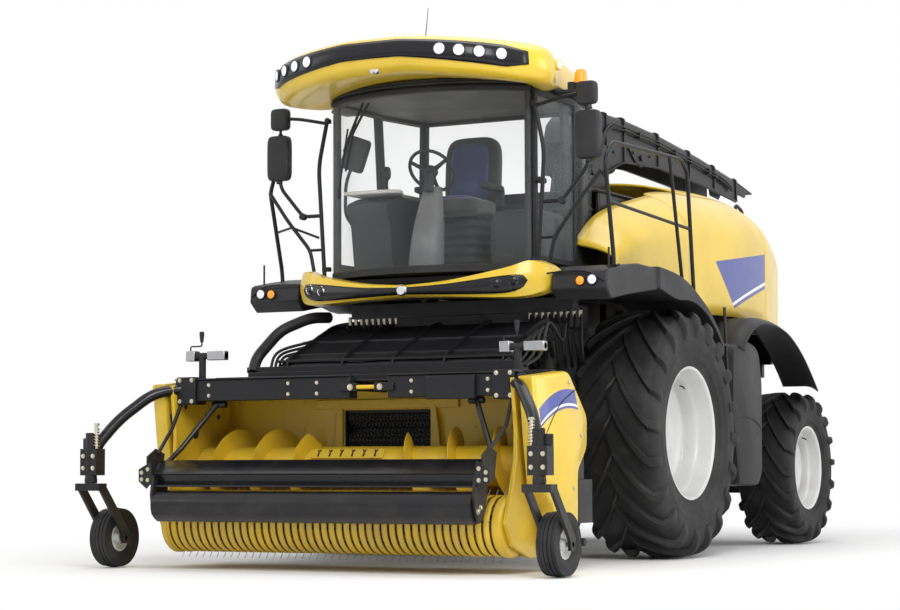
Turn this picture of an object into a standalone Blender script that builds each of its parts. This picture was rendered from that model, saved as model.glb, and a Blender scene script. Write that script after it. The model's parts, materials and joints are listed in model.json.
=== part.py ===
"""Self-propelled forage harvester with a 3 m grass pickup header.

Metres, +Z up.  The machine drives towards -Y and its left side is +X.
Y is measured from the front axle while the pieces are drawn; ORIGIN_Y then
moves everything so that the middle of the whole length stands on the origin.
"""
import math

import bmesh
import bpy
from mathutils import Vector

# Clearances
SEAT = 0.0003
RUN = 0.006
ORIGIN_Y = -1.085

# Wheels and axles
WHEELBASE = 3.306
FRONT_R = 1.015
FRONT_W = 0.71
FRONT_X = 1.33
FRONT_BEAD_R = 0.533
REAR_R = 0.718
REAR_W = 0.54
REAR_X = 1.28
REAR_BEAD_R = 0.381
LUG_HEIGHT = 0.05
LUG_WIDTH = 0.05
RIM_FLANGE = 0.025
RIM_WALL = 0.018
BEAM_DEPTH = 0.28
HUB_R = 0.17
KINGPIN_X = 0.90
KNUCKLE_H = 0.36

# Chassis
RAIL_X = 0.445
RAIL_W = 0.08
RAIL_Z = 1.165
RAIL_H = 0.22
RAIL_FRONT = -0.62
RAIL_REAR = 4.20
CHANNEL_HALF = 0.37
TRUNNION_R = 0.05
PIN_PLAY = 0.001
EYE_PLAY = 0.003
COLLAR = 0.018

# Feeder and lift
PIVOT_Y = -0.55
PIVOT_Z = 1.13
FEEDER_HALF = 0.44
FEEDER_FRONT = -2.0897
MOUTH_HALF = 0.38
FEED_ROLL_Y = -1.975
FEED_ROLL_Z = 1.03
FEED_ROLL_R = 0.11
LIFT_X = 0.60
LIFT_BASE = (-0.30, 0.74)
LIFT_EYE = (-1.55, 0.70)
LIFT_R = 0.055
LIFT_EAR_X = 0.565
ROD_R = 0.028
BASE_PIN_R = 0.03
EYE_PIN_R = 0.022

# Pickup header
HEADER_HALF = 1.435
WALL = 0.03
BACK_Y = -2.12
BACK_TOP = 1.45
AUGER_Y = -2.45
AUGER_Z = 0.76
AUGER_R = 0.29
TROUGH_GAP = 0.015
TROUGH_T = 0.008
AUGER_TUBE_R = 0.15
AUGER_PITCH = 0.33
FLIGHT_T = 0.010
REEL_Y = -2.86
REEL_Z = 0.34
TINE_R = 0.262
REEL_BAR_R = 0.135
GUARD_R = 0.215
GUARD_HALF = 1.412
BAND_PITCH = 0.0904
SLOT_W = 0.017
SHEET = 0.004
BEAM_Y = -2.78
BEAM_Z = 1.34
BEAM_H = 0.16
BEAM_T = 0.12
ROLLER_Y = -3.235
ROLLER_Z = 0.475
ROLLER_R = 0.12
ROLLER_HALF = 1.33
CASTER_X = 1.87
CASTER_Y = -3.36
CASTER_AXLE_Y = -3.06
CASTER_R = 0.2275
CASTER_W = 0.15
FORK_TOP = 0.64
POST_TOP = 1.02
POST_R = 0.05
SIDE_X = 1.60
SIDE_T = 0.03

# Cab
CAB_HALF = 0.90
CAB_FRONT = -1.45
CAB_NOSE = -1.80
CAB_BACK = -0.10
CAB_FLOOR = 2.26
CAB_TOP = 3.74
CAB_WALL = 0.05
PILLAR = 0.08
GLASS = 0.012
DOOR_BACK = -0.66
GLASS_LOW = 2.31
SILL = 2.38
HEAD = 3.62

# Body
PANEL = 0.025
BODY_SEAM_Y = 1.00
DOOR_END_Y = 3.05
HOOD_START_Y = 1.90
BODY_END_Y = 4.36
DOOR_ANGLE = 50.0
HINGE_GAP = 0.56
FRONT_ARCH_R = 1.08

# Spout
TURRET_Y = 1.30
TURRET_R = 0.30
TURRET_Z = 3.02
SPOUT_PIVOT_Y = 1.30
SPOUT_PIVOT_Z = 3.42
SPOUT_HALF = 0.17
SPOUT_WALL = 0.012
LIFT_PIN = (1.62, 3.33)
ROD_PIN = (2.45, 3.66)
EAR_X = 0.12
FLAP_Y = 5.05
TUBE_R = 0.018

MATERIALS = {
    # name: (red, green, blue), roughness, metallic
    "yellow_paint": ((0.86, 0.62, 0.05), 0.35, 0.0),
    "black_paint": ((0.02, 0.02, 0.022), 0.45, 0.0),
    "grey_plastic": ((0.12, 0.12, 0.13), 0.6, 0.0),
    "white_paint": ((0.85, 0.85, 0.83), 0.35, 0.0),
    "rubber": ((0.02, 0.02, 0.02), 0.85, 0.0),
    "glass": ((0.75, 0.82, 0.85), 0.05, 0.0),
    "cast_iron": ((0.06, 0.06, 0.065), 0.6, 0.4),
    "chrome": ((0.7, 0.7, 0.72), 0.15, 1.0),
    "blue_fabric": ((0.05, 0.07, 0.22), 0.9, 0.0),
    "steel": ((0.4, 0.4, 0.41), 0.35, 1.0),
}


def material(name):
    """Return the named Principled material, made on first use."""
    found = bpy.data.materials.get(name)
    if found:
        return found
    colour, roughness, metallic = MATERIALS[name]
    made = bpy.data.materials.new(name)
    made.use_nodes = True
    shader = made.node_tree.nodes["Principled BSDF"]
    shader.inputs["Base Color"].default_value = (*colour, 1.0)
    shader.inputs["Roughness"].default_value = roughness
    shader.inputs["Metallic"].default_value = metallic
    return made


# Solids: each is a pair of a vertex list and a face list

def prism(axis, start, end, outline):
    """Extrude a closed outline along X (outline in Y, Z), Y (X, Z) or Z (X, Y)."""
    def place(t, a, b):
        return {"X": (t, a, b), "Y": (a, t, b), "Z": (a, b, t)}[axis]
    n = len(outline)
    verts = [place(start, a, b) for a, b in outline] + [place(end, a, b) for a, b in outline]
    faces = [tuple(range(n)), tuple(range(2 * n - 1, n - 1, -1))]
    faces += [(i, (i + 1) % n, n + (i + 1) % n, n + i) for i in range(n)]
    return verts, faces


def box(x, y, z):
    """Return a box from (low, high) pairs along X, Y and Z."""
    return prism("Z", z[0], z[1], [(x[0], y[0]), (x[1], y[0]), (x[1], y[1]), (x[0], y[1])])


def lathe(centre, axis, profile, segments, closed=False):
    """Turn (along, radius) points round an axis; open profiles start and end on the axis."""
    verts = []
    rows = []
    for along, radius in profile:
        if radius == 0.0:
            rows.append([len(verts)])
            verts.append(turned(centre, axis, along, 0.0, 0.0))
            continue
        row = []
        for k in range(segments):
            row.append(len(verts))
            verts.append(turned(centre, axis, along, radius, 2 * math.pi * k / segments))
        rows.append(row)
    faces = []
    pairs = list(zip(rows, rows[1:]))
    if closed:
        pairs.append((rows[-1], rows[0]))
    for low, high in pairs:
        for k in range(segments):
            j = (k + 1) % segments
            if len(low) == 1:
                faces.append((low[0], high[k], high[j]))
            elif len(high) == 1:
                faces.append((low[k], low[j], high[0]))
            else:
                faces.append((low[k], low[j], high[j], high[k]))
    return verts, faces


def turned(centre, axis, along, radius, angle):
    """Place one point of a turned form."""
    c = radius * math.cos(angle)
    s = radius * math.sin(angle)
    step = {"X": (along, s, c), "Y": (s, along, c), "Z": (c, s, along)}[axis]
    return tuple(a + b for a, b in zip(centre, step))


def bore(centre, radius, play, segments):
    """Return a cutter along X for a pin; the flats of its many-sided bore clear the pin's corners."""
    return disc(centre, "X", -1.0, 1.0, (radius + play) / math.cos(math.pi / segments), segments)


def disc(centre, axis, low, high, radius, segments=16):
    """Return a plain cylinder between two places along its axis."""
    profile = [(low, 0.0), (low, radius), (high, radius), (high, 0.0)]
    return lathe(centre, axis, profile, segments)


def tube(points, radius, sides=6):
    """Sweep a round bar along a chain of points, mitred at its bends."""
    path = [Vector(p) for p in points]
    runs = [(b - a).normalized() for a, b in zip(path, path[1:])]
    lean = Vector((0, 0, 1)) if abs(runs[0].z) < 0.9 else Vector((0, 1, 0))
    side = runs[0].cross(lean).normalized()
    verts = []
    for i, point in enumerate(path):
        before = runs[max(i - 1, 0)]
        after = runs[min(i, len(runs) - 1)]
        mitre = (before + after).normalized()
        up = side.cross(before)
        for k in range(sides):
            angle = 2 * math.pi * (k + 0.5) / sides
            offset = (side * math.cos(angle) + up * math.sin(angle)) * radius
            offset -= before * (offset.dot(mitre) / before.dot(mitre))
            verts.append(tuple(point + offset))
        side.rotate(before.rotation_difference(after))
    rings = len(path)
    faces = [tuple(range(sides)), tuple(range(rings * sides - 1, (rings - 1) * sides - 1, -1))]
    for i in range(rings - 1):
        for k in range(sides):
            j = (k + 1) % sides
            faces.append((i * sides + k, i * sides + j, (i + 1) * sides + j, (i + 1) * sides + k))
    return verts, faces


def loft(sections, mirror_caps=False):
    """Join closed sections of equal point counts; mirrored sections may have their ends closed in strips."""
    n = len(sections[0])
    verts = [p for section in sections for p in section]
    last = (len(sections) - 1) * n
    if mirror_caps:
        faces = []
        for start in (0, last):
            faces += [(start, start + 1, start + n - 1), (start + n // 2 - 1, start + n // 2, start + n // 2 + 1)]
            faces += [(start + k, start + k + 1, start + n - k - 1, start + n - k) for k in range(1, n // 2 - 1)]
    else:
        faces = [tuple(range(n)), tuple(range(last + n - 1, last - 1, -1))]
    for i in range(len(sections) - 1):
        for k in range(n):
            j = (k + 1) % n
            faces.append((i * n + k, i * n + j, (i + 1) * n + j, (i + 1) * n + k))
    return verts, faces


def merged(solids):
    """Put solids that don't touch into one, as a single tool for a Boolean."""
    verts = []
    faces = []
    for some_verts, some_faces in solids:
        start = len(verts)
        verts += some_verts
        faces += [tuple(start + i for i in face) for face in some_faces]
    return verts, faces


def mirrored(solid):
    """Return the solid on the machine's other side."""
    verts, faces = solid
    return [(-x, y, z) for x, y, z in verts], [tuple(reversed(face)) for face in faces]


def sided(solid, side):
    """Return the solid for the left (+1) or the right (-1) side."""
    return solid if side > 0 else mirrored(solid)


def between(table, y):
    """Read a table of (y, value, ...) rows at y, straight between its rows."""
    if y <= table[0][0]:
        return table[0][1:]
    for low, high in zip(table, table[1:]):
        if y <= high[0]:
            t = (y - low[0]) / (high[0] - low[0])
            return tuple(a + (b - a) * t for a, b in zip(low[1:], high[1:]))
    return table[-1][1:]


def make_mesh(name, solid, pivot):
    """Make an object from a solid, with its origin on the pivot."""
    verts, faces = solid
    mesh = bpy.data.meshes.new(name)
    mesh.from_pydata([tuple(a - b for a, b in zip(v, pivot)) for v in verts], [], faces)
    form = bmesh.new()
    form.from_mesh(mesh)
    bmesh.ops.recalc_face_normals(form, faces=form.faces)
    form.to_mesh(mesh)
    form.free()
    mesh.shade_smooth()
    mesh.set_sharp_from_angle(angle=math.radians(32))
    made = bpy.data.objects.new(name, mesh)
    made.location = (pivot[0], pivot[1] + ORIGIN_Y, pivot[2])
    return made


def add_boolean(target, name, operation, solids, pivot):
    """Join or cut a group of solids, kept as hidden wire objects."""
    group = bpy.data.collections.new(name)
    bpy.context.scene.collection.children.link(group)
    group.hide_render = True
    for i, solid in enumerate(solids):
        tool = make_mesh(f"{name} {i}", solid, pivot)
        tool.hide_render = True
        tool.display_type = "WIRE"
        group.objects.link(tool)
    step = target.modifiers.new(name, "BOOLEAN")
    step.operation = operation
    step.solver = "EXACT"
    step.operand_type = "COLLECTION"
    step.collection = group


def node(name, finish, solids, cuts=(), pivot=(0.0, 0.0, 0.0)):
    """Make one sub-part: its first solid, the others joined to it, and its cuts."""
    made = make_mesh(name, solids[0], pivot)
    made.data.materials.append(material(finish))
    bpy.context.scene.collection.objects.link(made)
    if len(solids) > 1:
        add_boolean(made, f"{name} joined", "UNION", solids[1:], pivot)
    if cuts:
        add_boolean(made, f"{name} cut", "DIFFERENCE", cuts, pivot)
    return made


# Wheels

def tyre_profile(radius, width, bead_r):
    """Return the closed cross section of a tyre, as (across, radius)."""
    tread = radius - LUG_HEIGHT
    half = width / 2
    rim_half = half * 0.84
    side = [
        (rim_half - 0.016, bead_r + SEAT),
        (rim_half - 0.016, bead_r + RIM_FLANGE + 0.01),
        (half - 0.015, bead_r + 0.10),
        (half, bead_r + 0.55 * (tread - bead_r)),
        (half - 0.05, tread - 0.012),
    ]
    return side + [(-t, r) for t, r in reversed(side)]


def lug(centre, side, radius, width, angle, hand):
    """Return one slanted tread bar, from the shoulder to past the middle."""
    half = width / 2
    sweep = 0.36 * width / radius
    foot = radius - LUG_HEIGHT - 0.045
    corners = []
    for across, turn, top in ((half - 0.056, -sweep, radius - 0.012), (-0.02, sweep, radius)):
        for edge in (-0.5, 0.5):
            theta = angle + turn + edge * LUG_WIDTH / radius
            for r in (foot, top):
                corners.append(turned(centre, "X", side * hand * across, r, theta))
    faces = [(0, 1, 3, 2), (4, 6, 7, 5), (0, 4, 5, 1), (2, 3, 7, 6), (0, 2, 6, 4), (1, 5, 7, 3)]
    return corners, faces


def build_wheel(name, side, y, radius, width, x, bead_r, lugs, segments):
    """Make a lugged tyre and its deep rim, both turning about the axle."""
    centre = (side * x, y, radius)
    bars = []
    for hand in (1, -1):
        for k in range(lugs):
            turn = 2 * math.pi * (k + (0.5 if hand < 0 else 0.0)) / lugs
            bars.append(lug(centre, side, radius, width, turn, hand))
    carcass = lathe(centre, "X", tyre_profile(radius, width, bead_r), segments, closed=True)
    node(f"tyre_{name}", "rubber", [carcass, merged(bars)], pivot=centre)
    half = width * 0.42
    inner = bead_r - RIM_WALL
    rim = [
        (-0.012, 0.0), (-0.012, inner), (-half, inner), (-half, bead_r + RIM_FLANGE),
        (-half + 0.014, bead_r), (half - 0.014, bead_r), (half, bead_r + RIM_FLANGE), (half, inner),
        (0.10, inner), (0.012, inner * 0.72), (0.012, HUB_R), (0.07, HUB_R - 0.02), (0.07, 0.0),
    ]
    turned_rim = lathe(centre, "X", [(side * t, r) for t, r in rim], segments)
    node(f"rim_{name}", "white_paint", [turned_rim], pivot=centre)


def build_wheels():
    """Make the four wheels from their table."""
    table = [
        # name, side, y, radius, width, x, bead radius, lugs a side, segments
        ("front_left", 1, 0.0, FRONT_R, FRONT_W, FRONT_X, FRONT_BEAD_R, 18, 18),
        ("front_right", -1, 0.0, FRONT_R, FRONT_W, FRONT_X, FRONT_BEAD_R, 18, 18),
        ("rear_left", 1, WHEELBASE, REAR_R, REAR_W, REAR_X, REAR_BEAD_R, 16, 16),
        ("rear_right", -1, WHEELBASE, REAR_R, REAR_W, REAR_X, REAR_BEAD_R, 16, 16),
    ]
    for row in table:
        build_wheel(*row)


def build_axles():
    """Make the front axle, the rear axle and its steering knuckles."""
    half_beam = BEAM_DEPTH / 2
    front_top = RAIL_Z - SEAT
    hub_face = FRONT_X - 0.012 - SEAT
    beam = box((-0.80, 0.80), (-half_beam, half_beam), (front_top - BEAM_DEPTH, front_top))
    drives = [
        lathe((0, 0, FRONT_R), "X", [(s * 0.70, 0.0), (s * 0.70, 0.26), (s * 1.02, 0.26),
              (s * 1.06, HUB_R + 0.05), (s * hub_face, HUB_R + 0.05), (s * hub_face, 0.0)], 16)
        for s in (1, -1)
    ]
    node("front_axle", "cast_iron", [beam] + drives)
    top = REAR_R + 0.14
    rear_beam = box((-0.74, 0.74), (WHEELBASE - 0.11, WHEELBASE + 0.11), (REAR_R - 0.10, REAR_R + 0.10))
    pedestal = box((-0.16, 0.16), (WHEELBASE - 0.10, WHEELBASE + 0.10), (REAR_R, RAIL_Z - 0.03 - SEAT))
    yokes = []
    eye = KNUCKLE_H / 2
    for s in (1, -1):
        low = min(s * 0.70, s * (KINGPIN_X + 0.07))
        high = max(s * 0.70, s * (KINGPIN_X + 0.07))
        for z in ((REAR_R + eye - 0.06, top + 0.10), (REAR_R - eye - 0.06, REAR_R - eye)):
            yokes.append(box((low, high), (WHEELBASE - 0.07, WHEELBASE + 0.07), z))
        low = min(s * 0.68, s * 0.76)
        high = max(s * 0.68, s * 0.76)
        yokes.append(box((low, high), (WHEELBASE - 0.07, WHEELBASE + 0.07),
                         (REAR_R - eye - 0.05, top + 0.09)))
    node("rear_axle", "cast_iron", [rear_beam, pedestal] + yokes)
    hub_face = REAR_X - 0.012 - SEAT
    for name, s in (("left", 1), ("right", -1)):
        centre = (s * KINGPIN_X, WHEELBASE, REAR_R)
        post = disc(centre, "Z", -eye + SEAT, eye - 0.06 - SEAT, 0.075, 12)
        stub = disc((0, WHEELBASE, REAR_R), "X", s * (KINGPIN_X - 0.01), s * hub_face, 0.11, 16)
        arm = box((min(s * 0.86, s * 0.92), max(s * 0.86, s * 0.92)),
                  (WHEELBASE, WHEELBASE + 0.24), (REAR_R - 0.10, REAR_R - 0.05))
        node(f"knuckle_{name}", "cast_iron", [post, stub, arm], pivot=centre)


# Chassis and crop flow

def build_chassis():
    """Make the main frame, engine block, crop channel and side lockers."""
    z = (RAIL_Z, RAIL_Z + RAIL_H)
    rails = [box((s * RAIL_X, s * (RAIL_X + RAIL_W)) if s > 0 else (-RAIL_X - RAIL_W, -RAIL_X),
                 (RAIL_FRONT, RAIL_REAR), z) for s in (1, -1)]
    across = [box((-RAIL_X - 0.02, RAIL_X + 0.02), (y - 0.05, y + 0.05), (RAIL_Z + 0.03, RAIL_Z + 0.15))
              for y in (0.95, 1.55, 2.45, 4.10)]
    seat = box((-RAIL_X - 0.02, RAIL_X + 0.02), (WHEELBASE - 0.13, WHEELBASE + 0.13),
               (RAIL_Z - 0.03, RAIL_Z + 0.10))
    lift_ears = []
    towers = []
    outriggers = []
    for s in (1, -1):
        towers.append(sided(prism("X", RAIL_X + 0.01, RAIL_X + 0.07,
                      [(-0.60, RAIL_Z + 0.10), (-0.35, RAIL_Z + 0.10), (-0.45, CAB_FLOOR - 0.02),
                       (-0.55, CAB_FLOOR - 0.02)]), s))
        towers.append(sided(box((RAIL_X + 0.01, RAIL_X + 0.07), (-1.30, 0.95), (CAB_FLOOR - 0.10, CAB_FLOOR - SEAT)), s))
        towers.append(sided(box((RAIL_X + 0.01, RAIL_X + 0.07), (0.85, 0.95), (RAIL_Z + 0.10, CAB_FLOOR - 0.02)), s))
        lift_ears.append(sided(prism("X", RAIL_X + RAIL_W - 0.01, LIFT_EAR_X,
                         [(-0.20, RAIL_Z + 0.10), (-0.22, LIFT_BASE[1] - 0.07), (-0.38, LIFT_BASE[1] - 0.07),
                          (-0.58, RAIL_Z + 0.10)]), s))
        for y in (1.25, 2.05, 3.60):
            outriggers.append(sided(box((RAIL_X + 0.02, 1.16 if y < 3 else 0.80), (y - 0.04, y + 0.04),
                                        (RAIL_Z + 0.05, RAIL_Z + 0.17)), s))
    pin_hole = bore((0.0, *LIFT_BASE), BASE_PIN_R, PIN_PLAY, 10)
    node("chassis_frame", "black_paint", rails + across + [seat] + towers + lift_ears + outriggers, [pin_hole])
    node("engine_block", "cast_iron",
         [box((-0.36, 0.36), (1.58, 3.00), (RAIL_Z + 0.15 + SEAT, 2.15)),
          box((-0.60, 0.60), (3.35, 3.95), (RAIL_Z + RAIL_H + SEAT, 2.60)),
          box((-0.30, 0.30), (2.90, 3.45), (1.60, 2.00))])
    channel = prism("X", -CHANNEL_HALF, CHANNEL_HALF, [
        (-0.86, 0.84), (-0.30, 0.80), (-0.22, 1.19), (0.30, 1.28), (0.78, 1.60), (0.95, 1.60),
        (1.45, 2.20), (1.50, 2.90), (1.10, 2.90), (0.92, 2.45), (0.40, 2.14), (-0.10, 1.78),
        (-0.62, 1.50), (-0.78, 1.44), (-0.86, 1.15)])
    neck = disc((0, TURRET_Y, 0), "Z", 2.80, TURRET_Z - SEAT, TURRET_R - 0.02, 16)
    pivot = (0.0, PIVOT_Y, PIVOT_Z)
    arm_x = CHANNEL_HALF + RUN
    trunnions = disc(pivot, "X", -arm_x - 0.06, arm_x + 0.06, TRUNNION_R, 12)
    collars = disc(pivot, "X", SEAT - arm_x, arm_x - SEAT, TRUNNION_R + COLLAR, 12)
    # The channel hangs between the main rails on this beam.
    beam = box((SEAT - RAIL_X, RAIL_X - SEAT), (0.10, 0.24), (RAIL_Z + 0.12, RAIL_Z + 0.20))
    node("crop_channel", "black_paint", [channel, neck, trunnions, collars, beam])
    for name, s in (("left", 1), ("right", -1)):
        shield = prism("X", 1.16 + SEAT, 1.50, [
            (1.18, 0.70), (1.34, 0.56), (2.02, 0.56), (2.20, 0.75), (2.20, 1.42), (2.02, 1.80),
            (1.22, 1.80), (1.16, 1.55)])
        node(f"locker_{name}", "black_paint", [sided(shield, s)])


def build_feeder():
    """Make the intake house with its cover, its feed roll and its lift cylinders."""
    house = prism("X", -FEEDER_HALF, FEEDER_HALF, [
        (FEEDER_FRONT, 0.82), (-1.75, 0.78), (-0.89, 0.86), (-0.89, 1.42), (-1.40, 1.40),
        (FEEDER_FRONT, 1.24)])
    cover = prism("X", -0.92, 0.92, [(-2.02, 1.53), (-2.02, 1.57), (-1.30, 1.88), (-1.22, 1.86), (-1.24, 1.82), (-1.96, 1.52)])
    legs = [prism("X", s * 0.40, s * 0.36, [(-2.00, 1.20), (-1.45, 1.36), (-1.25, 1.83), (-1.98, 1.54)])
            for s in (1, -1)]
    arms = [sided(prism("X", CHANNEL_HALF + RUN, CHANNEL_HALF + RUN + 0.06, [
        (-1.10, 0.95), (PIVOT_Y - 0.03, PIVOT_Z - 0.09), (PIVOT_Y + 0.07, PIVOT_Z - 0.07),
        (PIVOT_Y + 0.09, PIVOT_Z), (PIVOT_Y + 0.07, PIVOT_Z + 0.07), (PIVOT_Y - 0.05, PIVOT_Z + 0.09),
        (-1.10, 1.25)]), s) for s in (1, -1)]
    eyes = [sided(prism("X", FEEDER_HALF - 0.04, FEEDER_HALF + 0.01, [
        (LIFT_EYE[0] - 0.12, 0.84), (LIFT_EYE[0] - 0.04, LIFT_EYE[1] - 0.03),
        (LIFT_EYE[0] + 0.04, LIFT_EYE[1] - 0.03), (LIFT_EYE[0] + 0.12, 0.84)]), s) for s in (1, -1)]
    mouth = box((-MOUTH_HALF, MOUTH_HALF), (FEEDER_FRONT - 0.1, -1.85), (0.87, 1.17))
    pivot = (0.0, PIVOT_Y, PIVOT_Z)
    holes = [bore(pivot, TRUNNION_R, PIN_PLAY, 12), bore((0.0, *LIFT_EYE), EYE_PIN_R, EYE_PLAY, 10)]
    node("feeder_house", "black_paint", [house, cover] + legs + arms + eyes, [mouth] + holes, pivot)
    roll_centre = (0.0, FEED_ROLL_Y, FEED_ROLL_Z)
    length = MOUTH_HALF - RUN
    core = disc(roll_centre, "X", -length, length, FEED_ROLL_R - 0.03, 12)
    journal = disc(roll_centre, "X", -MOUTH_HALF + SEAT, MOUTH_HALF - SEAT, 0.03, 8)
    teeth = [box((-length + 0.01, length - 0.01), (FEED_ROLL_Y - FEED_ROLL_R, FEED_ROLL_Y + FEED_ROLL_R),
                 (FEED_ROLL_Z - 0.008, FEED_ROLL_Z + 0.008)),
             box((-length + 0.01, length - 0.01), (FEED_ROLL_Y - 0.008, FEED_ROLL_Y + 0.008),
                 (FEED_ROLL_Z - FEED_ROLL_R, FEED_ROLL_Z + FEED_ROLL_R))]
    node("feed_roll", "cast_iron", [core, journal] + teeth, pivot=roll_centre)


def build_lift():
    """Make the two lift barrels and the two rods, each pair on its cross shaft."""
    by, bz = LIFT_BASE
    ey, ez = LIFT_EYE
    length = math.hypot(ey - by, ez - bz)
    dy = (ey - by) / length
    dz = (ez - bz) / length
    neck = 0.80
    barrels = []
    rods = []
    for s in (1, -1):
        x = s * (LIFT_X + 0.03)
        barrels.append(tube([(x, by, bz), (x, by + dy * neck, bz + dz * neck)], LIFT_R, 10))
        rods.append(tube([(x, by + dy * (neck + SEAT), bz + dz * (neck + SEAT)), (x, ey, ez)], ROD_R, 8))
        collar = disc((0, by, bz), "X", LIFT_EAR_X + SEAT, LIFT_X, BASE_PIN_R + COLLAR, 10)
        barrels.append(sided(collar, s))
    shaft = disc((0, by, bz), "X", -LIFT_X - 0.05, LIFT_X + 0.05, BASE_PIN_R, 10)
    node("lift_barrels", "black_paint", barrels + [shaft], pivot=(0.0, by, bz))
    eye_shaft = disc((0, ey, ez), "X", -LIFT_X - 0.05, LIFT_X + 0.05, EYE_PIN_R, 10)
    node("lift_rods", "chrome", rods + [eye_shaft], pivot=(0.0, ey, ez))


# Pickup header

def header_frame():
    """Make the header's back wall, trough, end walls and lower tube."""
    back = box((-HEADER_HALF, HEADER_HALF), (BACK_Y, BACK_Y + WALL), (0.28, BACK_TOP))
    inner = AUGER_R + TROUGH_GAP
    outer = inner + TROUGH_T
    angles = [math.radians(a) for a in range(10, 131, 20)]
    floor_in = [(AUGER_Y + inner * math.cos(a), AUGER_Z - inner * math.sin(a)) for a in angles]
    floor_out = [(AUGER_Y + outer * math.cos(a), AUGER_Z - outer * math.sin(a)) for a in reversed(angles)]
    floor_in[0] = (BACK_Y + 0.01, floor_in[0][1])
    floor_out[-1] = (BACK_Y + 0.01, floor_in[0][1] - 0.02)
    trough = prism("X", -HEADER_HALF - 0.01, HEADER_HALF + 0.01, floor_in + floor_out)
    pan_z = REEL_Z - GUARD_R
    pan = box((-HEADER_HALF - 0.01, HEADER_HALF + 0.01), (REEL_Y + 0.215 + SEAT, BACK_Y - 0.02), (pan_z - 0.006, pan_z + 0.006))
    tube_low = box((-HEADER_HALF, HEADER_HALF), (BACK_Y - 0.10, BACK_Y + 0.02), (pan_z, 0.30))
    ends = []
    for s in (1, -1):
        outline = [(-2.92, 1.38), (BACK_Y + 0.03, 1.42), (BACK_Y + 0.03, 0.20), (-2.20, 0.11), (-2.68, 0.11),
                   (-2.95, 0.20), (-3.05, 0.36), (-2.95, 0.60), (-2.85, 0.95)]
        ends.append(prism("X", s * HEADER_HALF, s * (HEADER_HALF + WALL), outline))
    mouth = box((-MOUTH_HALF, MOUTH_HALF), (BACK_Y - 0.1, BACK_Y + 0.15), (0.87, 1.17))
    upright = [box((s * 0.50 - 0.04, s * 0.50 + 0.04), (BACK_Y + 0.01, BACK_Y + 0.045), (0.35, BACK_TOP - 0.02))
               for s in (1, -1)]
    node("header_frame", "yellow_paint", [back, trough, pan, tube_low] + ends + upright, [mouth],
         pivot=(0.0, PIVOT_Y, PIVOT_Z))


def side_panels():
    """Make the shaped outer side panels and the drive block behind the left one."""
    outline = [(-3.21, 1.40), (-2.347, 1.448), (-2.211, 1.309), (-2.033, 1.135), (-2.038, 0.90),
               (-2.205, 0.729), (-2.207, 0.20), (-2.336, 0.171), (-2.60, 0.20), (-2.72, 0.45), (-2.90, 0.95)]
    for name, s in (("left", 1), ("right", -1)):
        plate = prism("X", SIDE_X, SIDE_X + SIDE_T, outline)
        stand = [disc((0, y, z), "X", HEADER_HALF + WALL + SEAT, SIDE_X + 0.01, 0.04, 8)
                 for y, z in ((-2.35, 1.25), (-2.35, 0.40), (-2.75, 1.15))]
        node(f"header_side_{name}", "yellow_paint", [sided(solid, s) for solid in [plate] + stand],
             pivot=(0.0, PIVOT_Y, PIVOT_Z))


def top_beam():
    """Make the header's top beam with its bent gauge arms and caster posts."""
    half_t = BEAM_T / 2
    beam = box((-HEADER_HALF + SEAT, HEADER_HALF - SEAT), (BEAM_Y - half_t, BEAM_Y + half_t),
               (BEAM_Z - BEAM_H / 2, BEAM_Z + BEAM_H / 2))
    roof = box((-HEADER_HALF + SEAT, HEADER_HALF - SEAT), (BEAM_Y + half_t - 0.01, BACK_Y - SEAT),
               (1.375, 1.39))
    arms = []
    for s in (1, -1):
        path = [(s * 1.30, BEAM_Y, BEAM_Z + 0.03), (s * 1.40, BEAM_Y, BEAM_Z + 0.14), (s * 1.74, BEAM_Y, BEAM_Z + 0.16), (s * 1.80, -2.92, 1.24),
                (s * CASTER_X, -3.20, 0.90), (s * CASTER_X, CASTER_Y, 0.86)]
        arms.append(tube(path, 0.05, 8))
        arms.append(disc((s * CASTER_X, CASTER_Y, 0), "Z", FORK_TOP + SEAT, POST_TOP, POST_R, 10))
    node("top_beam", "black_paint", [beam, roof] + arms, pivot=(0.0, PIVOT_Y, PIVOT_Z))


def reel_guard():
    """Make the slotted band guard: one sheet, open between its bands."""
    bands = int(round(2 * GUARD_HALF / BAND_PITCH))
    edges = []
    for k in range(bands):
        start = -GUARD_HALF + k * BAND_PITCH
        edges += [start + SLOT_W / 2, start + BAND_PITCH - SLOT_W / 2]
    edges[0] = -GUARD_HALF
    edges[-1] = GUARD_HALF
    turns = [math.radians(a) for a in (-90, -45, 0, 45, 90)]
    rows = [(REEL_Y + 0.215, REEL_Z - GUARD_R), (REEL_Y + 0.185, REEL_Z - GUARD_R)]
    rows += [(REEL_Y - GUARD_R * math.cos(a), REEL_Z + GUARD_R * math.sin(a)) for a in turns]
    rows += [(REEL_Y + 0.165, REEL_Z + GUARD_R), (REEL_Y + 0.180, REEL_Z + GUARD_R - 0.010)]
    verts = [(x, y, z) for x in edges for y, z in rows]
    n = len(rows)
    faces = []
    for i in range(len(edges) - 1):
        for j in range(n - 1):
            slot = i % 2 == 1
            if slot and 0 < j < n - 2:
                continue
            faces.append((i * n + j, i * n + j + 1, (i + 1) * n + j + 1, (i + 1) * n + j))
    made = make_mesh("reel_guard", (verts, faces), (0.0, PIVOT_Y, PIVOT_Z))
    made.data.materials.append(material("yellow_paint"))
    bpy.context.scene.collection.objects.link(made)
    sheet = made.modifiers.new("sheet", "SOLIDIFY")
    sheet.thickness = SHEET
    sheet.offset = 0.0


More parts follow.
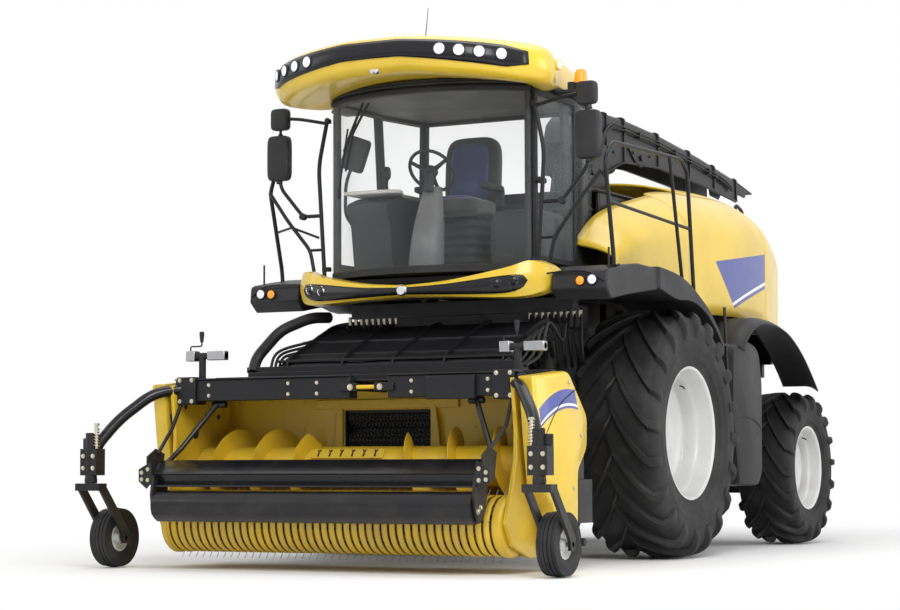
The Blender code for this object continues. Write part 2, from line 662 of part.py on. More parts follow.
def pickup_reel():
    """Make the reel: shaft, spider discs, four tine bars and their spring tines."""
    centre = (0.0, REEL_Y, REEL_Z)
    half = GUARD_HALF - 0.01
    shaft = disc(centre, "X", -HEADER_HALF + SEAT, HEADER_HALF - SEAT, 0.045, 8)
    spiders = [disc(centre, "X", x - 0.004, x + 0.004, REEL_BAR_R + 0.025, 8)
               for x in (-1.375, -0.46, 0.46, 1.375)]
    bars = []
    tines = []
    slots = int(round(2 * GUARD_HALF / BAND_PITCH)) - 1
    for bar in range(4):
        angle = math.pi / 2 * bar
        y = REEL_Y + REEL_BAR_R * math.sin(angle)
        z = REEL_Z + REEL_BAR_R * math.cos(angle)
        bars.append(box((-half + 0.02, half - 0.02), (y - 0.013, y + 0.013), (z - 0.013, z + 0.013)))
        for k in range(slots):
            x = -GUARD_HALF + (k + 1) * BAND_PITCH
            base = []
            for dx, swing in ((-0.004, 0.0), (0.004, 0.03), (0.004, -0.03)):
                base.append(turned((x + dx, REEL_Y, REEL_Z), "X", 0.0, REEL_BAR_R + 0.008, angle + swing))
            tip = turned((x, REEL_Y, REEL_Z), "X", 0.0, TINE_R, angle + 0.12)
            tines.append((base + [tip], [(0, 1, 2), (0, 3, 1), (1, 3, 2), (2, 3, 0)]))
    node("pickup_reel", "steel", [shaft] + spiders + bars + [merged(tines)], pivot=centre)


def auger():
    """Make the cross auger: a tube with flights that bring crop to the middle."""
    centre = (0.0, AUGER_Y, AUGER_Z)
    core = disc(centre, "X", -HEADER_HALF + RUN, HEADER_HALF - RUN, AUGER_TUBE_R, 12)
    journal = disc(centre, "X", -HEADER_HALF + SEAT, HEADER_HALF - SEAT, 0.04, 8)
    flights = []
    per_turn = 9
    turns = 3
    for s in (1, -1):
        verts = []
        for k in range(per_turn * turns + 1):
            angle = 2 * math.pi * k / per_turn
            x = s * (0.42 + AUGER_PITCH * k / per_turn)
            for dx, r in ((-FLIGHT_T / 2, AUGER_TUBE_R - 0.02), (FLIGHT_T / 2, AUGER_TUBE_R - 0.02),
                          (FLIGHT_T / 2, AUGER_R), (-FLIGHT_T / 2, AUGER_R)):
                verts.append(turned((x + dx, AUGER_Y, AUGER_Z), "X", 0.0, r, angle))
        last = 4 * per_turn * turns
        faces = [(0, 1, 2, 3), (last + 3, last + 2, last + 1, last)]
        for i in range(0, last, 4):
            # both sides share one diagonal, so that the thin flight never crosses itself
            faces += [(i, i + 4, i + 7), (i, i + 7, i + 3), (i + 1, i + 2, i + 6), (i + 1, i + 6, i + 5),
                      (i, i + 1, i + 5, i + 4), (i + 3, i + 7, i + 6, i + 2)]
        flights.append((verts, faces))
    paddles = [box((-0.30, 0.30), (AUGER_Y - 0.005, AUGER_Y + 0.005), (AUGER_Z + AUGER_TUBE_R - 0.02, AUGER_Z + 0.26)),
               box((-0.30, 0.30), (AUGER_Y - 0.005, AUGER_Y + 0.005), (AUGER_Z - 0.26, AUGER_Z - AUGER_TUBE_R + 0.02))]
    node("auger", "yellow_paint", [core, journal] + flights + paddles, pivot=centre)


def windguard():
    """Make the crop press frame with its plate, end plates and struts, and its roller."""
    pivot = (0.0, BEAM_Y, BEAM_Z - BEAM_H / 2 - 0.028 - SEAT)
    y = ROLLER_Y
    hood = prism("X", -1.366, 1.366, [(y + 0.14, 0.81), (y + 0.09, 0.82), (y - 0.07, 0.715), (y - 0.08, 0.62),
                                      (y - 0.05, 0.62), (y - 0.04, 0.70), (y + 0.10, 0.79)])
    parts = [hood]
    for s in (1, -1):
        plate = prism("X", ROLLER_HALF + RUN, ROLLER_HALF + RUN + 0.02, [
            (y + 0.12, 0.80), (y - 0.06, 0.72), (y - 0.075, 0.52), (y - 0.05, 0.42), (y + 0.04, 0.42),
            (y + 0.08, 0.50), (y + 0.12, 0.65)])
        parts.append(sided(plate, s))
        parts.append(tube([(s * 1.33, y + 0.11, 0.79), (s * 1.30, y + 0.24, 0.88), (s * 1.10, pivot[1], pivot[2])], 0.022, 6))
    parts.append(disc((0, pivot[1], pivot[2]), "X", -1.14, 1.14, 0.028, 8))
    node("windguard", "black_paint", parts, pivot=pivot)
    centre = (0.0, ROLLER_Y, ROLLER_Z)
    roller = lathe(centre, "X", [
        (-ROLLER_HALF - RUN + SEAT, 0.0), (-ROLLER_HALF - RUN + SEAT, 0.025), (-ROLLER_HALF, 0.025),
        (-ROLLER_HALF, ROLLER_R), (ROLLER_HALF, ROLLER_R), (ROLLER_HALF, 0.025),
        (ROLLER_HALF + RUN - SEAT, 0.025), (ROLLER_HALF + RUN - SEAT, 0.0)], 8)
    node("crop_roller", "cast_iron", [roller], pivot=centre)


def casters():
    """Make the swivelling forks and their gauge wheels."""
    for name, s in (("left", 1), ("right", -1)):
        x = s * CASTER_X
        reach = CASTER_W / 2 + RUN
        cross = box((x - reach - 0.03, x + reach + 0.03), (CASTER_Y - 0.05, CASTER_Y + 0.05),
                    (FORK_TOP - 0.05, FORK_TOP))
        legs = []
        for t in (1, -1):
            low = x + t * (reach + 0.015)
            legs.append(prism("X", low - 0.012, low + 0.012, [
                (CASTER_Y - 0.04, FORK_TOP - 0.02), (CASTER_Y + 0.045, FORK_TOP - 0.02),
                (CASTER_AXLE_Y + 0.04, CASTER_R + 0.04), (CASTER_AXLE_Y + 0.03, CASTER_R - 0.05),
                (CASTER_AXLE_Y - 0.04, CASTER_R - 0.05)]))
        axle = disc((x, CASTER_AXLE_Y, CASTER_R), "X", -reach - 0.015, reach + 0.015, 0.018, 8)
        node(f"caster_fork_{name}", "black_paint", [cross] + legs + [axle], pivot=(x, CASTER_Y, FORK_TOP))
        centre = (x, CASTER_AXLE_Y, CASTER_R)
        half = CASTER_W / 2
        bore = 0.018 + PIN_PLAY
        profile = [(-half, bore), (-half, 0.09), (-half + 0.02, 0.16), (-half + 0.03, CASTER_R),
                   (half - 0.03, CASTER_R), (half - 0.02, 0.16), (half, 0.09), (half, bore)]
        node(f"caster_wheel_{name}", "rubber", [lathe(centre, "X", profile, 14, closed=True)], pivot=centre)


# Cab

def cab_outline(inset):
    """Return the cab's plan, its curved front inset like its walls."""
    half = CAB_HALF - inset
    front = [(half * math.sin(math.radians(a)) / math.sin(math.radians(50)),
              CAB_FRONT + inset * 0.6 + (CAB_NOSE - CAB_FRONT + inset * 0.4) *
              (math.cos(math.radians(a)) - math.cos(math.radians(50))) / (1 - math.cos(math.radians(50))))
             for a in (-50, -30, -10, 10, 30, 50)]
    return front + [(CAB_HALF - inset, DOOR_BACK), (0.80 - inset, CAB_BACK - inset),
                    (-0.80 + inset, CAB_BACK - inset), (-CAB_HALF + inset, DOOR_BACK)]


def build_cab():
    """Make the hollow cab, its panes, its door, and what stands inside."""
    shell = prism("Z", CAB_FLOOR, CAB_TOP - SEAT, cab_outline(0.0))
    room = prism("Z", CAB_FLOOR + 0.05, CAB_TOP + 0.1, cab_outline(CAB_WALL))
    front = box((-CAB_HALF - 0.1, CAB_HALF + 0.1), (CAB_NOSE - 0.2, CAB_FRONT), (GLASS_LOW, HEAD))
    door_hole = box((0.6, 1.2), (CAB_FRONT + PILLAR, DOOR_BACK - PILLAR / 2), (SILL, HEAD))
    right_hole = box((-1.2, -0.6), (CAB_FRONT + PILLAR, DOOR_BACK - PILLAR / 2), (SILL, HEAD))
    rear_hole = box((-0.66, 0.66), (CAB_BACK - 0.1, CAB_BACK + 0.1), (SILL + 0.50, HEAD))
    quarter = [box((0.70, 1.0), (DOOR_BACK + PILLAR / 2, CAB_BACK - 0.09), (SILL + 0.05, HEAD)),
               box((-1.0, -0.70), (DOOR_BACK + PILLAR / 2, CAB_BACK - 0.09), (SILL + 0.05, HEAD))]
    node("cab_body", "grey_plastic", [shell], [room, front, door_hole, right_hole, rear_hole] + quarter)
    arc = cab_outline(0.0)[:6]
    pane = list(arc)
    pane_in = [(x * 0.985, y + GLASS) for x, y in arc]
    pane[0] = (pane[0][0], CAB_FRONT - SEAT)
    pane[-1] = (pane[-1][0], CAB_FRONT - SEAT)
    pane_in[0] = (pane_in[0][0], CAB_FRONT - SEAT)
    pane_in[-1] = (pane_in[-1][0], CAB_FRONT - SEAT)
    node("windshield", "glass", [prism("Z", GLASS_LOW + SEAT, HEAD - SEAT, pane + pane_in[::-1])])
    wrap = []
    for off in (SEAT, SEAT + GLASS):
        wrap.append([(-CAB_HALF - off, CAB_FRONT + 0.03), (-CAB_HALF - off, DOOR_BACK), (-0.80 - off, CAB_BACK + off),
                     (0.80 + off, CAB_BACK + off), (CAB_HALF + off, DOOR_BACK + 0.01)])
    node("windows_bonded", "glass", [prism("Z", SILL - 0.02, HEAD + 0.02, wrap[0] + wrap[1][::-1])])
    build_door()
    build_cab_inside()


def build_door():
    """Make the left door: a thin frame, its handle and its pane."""
    low = CAB_HALF + SEAT
    high = low + 0.035
    y = (CAB_FRONT + 0.02, DOOR_BACK - 0.005)
    z = (SILL - 0.03, HEAD + 0.025)
    hinge = (high, DOOR_BACK + 0.002, 0.0)
    handle = box((high - 0.01, high + 0.05), (y[0] + 0.01, y[0] + 0.05), (3.02, 3.20))
    mid = (low + high) / 2
    pane = box((mid - GLASS / 2, mid + GLASS / 2), (y[0] + 0.03, y[1] - 0.03), (z[0] + 0.03, z[1] - 0.03))
    side_bars = [box((low, high), (y0, y1), z) for y0, y1 in ((y[0], y[0] + 0.05), (y[1] - 0.05, y[1]))]
    cross_bars = [box((low, high), (y[0] + 0.02, y[1] - 0.02), (z0, z1))
                  for z0, z1 in ((z[0], z[0] + 0.05), (z[1] - 0.05, z[1]))]
    node("cab_door", "black_paint", side_bars + cross_bars + [pane, handle], pivot=hinge)


def build_cab_inside():
    """Make the seat with its console, and the steering column."""
    floor = CAB_FLOOR + 0.05 + SEAT
    base = box((-0.26, 0.20), (-0.98, -0.60), (floor, 2.78))
    cushion = prism("X", -0.30, 0.24, [(-1.14, 2.80), (-1.14, 2.90), (-1.05, 2.95), (-0.70, 2.93), (-0.62, 2.76), (-0.95, 2.76)])
    back = prism("X", -0.28, 0.22, [(-0.75, 2.88), (-0.72, 3.40), (-0.68, 3.46), (-0.60, 3.46), (-0.57, 3.38), (-0.60, 2.85)])
    arm = box((0.225, 0.32), (-1.05, -0.68), (2.99, 3.06))
    arm_post = box((0.21, 0.27), (-0.74, -0.66), (2.87, 3.05))
    console = prism("X", -0.78, -0.42, [(-1.30, floor), (-1.36, 2.90), (-1.20, 2.98), (-0.60, 2.96), (-0.60, floor)])
    stalk = tube([(-0.70, -1.25, 2.92), (-0.76, -1.30, 3.10), (-0.74, -1.32, 3.28)], 0.018, 6)
    screen = box((-0.80, -0.58), (-1.36, -1.32), (3.14, 3.42))
    plinth = box((-0.50, -0.10), (-0.98, -0.62), (floor, floor + 0.04))
    node("seat_console", "blue_fabric", [base, cushion, back, arm, arm_post, plinth, console, stalk, screen])
    column = prism("X", -0.09, 0.09, [(-1.62, floor), (-1.60, 2.62), (-1.40, 3.00), (-1.30, 3.00), (-1.34, 2.70), (-1.36, floor)])
    wheel_axis = Vector((0.0, 0.42, 0.90)).normalized()
    spoke = box((-0.18, 0.18), (-1.43, -1.39), (3.03, 3.06))
    hub = tube([(0, -1.36, 2.97), (0, -1.42, 3.09)], 0.04, 8)
    ring_points = []
    for k in range(12):
        angle = 2 * math.pi * k / 12
        ring_points.append(Vector((0.19 * math.cos(angle), 0.19 * math.sin(angle) * wheel_axis.z,
                                   0.19 * math.sin(angle) * wheel_axis.y)))
    verts = []
    for k, centre in enumerate(ring_points):
        out = centre.normalized()
        for j in range(6):
            a = 2 * math.pi * j / 6
            verts.append(tuple(Vector((0, -1.41, 3.045)) + centre + out * 0.016 * math.cos(a)
                               + Vector((0, -wheel_axis.y, wheel_axis.z)) * 0.016 * math.sin(a)))
    faces = [(k * 6 + j, k * 6 + (j + 1) % 6, ((k + 1) % 12) * 6 + (j + 1) % 6, ((k + 1) % 12) * 6 + j)
             for k in range(12) for j in range(6)]
    node("steering_column", "grey_plastic", [column, hub, spoke, (verts, faces)])


def build_roof():
    """Make the domed roof with its visor and lamps."""
    half_plan = [(0.0, -2.40), (0.60, -2.36), (0.90, -2.22), (1.12, -1.96), (1.22, -1.74), (1.14, -1.50),
                 (1.02, -0.90), (0.90, -0.02), (0.0, 0.05)]
    levels = [
        # z, inset from the plan's edge, share of the front's overhang, drop of the corners
        (CAB_TOP + 0.025, 0.10, 0.93, 0.10), (3.88, 0.0, 1.0, 0.10), (3.98, 0.03, 0.975, 0.08), (4.05, 0.20, 0.86, 0.05),
        (4.075, 0.50, 0.60, 0.0),
    ]
    sections = []
    for z, inset, share, drop in levels:
        right = []
        for x, y in half_plan:
            px = max(0.0, x - inset * min(1.0, x))
            py = -0.9 + (y + 0.9) * (share if y < -0.9 else 1.0 - inset * 0.4)
            sag = drop * max(0.0, x - 0.3) if y < -1.2 else 0.0
            right.append((px, py, z - sag))
        sections.append(right + [(-x, y, z) for x, y, z in right[-2:0:-1]])
    crown = loft(sections, mirror_caps=True)
    lamps = [disc((s * x, y + 0.06, z), "Y", -0.08, 0.02, 0.05, 10)
             for x, y, z in ((0.604, -2.317, 3.865), (0.743, -2.261, 3.859), (0.867, -2.174, 3.858),
                             (0.996, -2.076, 3.857)) for s in (1, -1)]
    deck = box((-0.70, 0.70), (-1.2, -0.15), (CAB_TOP - 0.02, 3.80))
    mast = tube([(0, -1.50, 4.05), (0, -1.46, 4.42)], 0.006, 6)
    seat_cut = prism("Z", 3.3, CAB_TOP, cab_outline(-0.06))
    node("roof", "yellow_paint", [crown, deck, mast] + lamps, [seat_cut])


def build_nose():
    """Make the lamp band under the windscreen."""
    table = [
        # x, front y, bottom z, top z
        (1.12, -1.55, 2.16, 2.25), (1.03, -1.66, 2.07, 2.315), (0.83, -1.76, 2.05, 2.26),
        (0.40, -1.85, 2.06, 2.19), (0.0, -1.87, 2.08, 2.16),
    ]
    rows = table + [(-x, y, low, high) for x, y, low, high in table[-2::-1]]
    sections = [[(x, y, low), (x, y, high), (x, y + 0.20, high), (x, y + 0.20, low)] for x, y, low, high in rows]
    band = loft(sections)
    lamps = [disc((s * x, y + 0.05, z), "Y", -0.07, 0.02, 0.038, 10)
             for x, y, z in ((0.90, -1.78, 2.175), (0.76, -1.83, 2.151)) for s in (1, -1)]
    back = [sided(box((RAIL_X + 0.02, RAIL_X + 0.06), (-1.72, -1.30 - SEAT), (CAB_FLOOR - 0.08, CAB_FLOOR - SEAT)), s) for s in (1, -1)]
    node("nose", "yellow_paint", [band] + lamps + back)


# Body panels

BODY = [
    # y, half width, bottom z, shoulder z, crown z
    (-0.60, 1.24, 2.3178, 2.40, 2.60),
    (-0.15, 1.25, 2.2966, 2.55, 2.95),
    (0.60, 1.25, 2.10, 2.66, 3.18),
    (1.30, 1.25, 2.08, 2.74, 3.32),
    (2.20, 1.25, 2.09, 2.78, 3.38),
    (3.05, 1.20, 2.06, 2.78, 3.41),
    (3.70, 1.06, 1.80, 2.72, 3.32),
    (4.10, 0.95, 1.75, 2.62, 3.14),
    (4.36, 0.80, 1.75, 2.45, 2.88),
]


def body_point(y, turn):
    """Place a point of the body's skin; turn is 0 at the shoulder, 90 on the crown, below 0 on the side."""
    half, bottom, shoulder, crown = between(BODY, y)
    if turn < 0:
        return (half, y, shoulder + (bottom - shoulder) * (-turn))
    angle = math.radians(turn)
    return (half * math.cos(angle), y, shoulder + (crown - shoulder) * math.sin(angle))


def skin(name, ys, turns, keep=None, both=False, pivot=(0.0, 0.0, 0.0), side=1):
    """Make a panel of the body's skin between stations and turns, one sheet thick."""
    columns = [(1, turn) for turn in turns]
    if both:
        columns += [(-1, turn) for turn in turns[-2::-1]] if turns[-1] == 90 else []
    verts = []
    for y in ys:
        for s, turn in columns:
            x, py, z = body_point(y, turn)
            verts.append((s * side * x, py, z))
    n = len(columns)
    faces = []
    for i in range(len(ys) - 1):
        for j in range(n - 1):
            if keep and not keep(ys[i], columns[j][1], columns[j + 1][1]):
                continue
            face = (i * n + j, i * n + j + 1, (i + 1) * n + j + 1, (i + 1) * n + j)
            faces.append(face if side > 0 else face[::-1])
    mesh = bpy.data.meshes.new(name)
    mesh.from_pydata([tuple(a - b for a, b in zip(v, pivot)) for v in verts], [], faces)
    form = bmesh.new()
    form.from_mesh(mesh)
    loose = [v for v in form.verts if not v.link_faces]
    bmesh.ops.delete(form, geom=loose, context="VERTS")
    bmesh.ops.recalc_face_normals(form, faces=form.faces)
    if form.faces[0].normal.dot(Vector((side, 0, 0.4))) < 0:
        bmesh.ops.reverse_faces(form, faces=form.faces)
    form.to_mesh(mesh)
    form.free()
    mesh.shade_smooth()
    mesh.set_sharp_from_angle(angle=math.radians(32))
    made = bpy.data.objects.new(name, mesh)
    made.location = (pivot[0], pivot[1] + ORIGIN_Y, pivot[2])
    made.data.materials.append(material("yellow_paint"))
    bpy.context.scene.collection.objects.link(made)
    sheet = made.modifiers.new("sheet", "SOLIDIFY")
    sheet.thickness = PANEL
    sheet.offset = -1.0
    return made


def build_body():
    """Make the side panels, the gull-wing engine doors, the hood and the rear grille."""
    side_turns = [-1, -0.5, 0, 20, 40]
    door_turns = [-1, -0.5, 0, 17, 34, DOOR_ANGLE - HINGE_GAP]
    door_ys = [BODY_SEAM_Y + RUN, 1.3, 1.75, 2.2, 2.65, DOOR_END_Y - RUN]
    hinge_z = max(body_point(y, DOOR_ANGLE - HINGE_GAP)[2] for y in door_ys) + 0.004
    hinge_x = body_point(2.2, DOOR_ANGLE - HINGE_GAP)[0]
    for name, s in (("left", 1), ("right", -1)):
        skin(f"side_panel_{name}", [-0.60, -0.15, 0.2, 0.6, BODY_SEAM_Y], side_turns, side=s)
        skin(f"engine_door_{name}", door_ys, door_turns, side=s, pivot=(s * hinge_x, 2.0, hinge_z))
    hood_ys = [HOOD_START_Y, 2.2, DOOR_END_Y, 3.7, 4.1, BODY_END_Y]
    turns = [-1, -0.5, 0, 25, DOOR_ANGLE, 70, 90]

    def kept(y, low, high):
        return y >= DOOR_END_Y - 0.001 or min(low, high) >= DOOR_ANGLE
    skin("hood", hood_ys, turns, keep=kept, both=True)
    half, bottom, shoulder, crown = between(BODY, BODY_END_Y)
    edge = [(half * math.cos(math.radians(a)), shoulder + (crown - shoulder) * math.sin(math.radians(a)))
            for a in (0, 25, 50, 70, 90, 110, 130, 155, 180)]
    grille = prism("Y", BODY_END_Y + SEAT, BODY_END_Y + 0.03, [(half, bottom)] + edge + [(-half, bottom)])
    slots = [box((-half + 0.12, half - 0.12), (BODY_END_Y - 0.1, BODY_END_Y + 0.1), (z, z + 0.05))
             for z in (1.95, 2.05, 2.15, 2.25, 2.35)]
    rail = tube([(0.55, BODY_END_Y + 0.02, 2.62), (0.55, BODY_END_Y + 0.09, 2.66), (0.55, BODY_END_Y + 0.09, 2.80),
                 (-0.55, BODY_END_Y + 0.09, 2.80), (-0.55, BODY_END_Y + 0.09, 2.66), (-0.55, BODY_END_Y + 0.02, 2.62)], 0.015, 6)
    posts = [sided(box((0.44, 0.50), (RAIL_REAR + SEAT, BODY_END_Y + 0.02), (RAIL_Z + 0.06, 1.85)), s) for s in (1, -1)]
    node("rear_grille", "black_paint", [grille, rail] + posts, slots)


DECK_TOP = [
    # y, height of the deck and fender over the front tyre
    (-1.596, 2.245), (-0.996, 2.337), (-0.168, 2.296), (0.38, 2.105), (0.64, 1.945), (0.84, 1.77),
]


def deck_height(y):
    """Return the height at which a post of the handrail stands on the deck."""
    return max(between(DECK_TOP, y + edge * TUBE_R)[0] for edge in (-1, 0, 1)) + SEAT


def build_fenders():
    """Make the front decks over the tyres and the rear fenders."""
    arch = [(math.sin(math.radians(a)), math.cos(math.radians(a))) for a in (48, 36, 24, 12, 0)]
    under = [(FRONT_ARCH_R * a, FRONT_R + FRONT_ARCH_R * b) for a, b in arch]
    deck = prism("X", 1.125, 1.62, [(-1.602, 1.965), (-1.596, 2.245)] + DECK_TOP[1:] + under
                 + [(-0.50, 2.15), (-1.50, 2.12), (-1.55, 1.965)])
    inner_deck = prism("X", CAB_HALF + 0.05, 1.14, [(-1.33, 2.286)] + DECK_TOP[1:] + under + [(-0.50, 2.15), (-1.33, 2.14)])
    hanger = box((RAIL_X + 0.07 + SEAT, CAB_HALF + 0.10), (-1.10, -0.30), (CAB_FLOOR - 0.10, CAB_FLOOR - 0.03))
    lamp = [disc((x, -1.60, 2.166), "Y", -0.03, 0.05, 0.035, 10) for x in (1.36, 1.48)]
    rear = prism("X", 1.27, 1.55, [
        (1.53, 1.82), (1.514, 1.847), (2.038, 2.069), (2.714, 1.995), (3.50, 1.53), (3.47, 1.50), (2.66, 1.93),
        (2.05, 2.00)])
    stay = box((0.50, 1.30), (2.44, 2.50), (1.93, 1.98))
    leg = box((RAIL_X + RAIL_W + SEAT, RAIL_X + RAIL_W + 0.06), (2.44, 2.50), (1.25, 1.98))
    for name, s in (("left", 1), ("right", -1)):
        node(f"fender_front_{name}", "black_paint", [sided(solid, s) for solid in [deck, inner_deck, hanger] + lamp])
        node(f"fender_rear_{name}", "black_paint", [sided(solid, s) for solid in (rear, stay, leg)])


def build_rails():
    """Make the deck's handrails, the mirrors on their arms and the beacon."""
    x = 1.53
    left = [
        tube([(x, -1.30, deck_height(-1.30)), (x, -1.30, 2.36), (x, -1.45, 3.10), (x, -1.30, 3.25), (x, 0.10, 3.28),
              (x, 0.22, 3.20), (x, 0.36, 2.18), (x, 0.36, deck_height(0.36))], TUBE_R),
        tube([(x + 0.003, -0.15, 3.268), (x + 0.003, 0.10, 2.25), (x + 0.003, 0.10, deck_height(0.10))], TUBE_R * 0.9),
        tube([(x - 0.004, -1.395, 2.783), (x - 0.004, 0.292, 2.717)], TUBE_R * 0.8),
    ]
    node("handrail_left", "black_paint", left)
    for name, s in (("left", 1), ("right", -1)):
        arm_y = -1.46
        solids = [
            tube([(0.966, arm_y, 2.30), (1.022, arm_y, 3.205), (0.936, arm_y, 3.60)], TUBE_R),
            tube([(1.0, arm_y, 2.80), (1.171, arm_y, 2.80), (1.388, arm_y, 3.05), (1.40, arm_y, 3.14)], TUBE_R * 0.9),
            box((1.30, 1.50), (arm_y - 0.04, arm_y + 0.05), (3.11, 3.484)),
            box((1.31, 1.47), (arm_y - 0.04, arm_y + 0.04), (3.53, 3.71)),
            tube([(1.39, arm_y, 3.46), (1.39, arm_y, 3.56)], 0.012),
            tube([(0.945, arm_y, 3.555), (1.20, arm_y, 3.61), (1.33, arm_y, 3.62)], 0.015),
            box((CAB_HALF + SEAT, 0.98), (arm_y - 0.01, arm_y + 0.02), (2.34, 2.37)),
            box((CAB_HALF + SEAT, 0.95), (arm_y - 0.01, arm_y + 0.02), (3.56, 3.59)),
        ]
        node(f"mirror_rail_{name}", "black_paint", [sided(solid, s) for solid in solids])


# Spout

def spout_section(y, top, depth):
    """Return one U section of the spout, open below."""
    w = SPOUT_HALF
    t = SPOUT_WALL
    return [(-w, y, top), (w, y, top), (w, y, top - depth), (w - t, y, top - depth), (w - t, y, top - t),
            (-w + t, y, top - t), (-w + t, y, top - depth), (-w, y, top - depth)]


def build_spout():
    """Make the turret, the arched arm, its end flap and its lift cylinder."""
    axis = (0.0, TURRET_Y, 0.0)
    ring = disc((0, TURRET_Y, 0), "Z", TURRET_Z, TURRET_Z + 0.10, TURRET_R, 20)
    elbow = prism("X", -EAR_X - 0.01, EAR_X + 0.01, [
        (TURRET_Y - 0.20, TURRET_Z + 0.08), (TURRET_Y - 0.20, 3.50), (TURRET_Y - 0.10, 3.66), (TURRET_Y + 0.10, 3.62),
        (TURRET_Y + 0.20, TURRET_Z + 0.08)])
    ears = [sided(prism("X", EAR_X, EAR_X + 0.03, [
        (TURRET_Y - 0.22, TURRET_Z + 0.06), (SPOUT_PIVOT_Y - 0.10, SPOUT_PIVOT_Z + 0.07),
        (SPOUT_PIVOT_Y + 0.10, SPOUT_PIVOT_Z + 0.07), (LIFT_PIN[0] + 0.06, LIFT_PIN[1] + 0.05),
        (LIFT_PIN[0] + 0.06, LIFT_PIN[1] - 0.06), (TURRET_Y + 0.22, TURRET_Z + 0.06)]), s) for s in (1, -1)]
    pivot = (0.0, SPOUT_PIVOT_Y, SPOUT_PIVOT_Z)
    pins = disc(pivot, "X", -SPOUT_HALF + SPOUT_WALL + SEAT, SPOUT_HALF - SPOUT_WALL - SEAT, 0.04, 10)
    node("spout_turret", "black_paint", [ring, elbow, pins] + ears, pivot=axis)
    table = [
        # y, top z, depth
        (1.02, 3.66, 0.30), (1.08, 3.84, 0.48), (1.24, 3.95, 0.58), (1.62, 3.985, 0.56), (2.05, 3.99, 0.42), (2.87, 3.955, 0.34),
        (4.0, 3.86, 0.28), (FLAP_Y, 3.74, 0.24),
    ]
    arm = loft([spout_section(*row) for row in table])
    node("spout_arm", "black_paint", [arm], pivot=pivot)
    flap_pivot = (0.0, FLAP_Y + SEAT, 3.728)
    w = SPOUT_HALF - SPOUT_WALL - RUN
    flap = prism("X", -w, w, [(FLAP_Y + SEAT, 3.74), (5.58, 3.655), (5.575, 3.64), (FLAP_Y + SEAT, 3.728)])
    cheeks = [sided(prism("X", w - 0.012, w, [(FLAP_Y + SEAT, 3.735), (5.45, 3.67), (5.35, 3.58), (FLAP_Y + 0.10, 3.60)]), s)
              for s in (1, -1)]
    node("spout_flap", "black_paint", [flap] + cheeks, pivot=flap_pivot)


def build_spout_lift():
    """Make the spout's lift cylinder, under the arm."""
    base = Vector((0.0, *LIFT_PIN))
    eye = Vector((0.0, *ROD_PIN))
    along = (eye - base).normalized()
    neck = base + along * 0.58
    barrel = tube([base, neck], 0.04, 8)
    pin = disc(tuple(base), "X", -EAR_X + SEAT, EAR_X - SEAT, 0.018, 8)
    node("spout_lift_barrel", "black_paint", [barrel, pin], pivot=tuple(base))
    rod = tube([neck + along * SEAT, eye], 0.02, 8)
    eye_pin = disc(tuple(eye), "X", -SPOUT_HALF + SPOUT_WALL + SEAT, SPOUT_HALF - SPOUT_WALL - SEAT, 0.016, 8)
    node("spout_lift_rod", "chrome", [rod, eye_pin], pivot=tuple(eye))


def main():
    """Build the whole machine."""
    for old in list(bpy.data.objects):
        bpy.data.objects.remove(old, do_unlink=True)
    build_wheels()
    build_axles()
    build_chassis()
    build_feeder()
    build_lift()
    header_frame()
    side_panels()
    top_beam()
    reel_guard()
    pickup_reel()
    auger()
    windguard()
    casters()
    build_cab()
    build_roof()
    build_nose()
    build_body()
    build_fenders()
    build_rails()
    build_spout()
    build_spout_lift()


main()
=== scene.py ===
"""Looks of a self-propelled forage harvester with a grass pickup header.

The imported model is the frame.  Pieces are drawn in metres with Y measured from
the front axle, and SHIFT_Y moves them onto the frame, whose origin is the middle
of the machine's length.  The machine drives towards -Y and its left side is +X.
"""
from __future__ import annotations

import json
import logging
import math
from dataclasses import dataclass
from enum import Enum
from functools import lru_cache
from typing import Callable, Iterable, Sequence

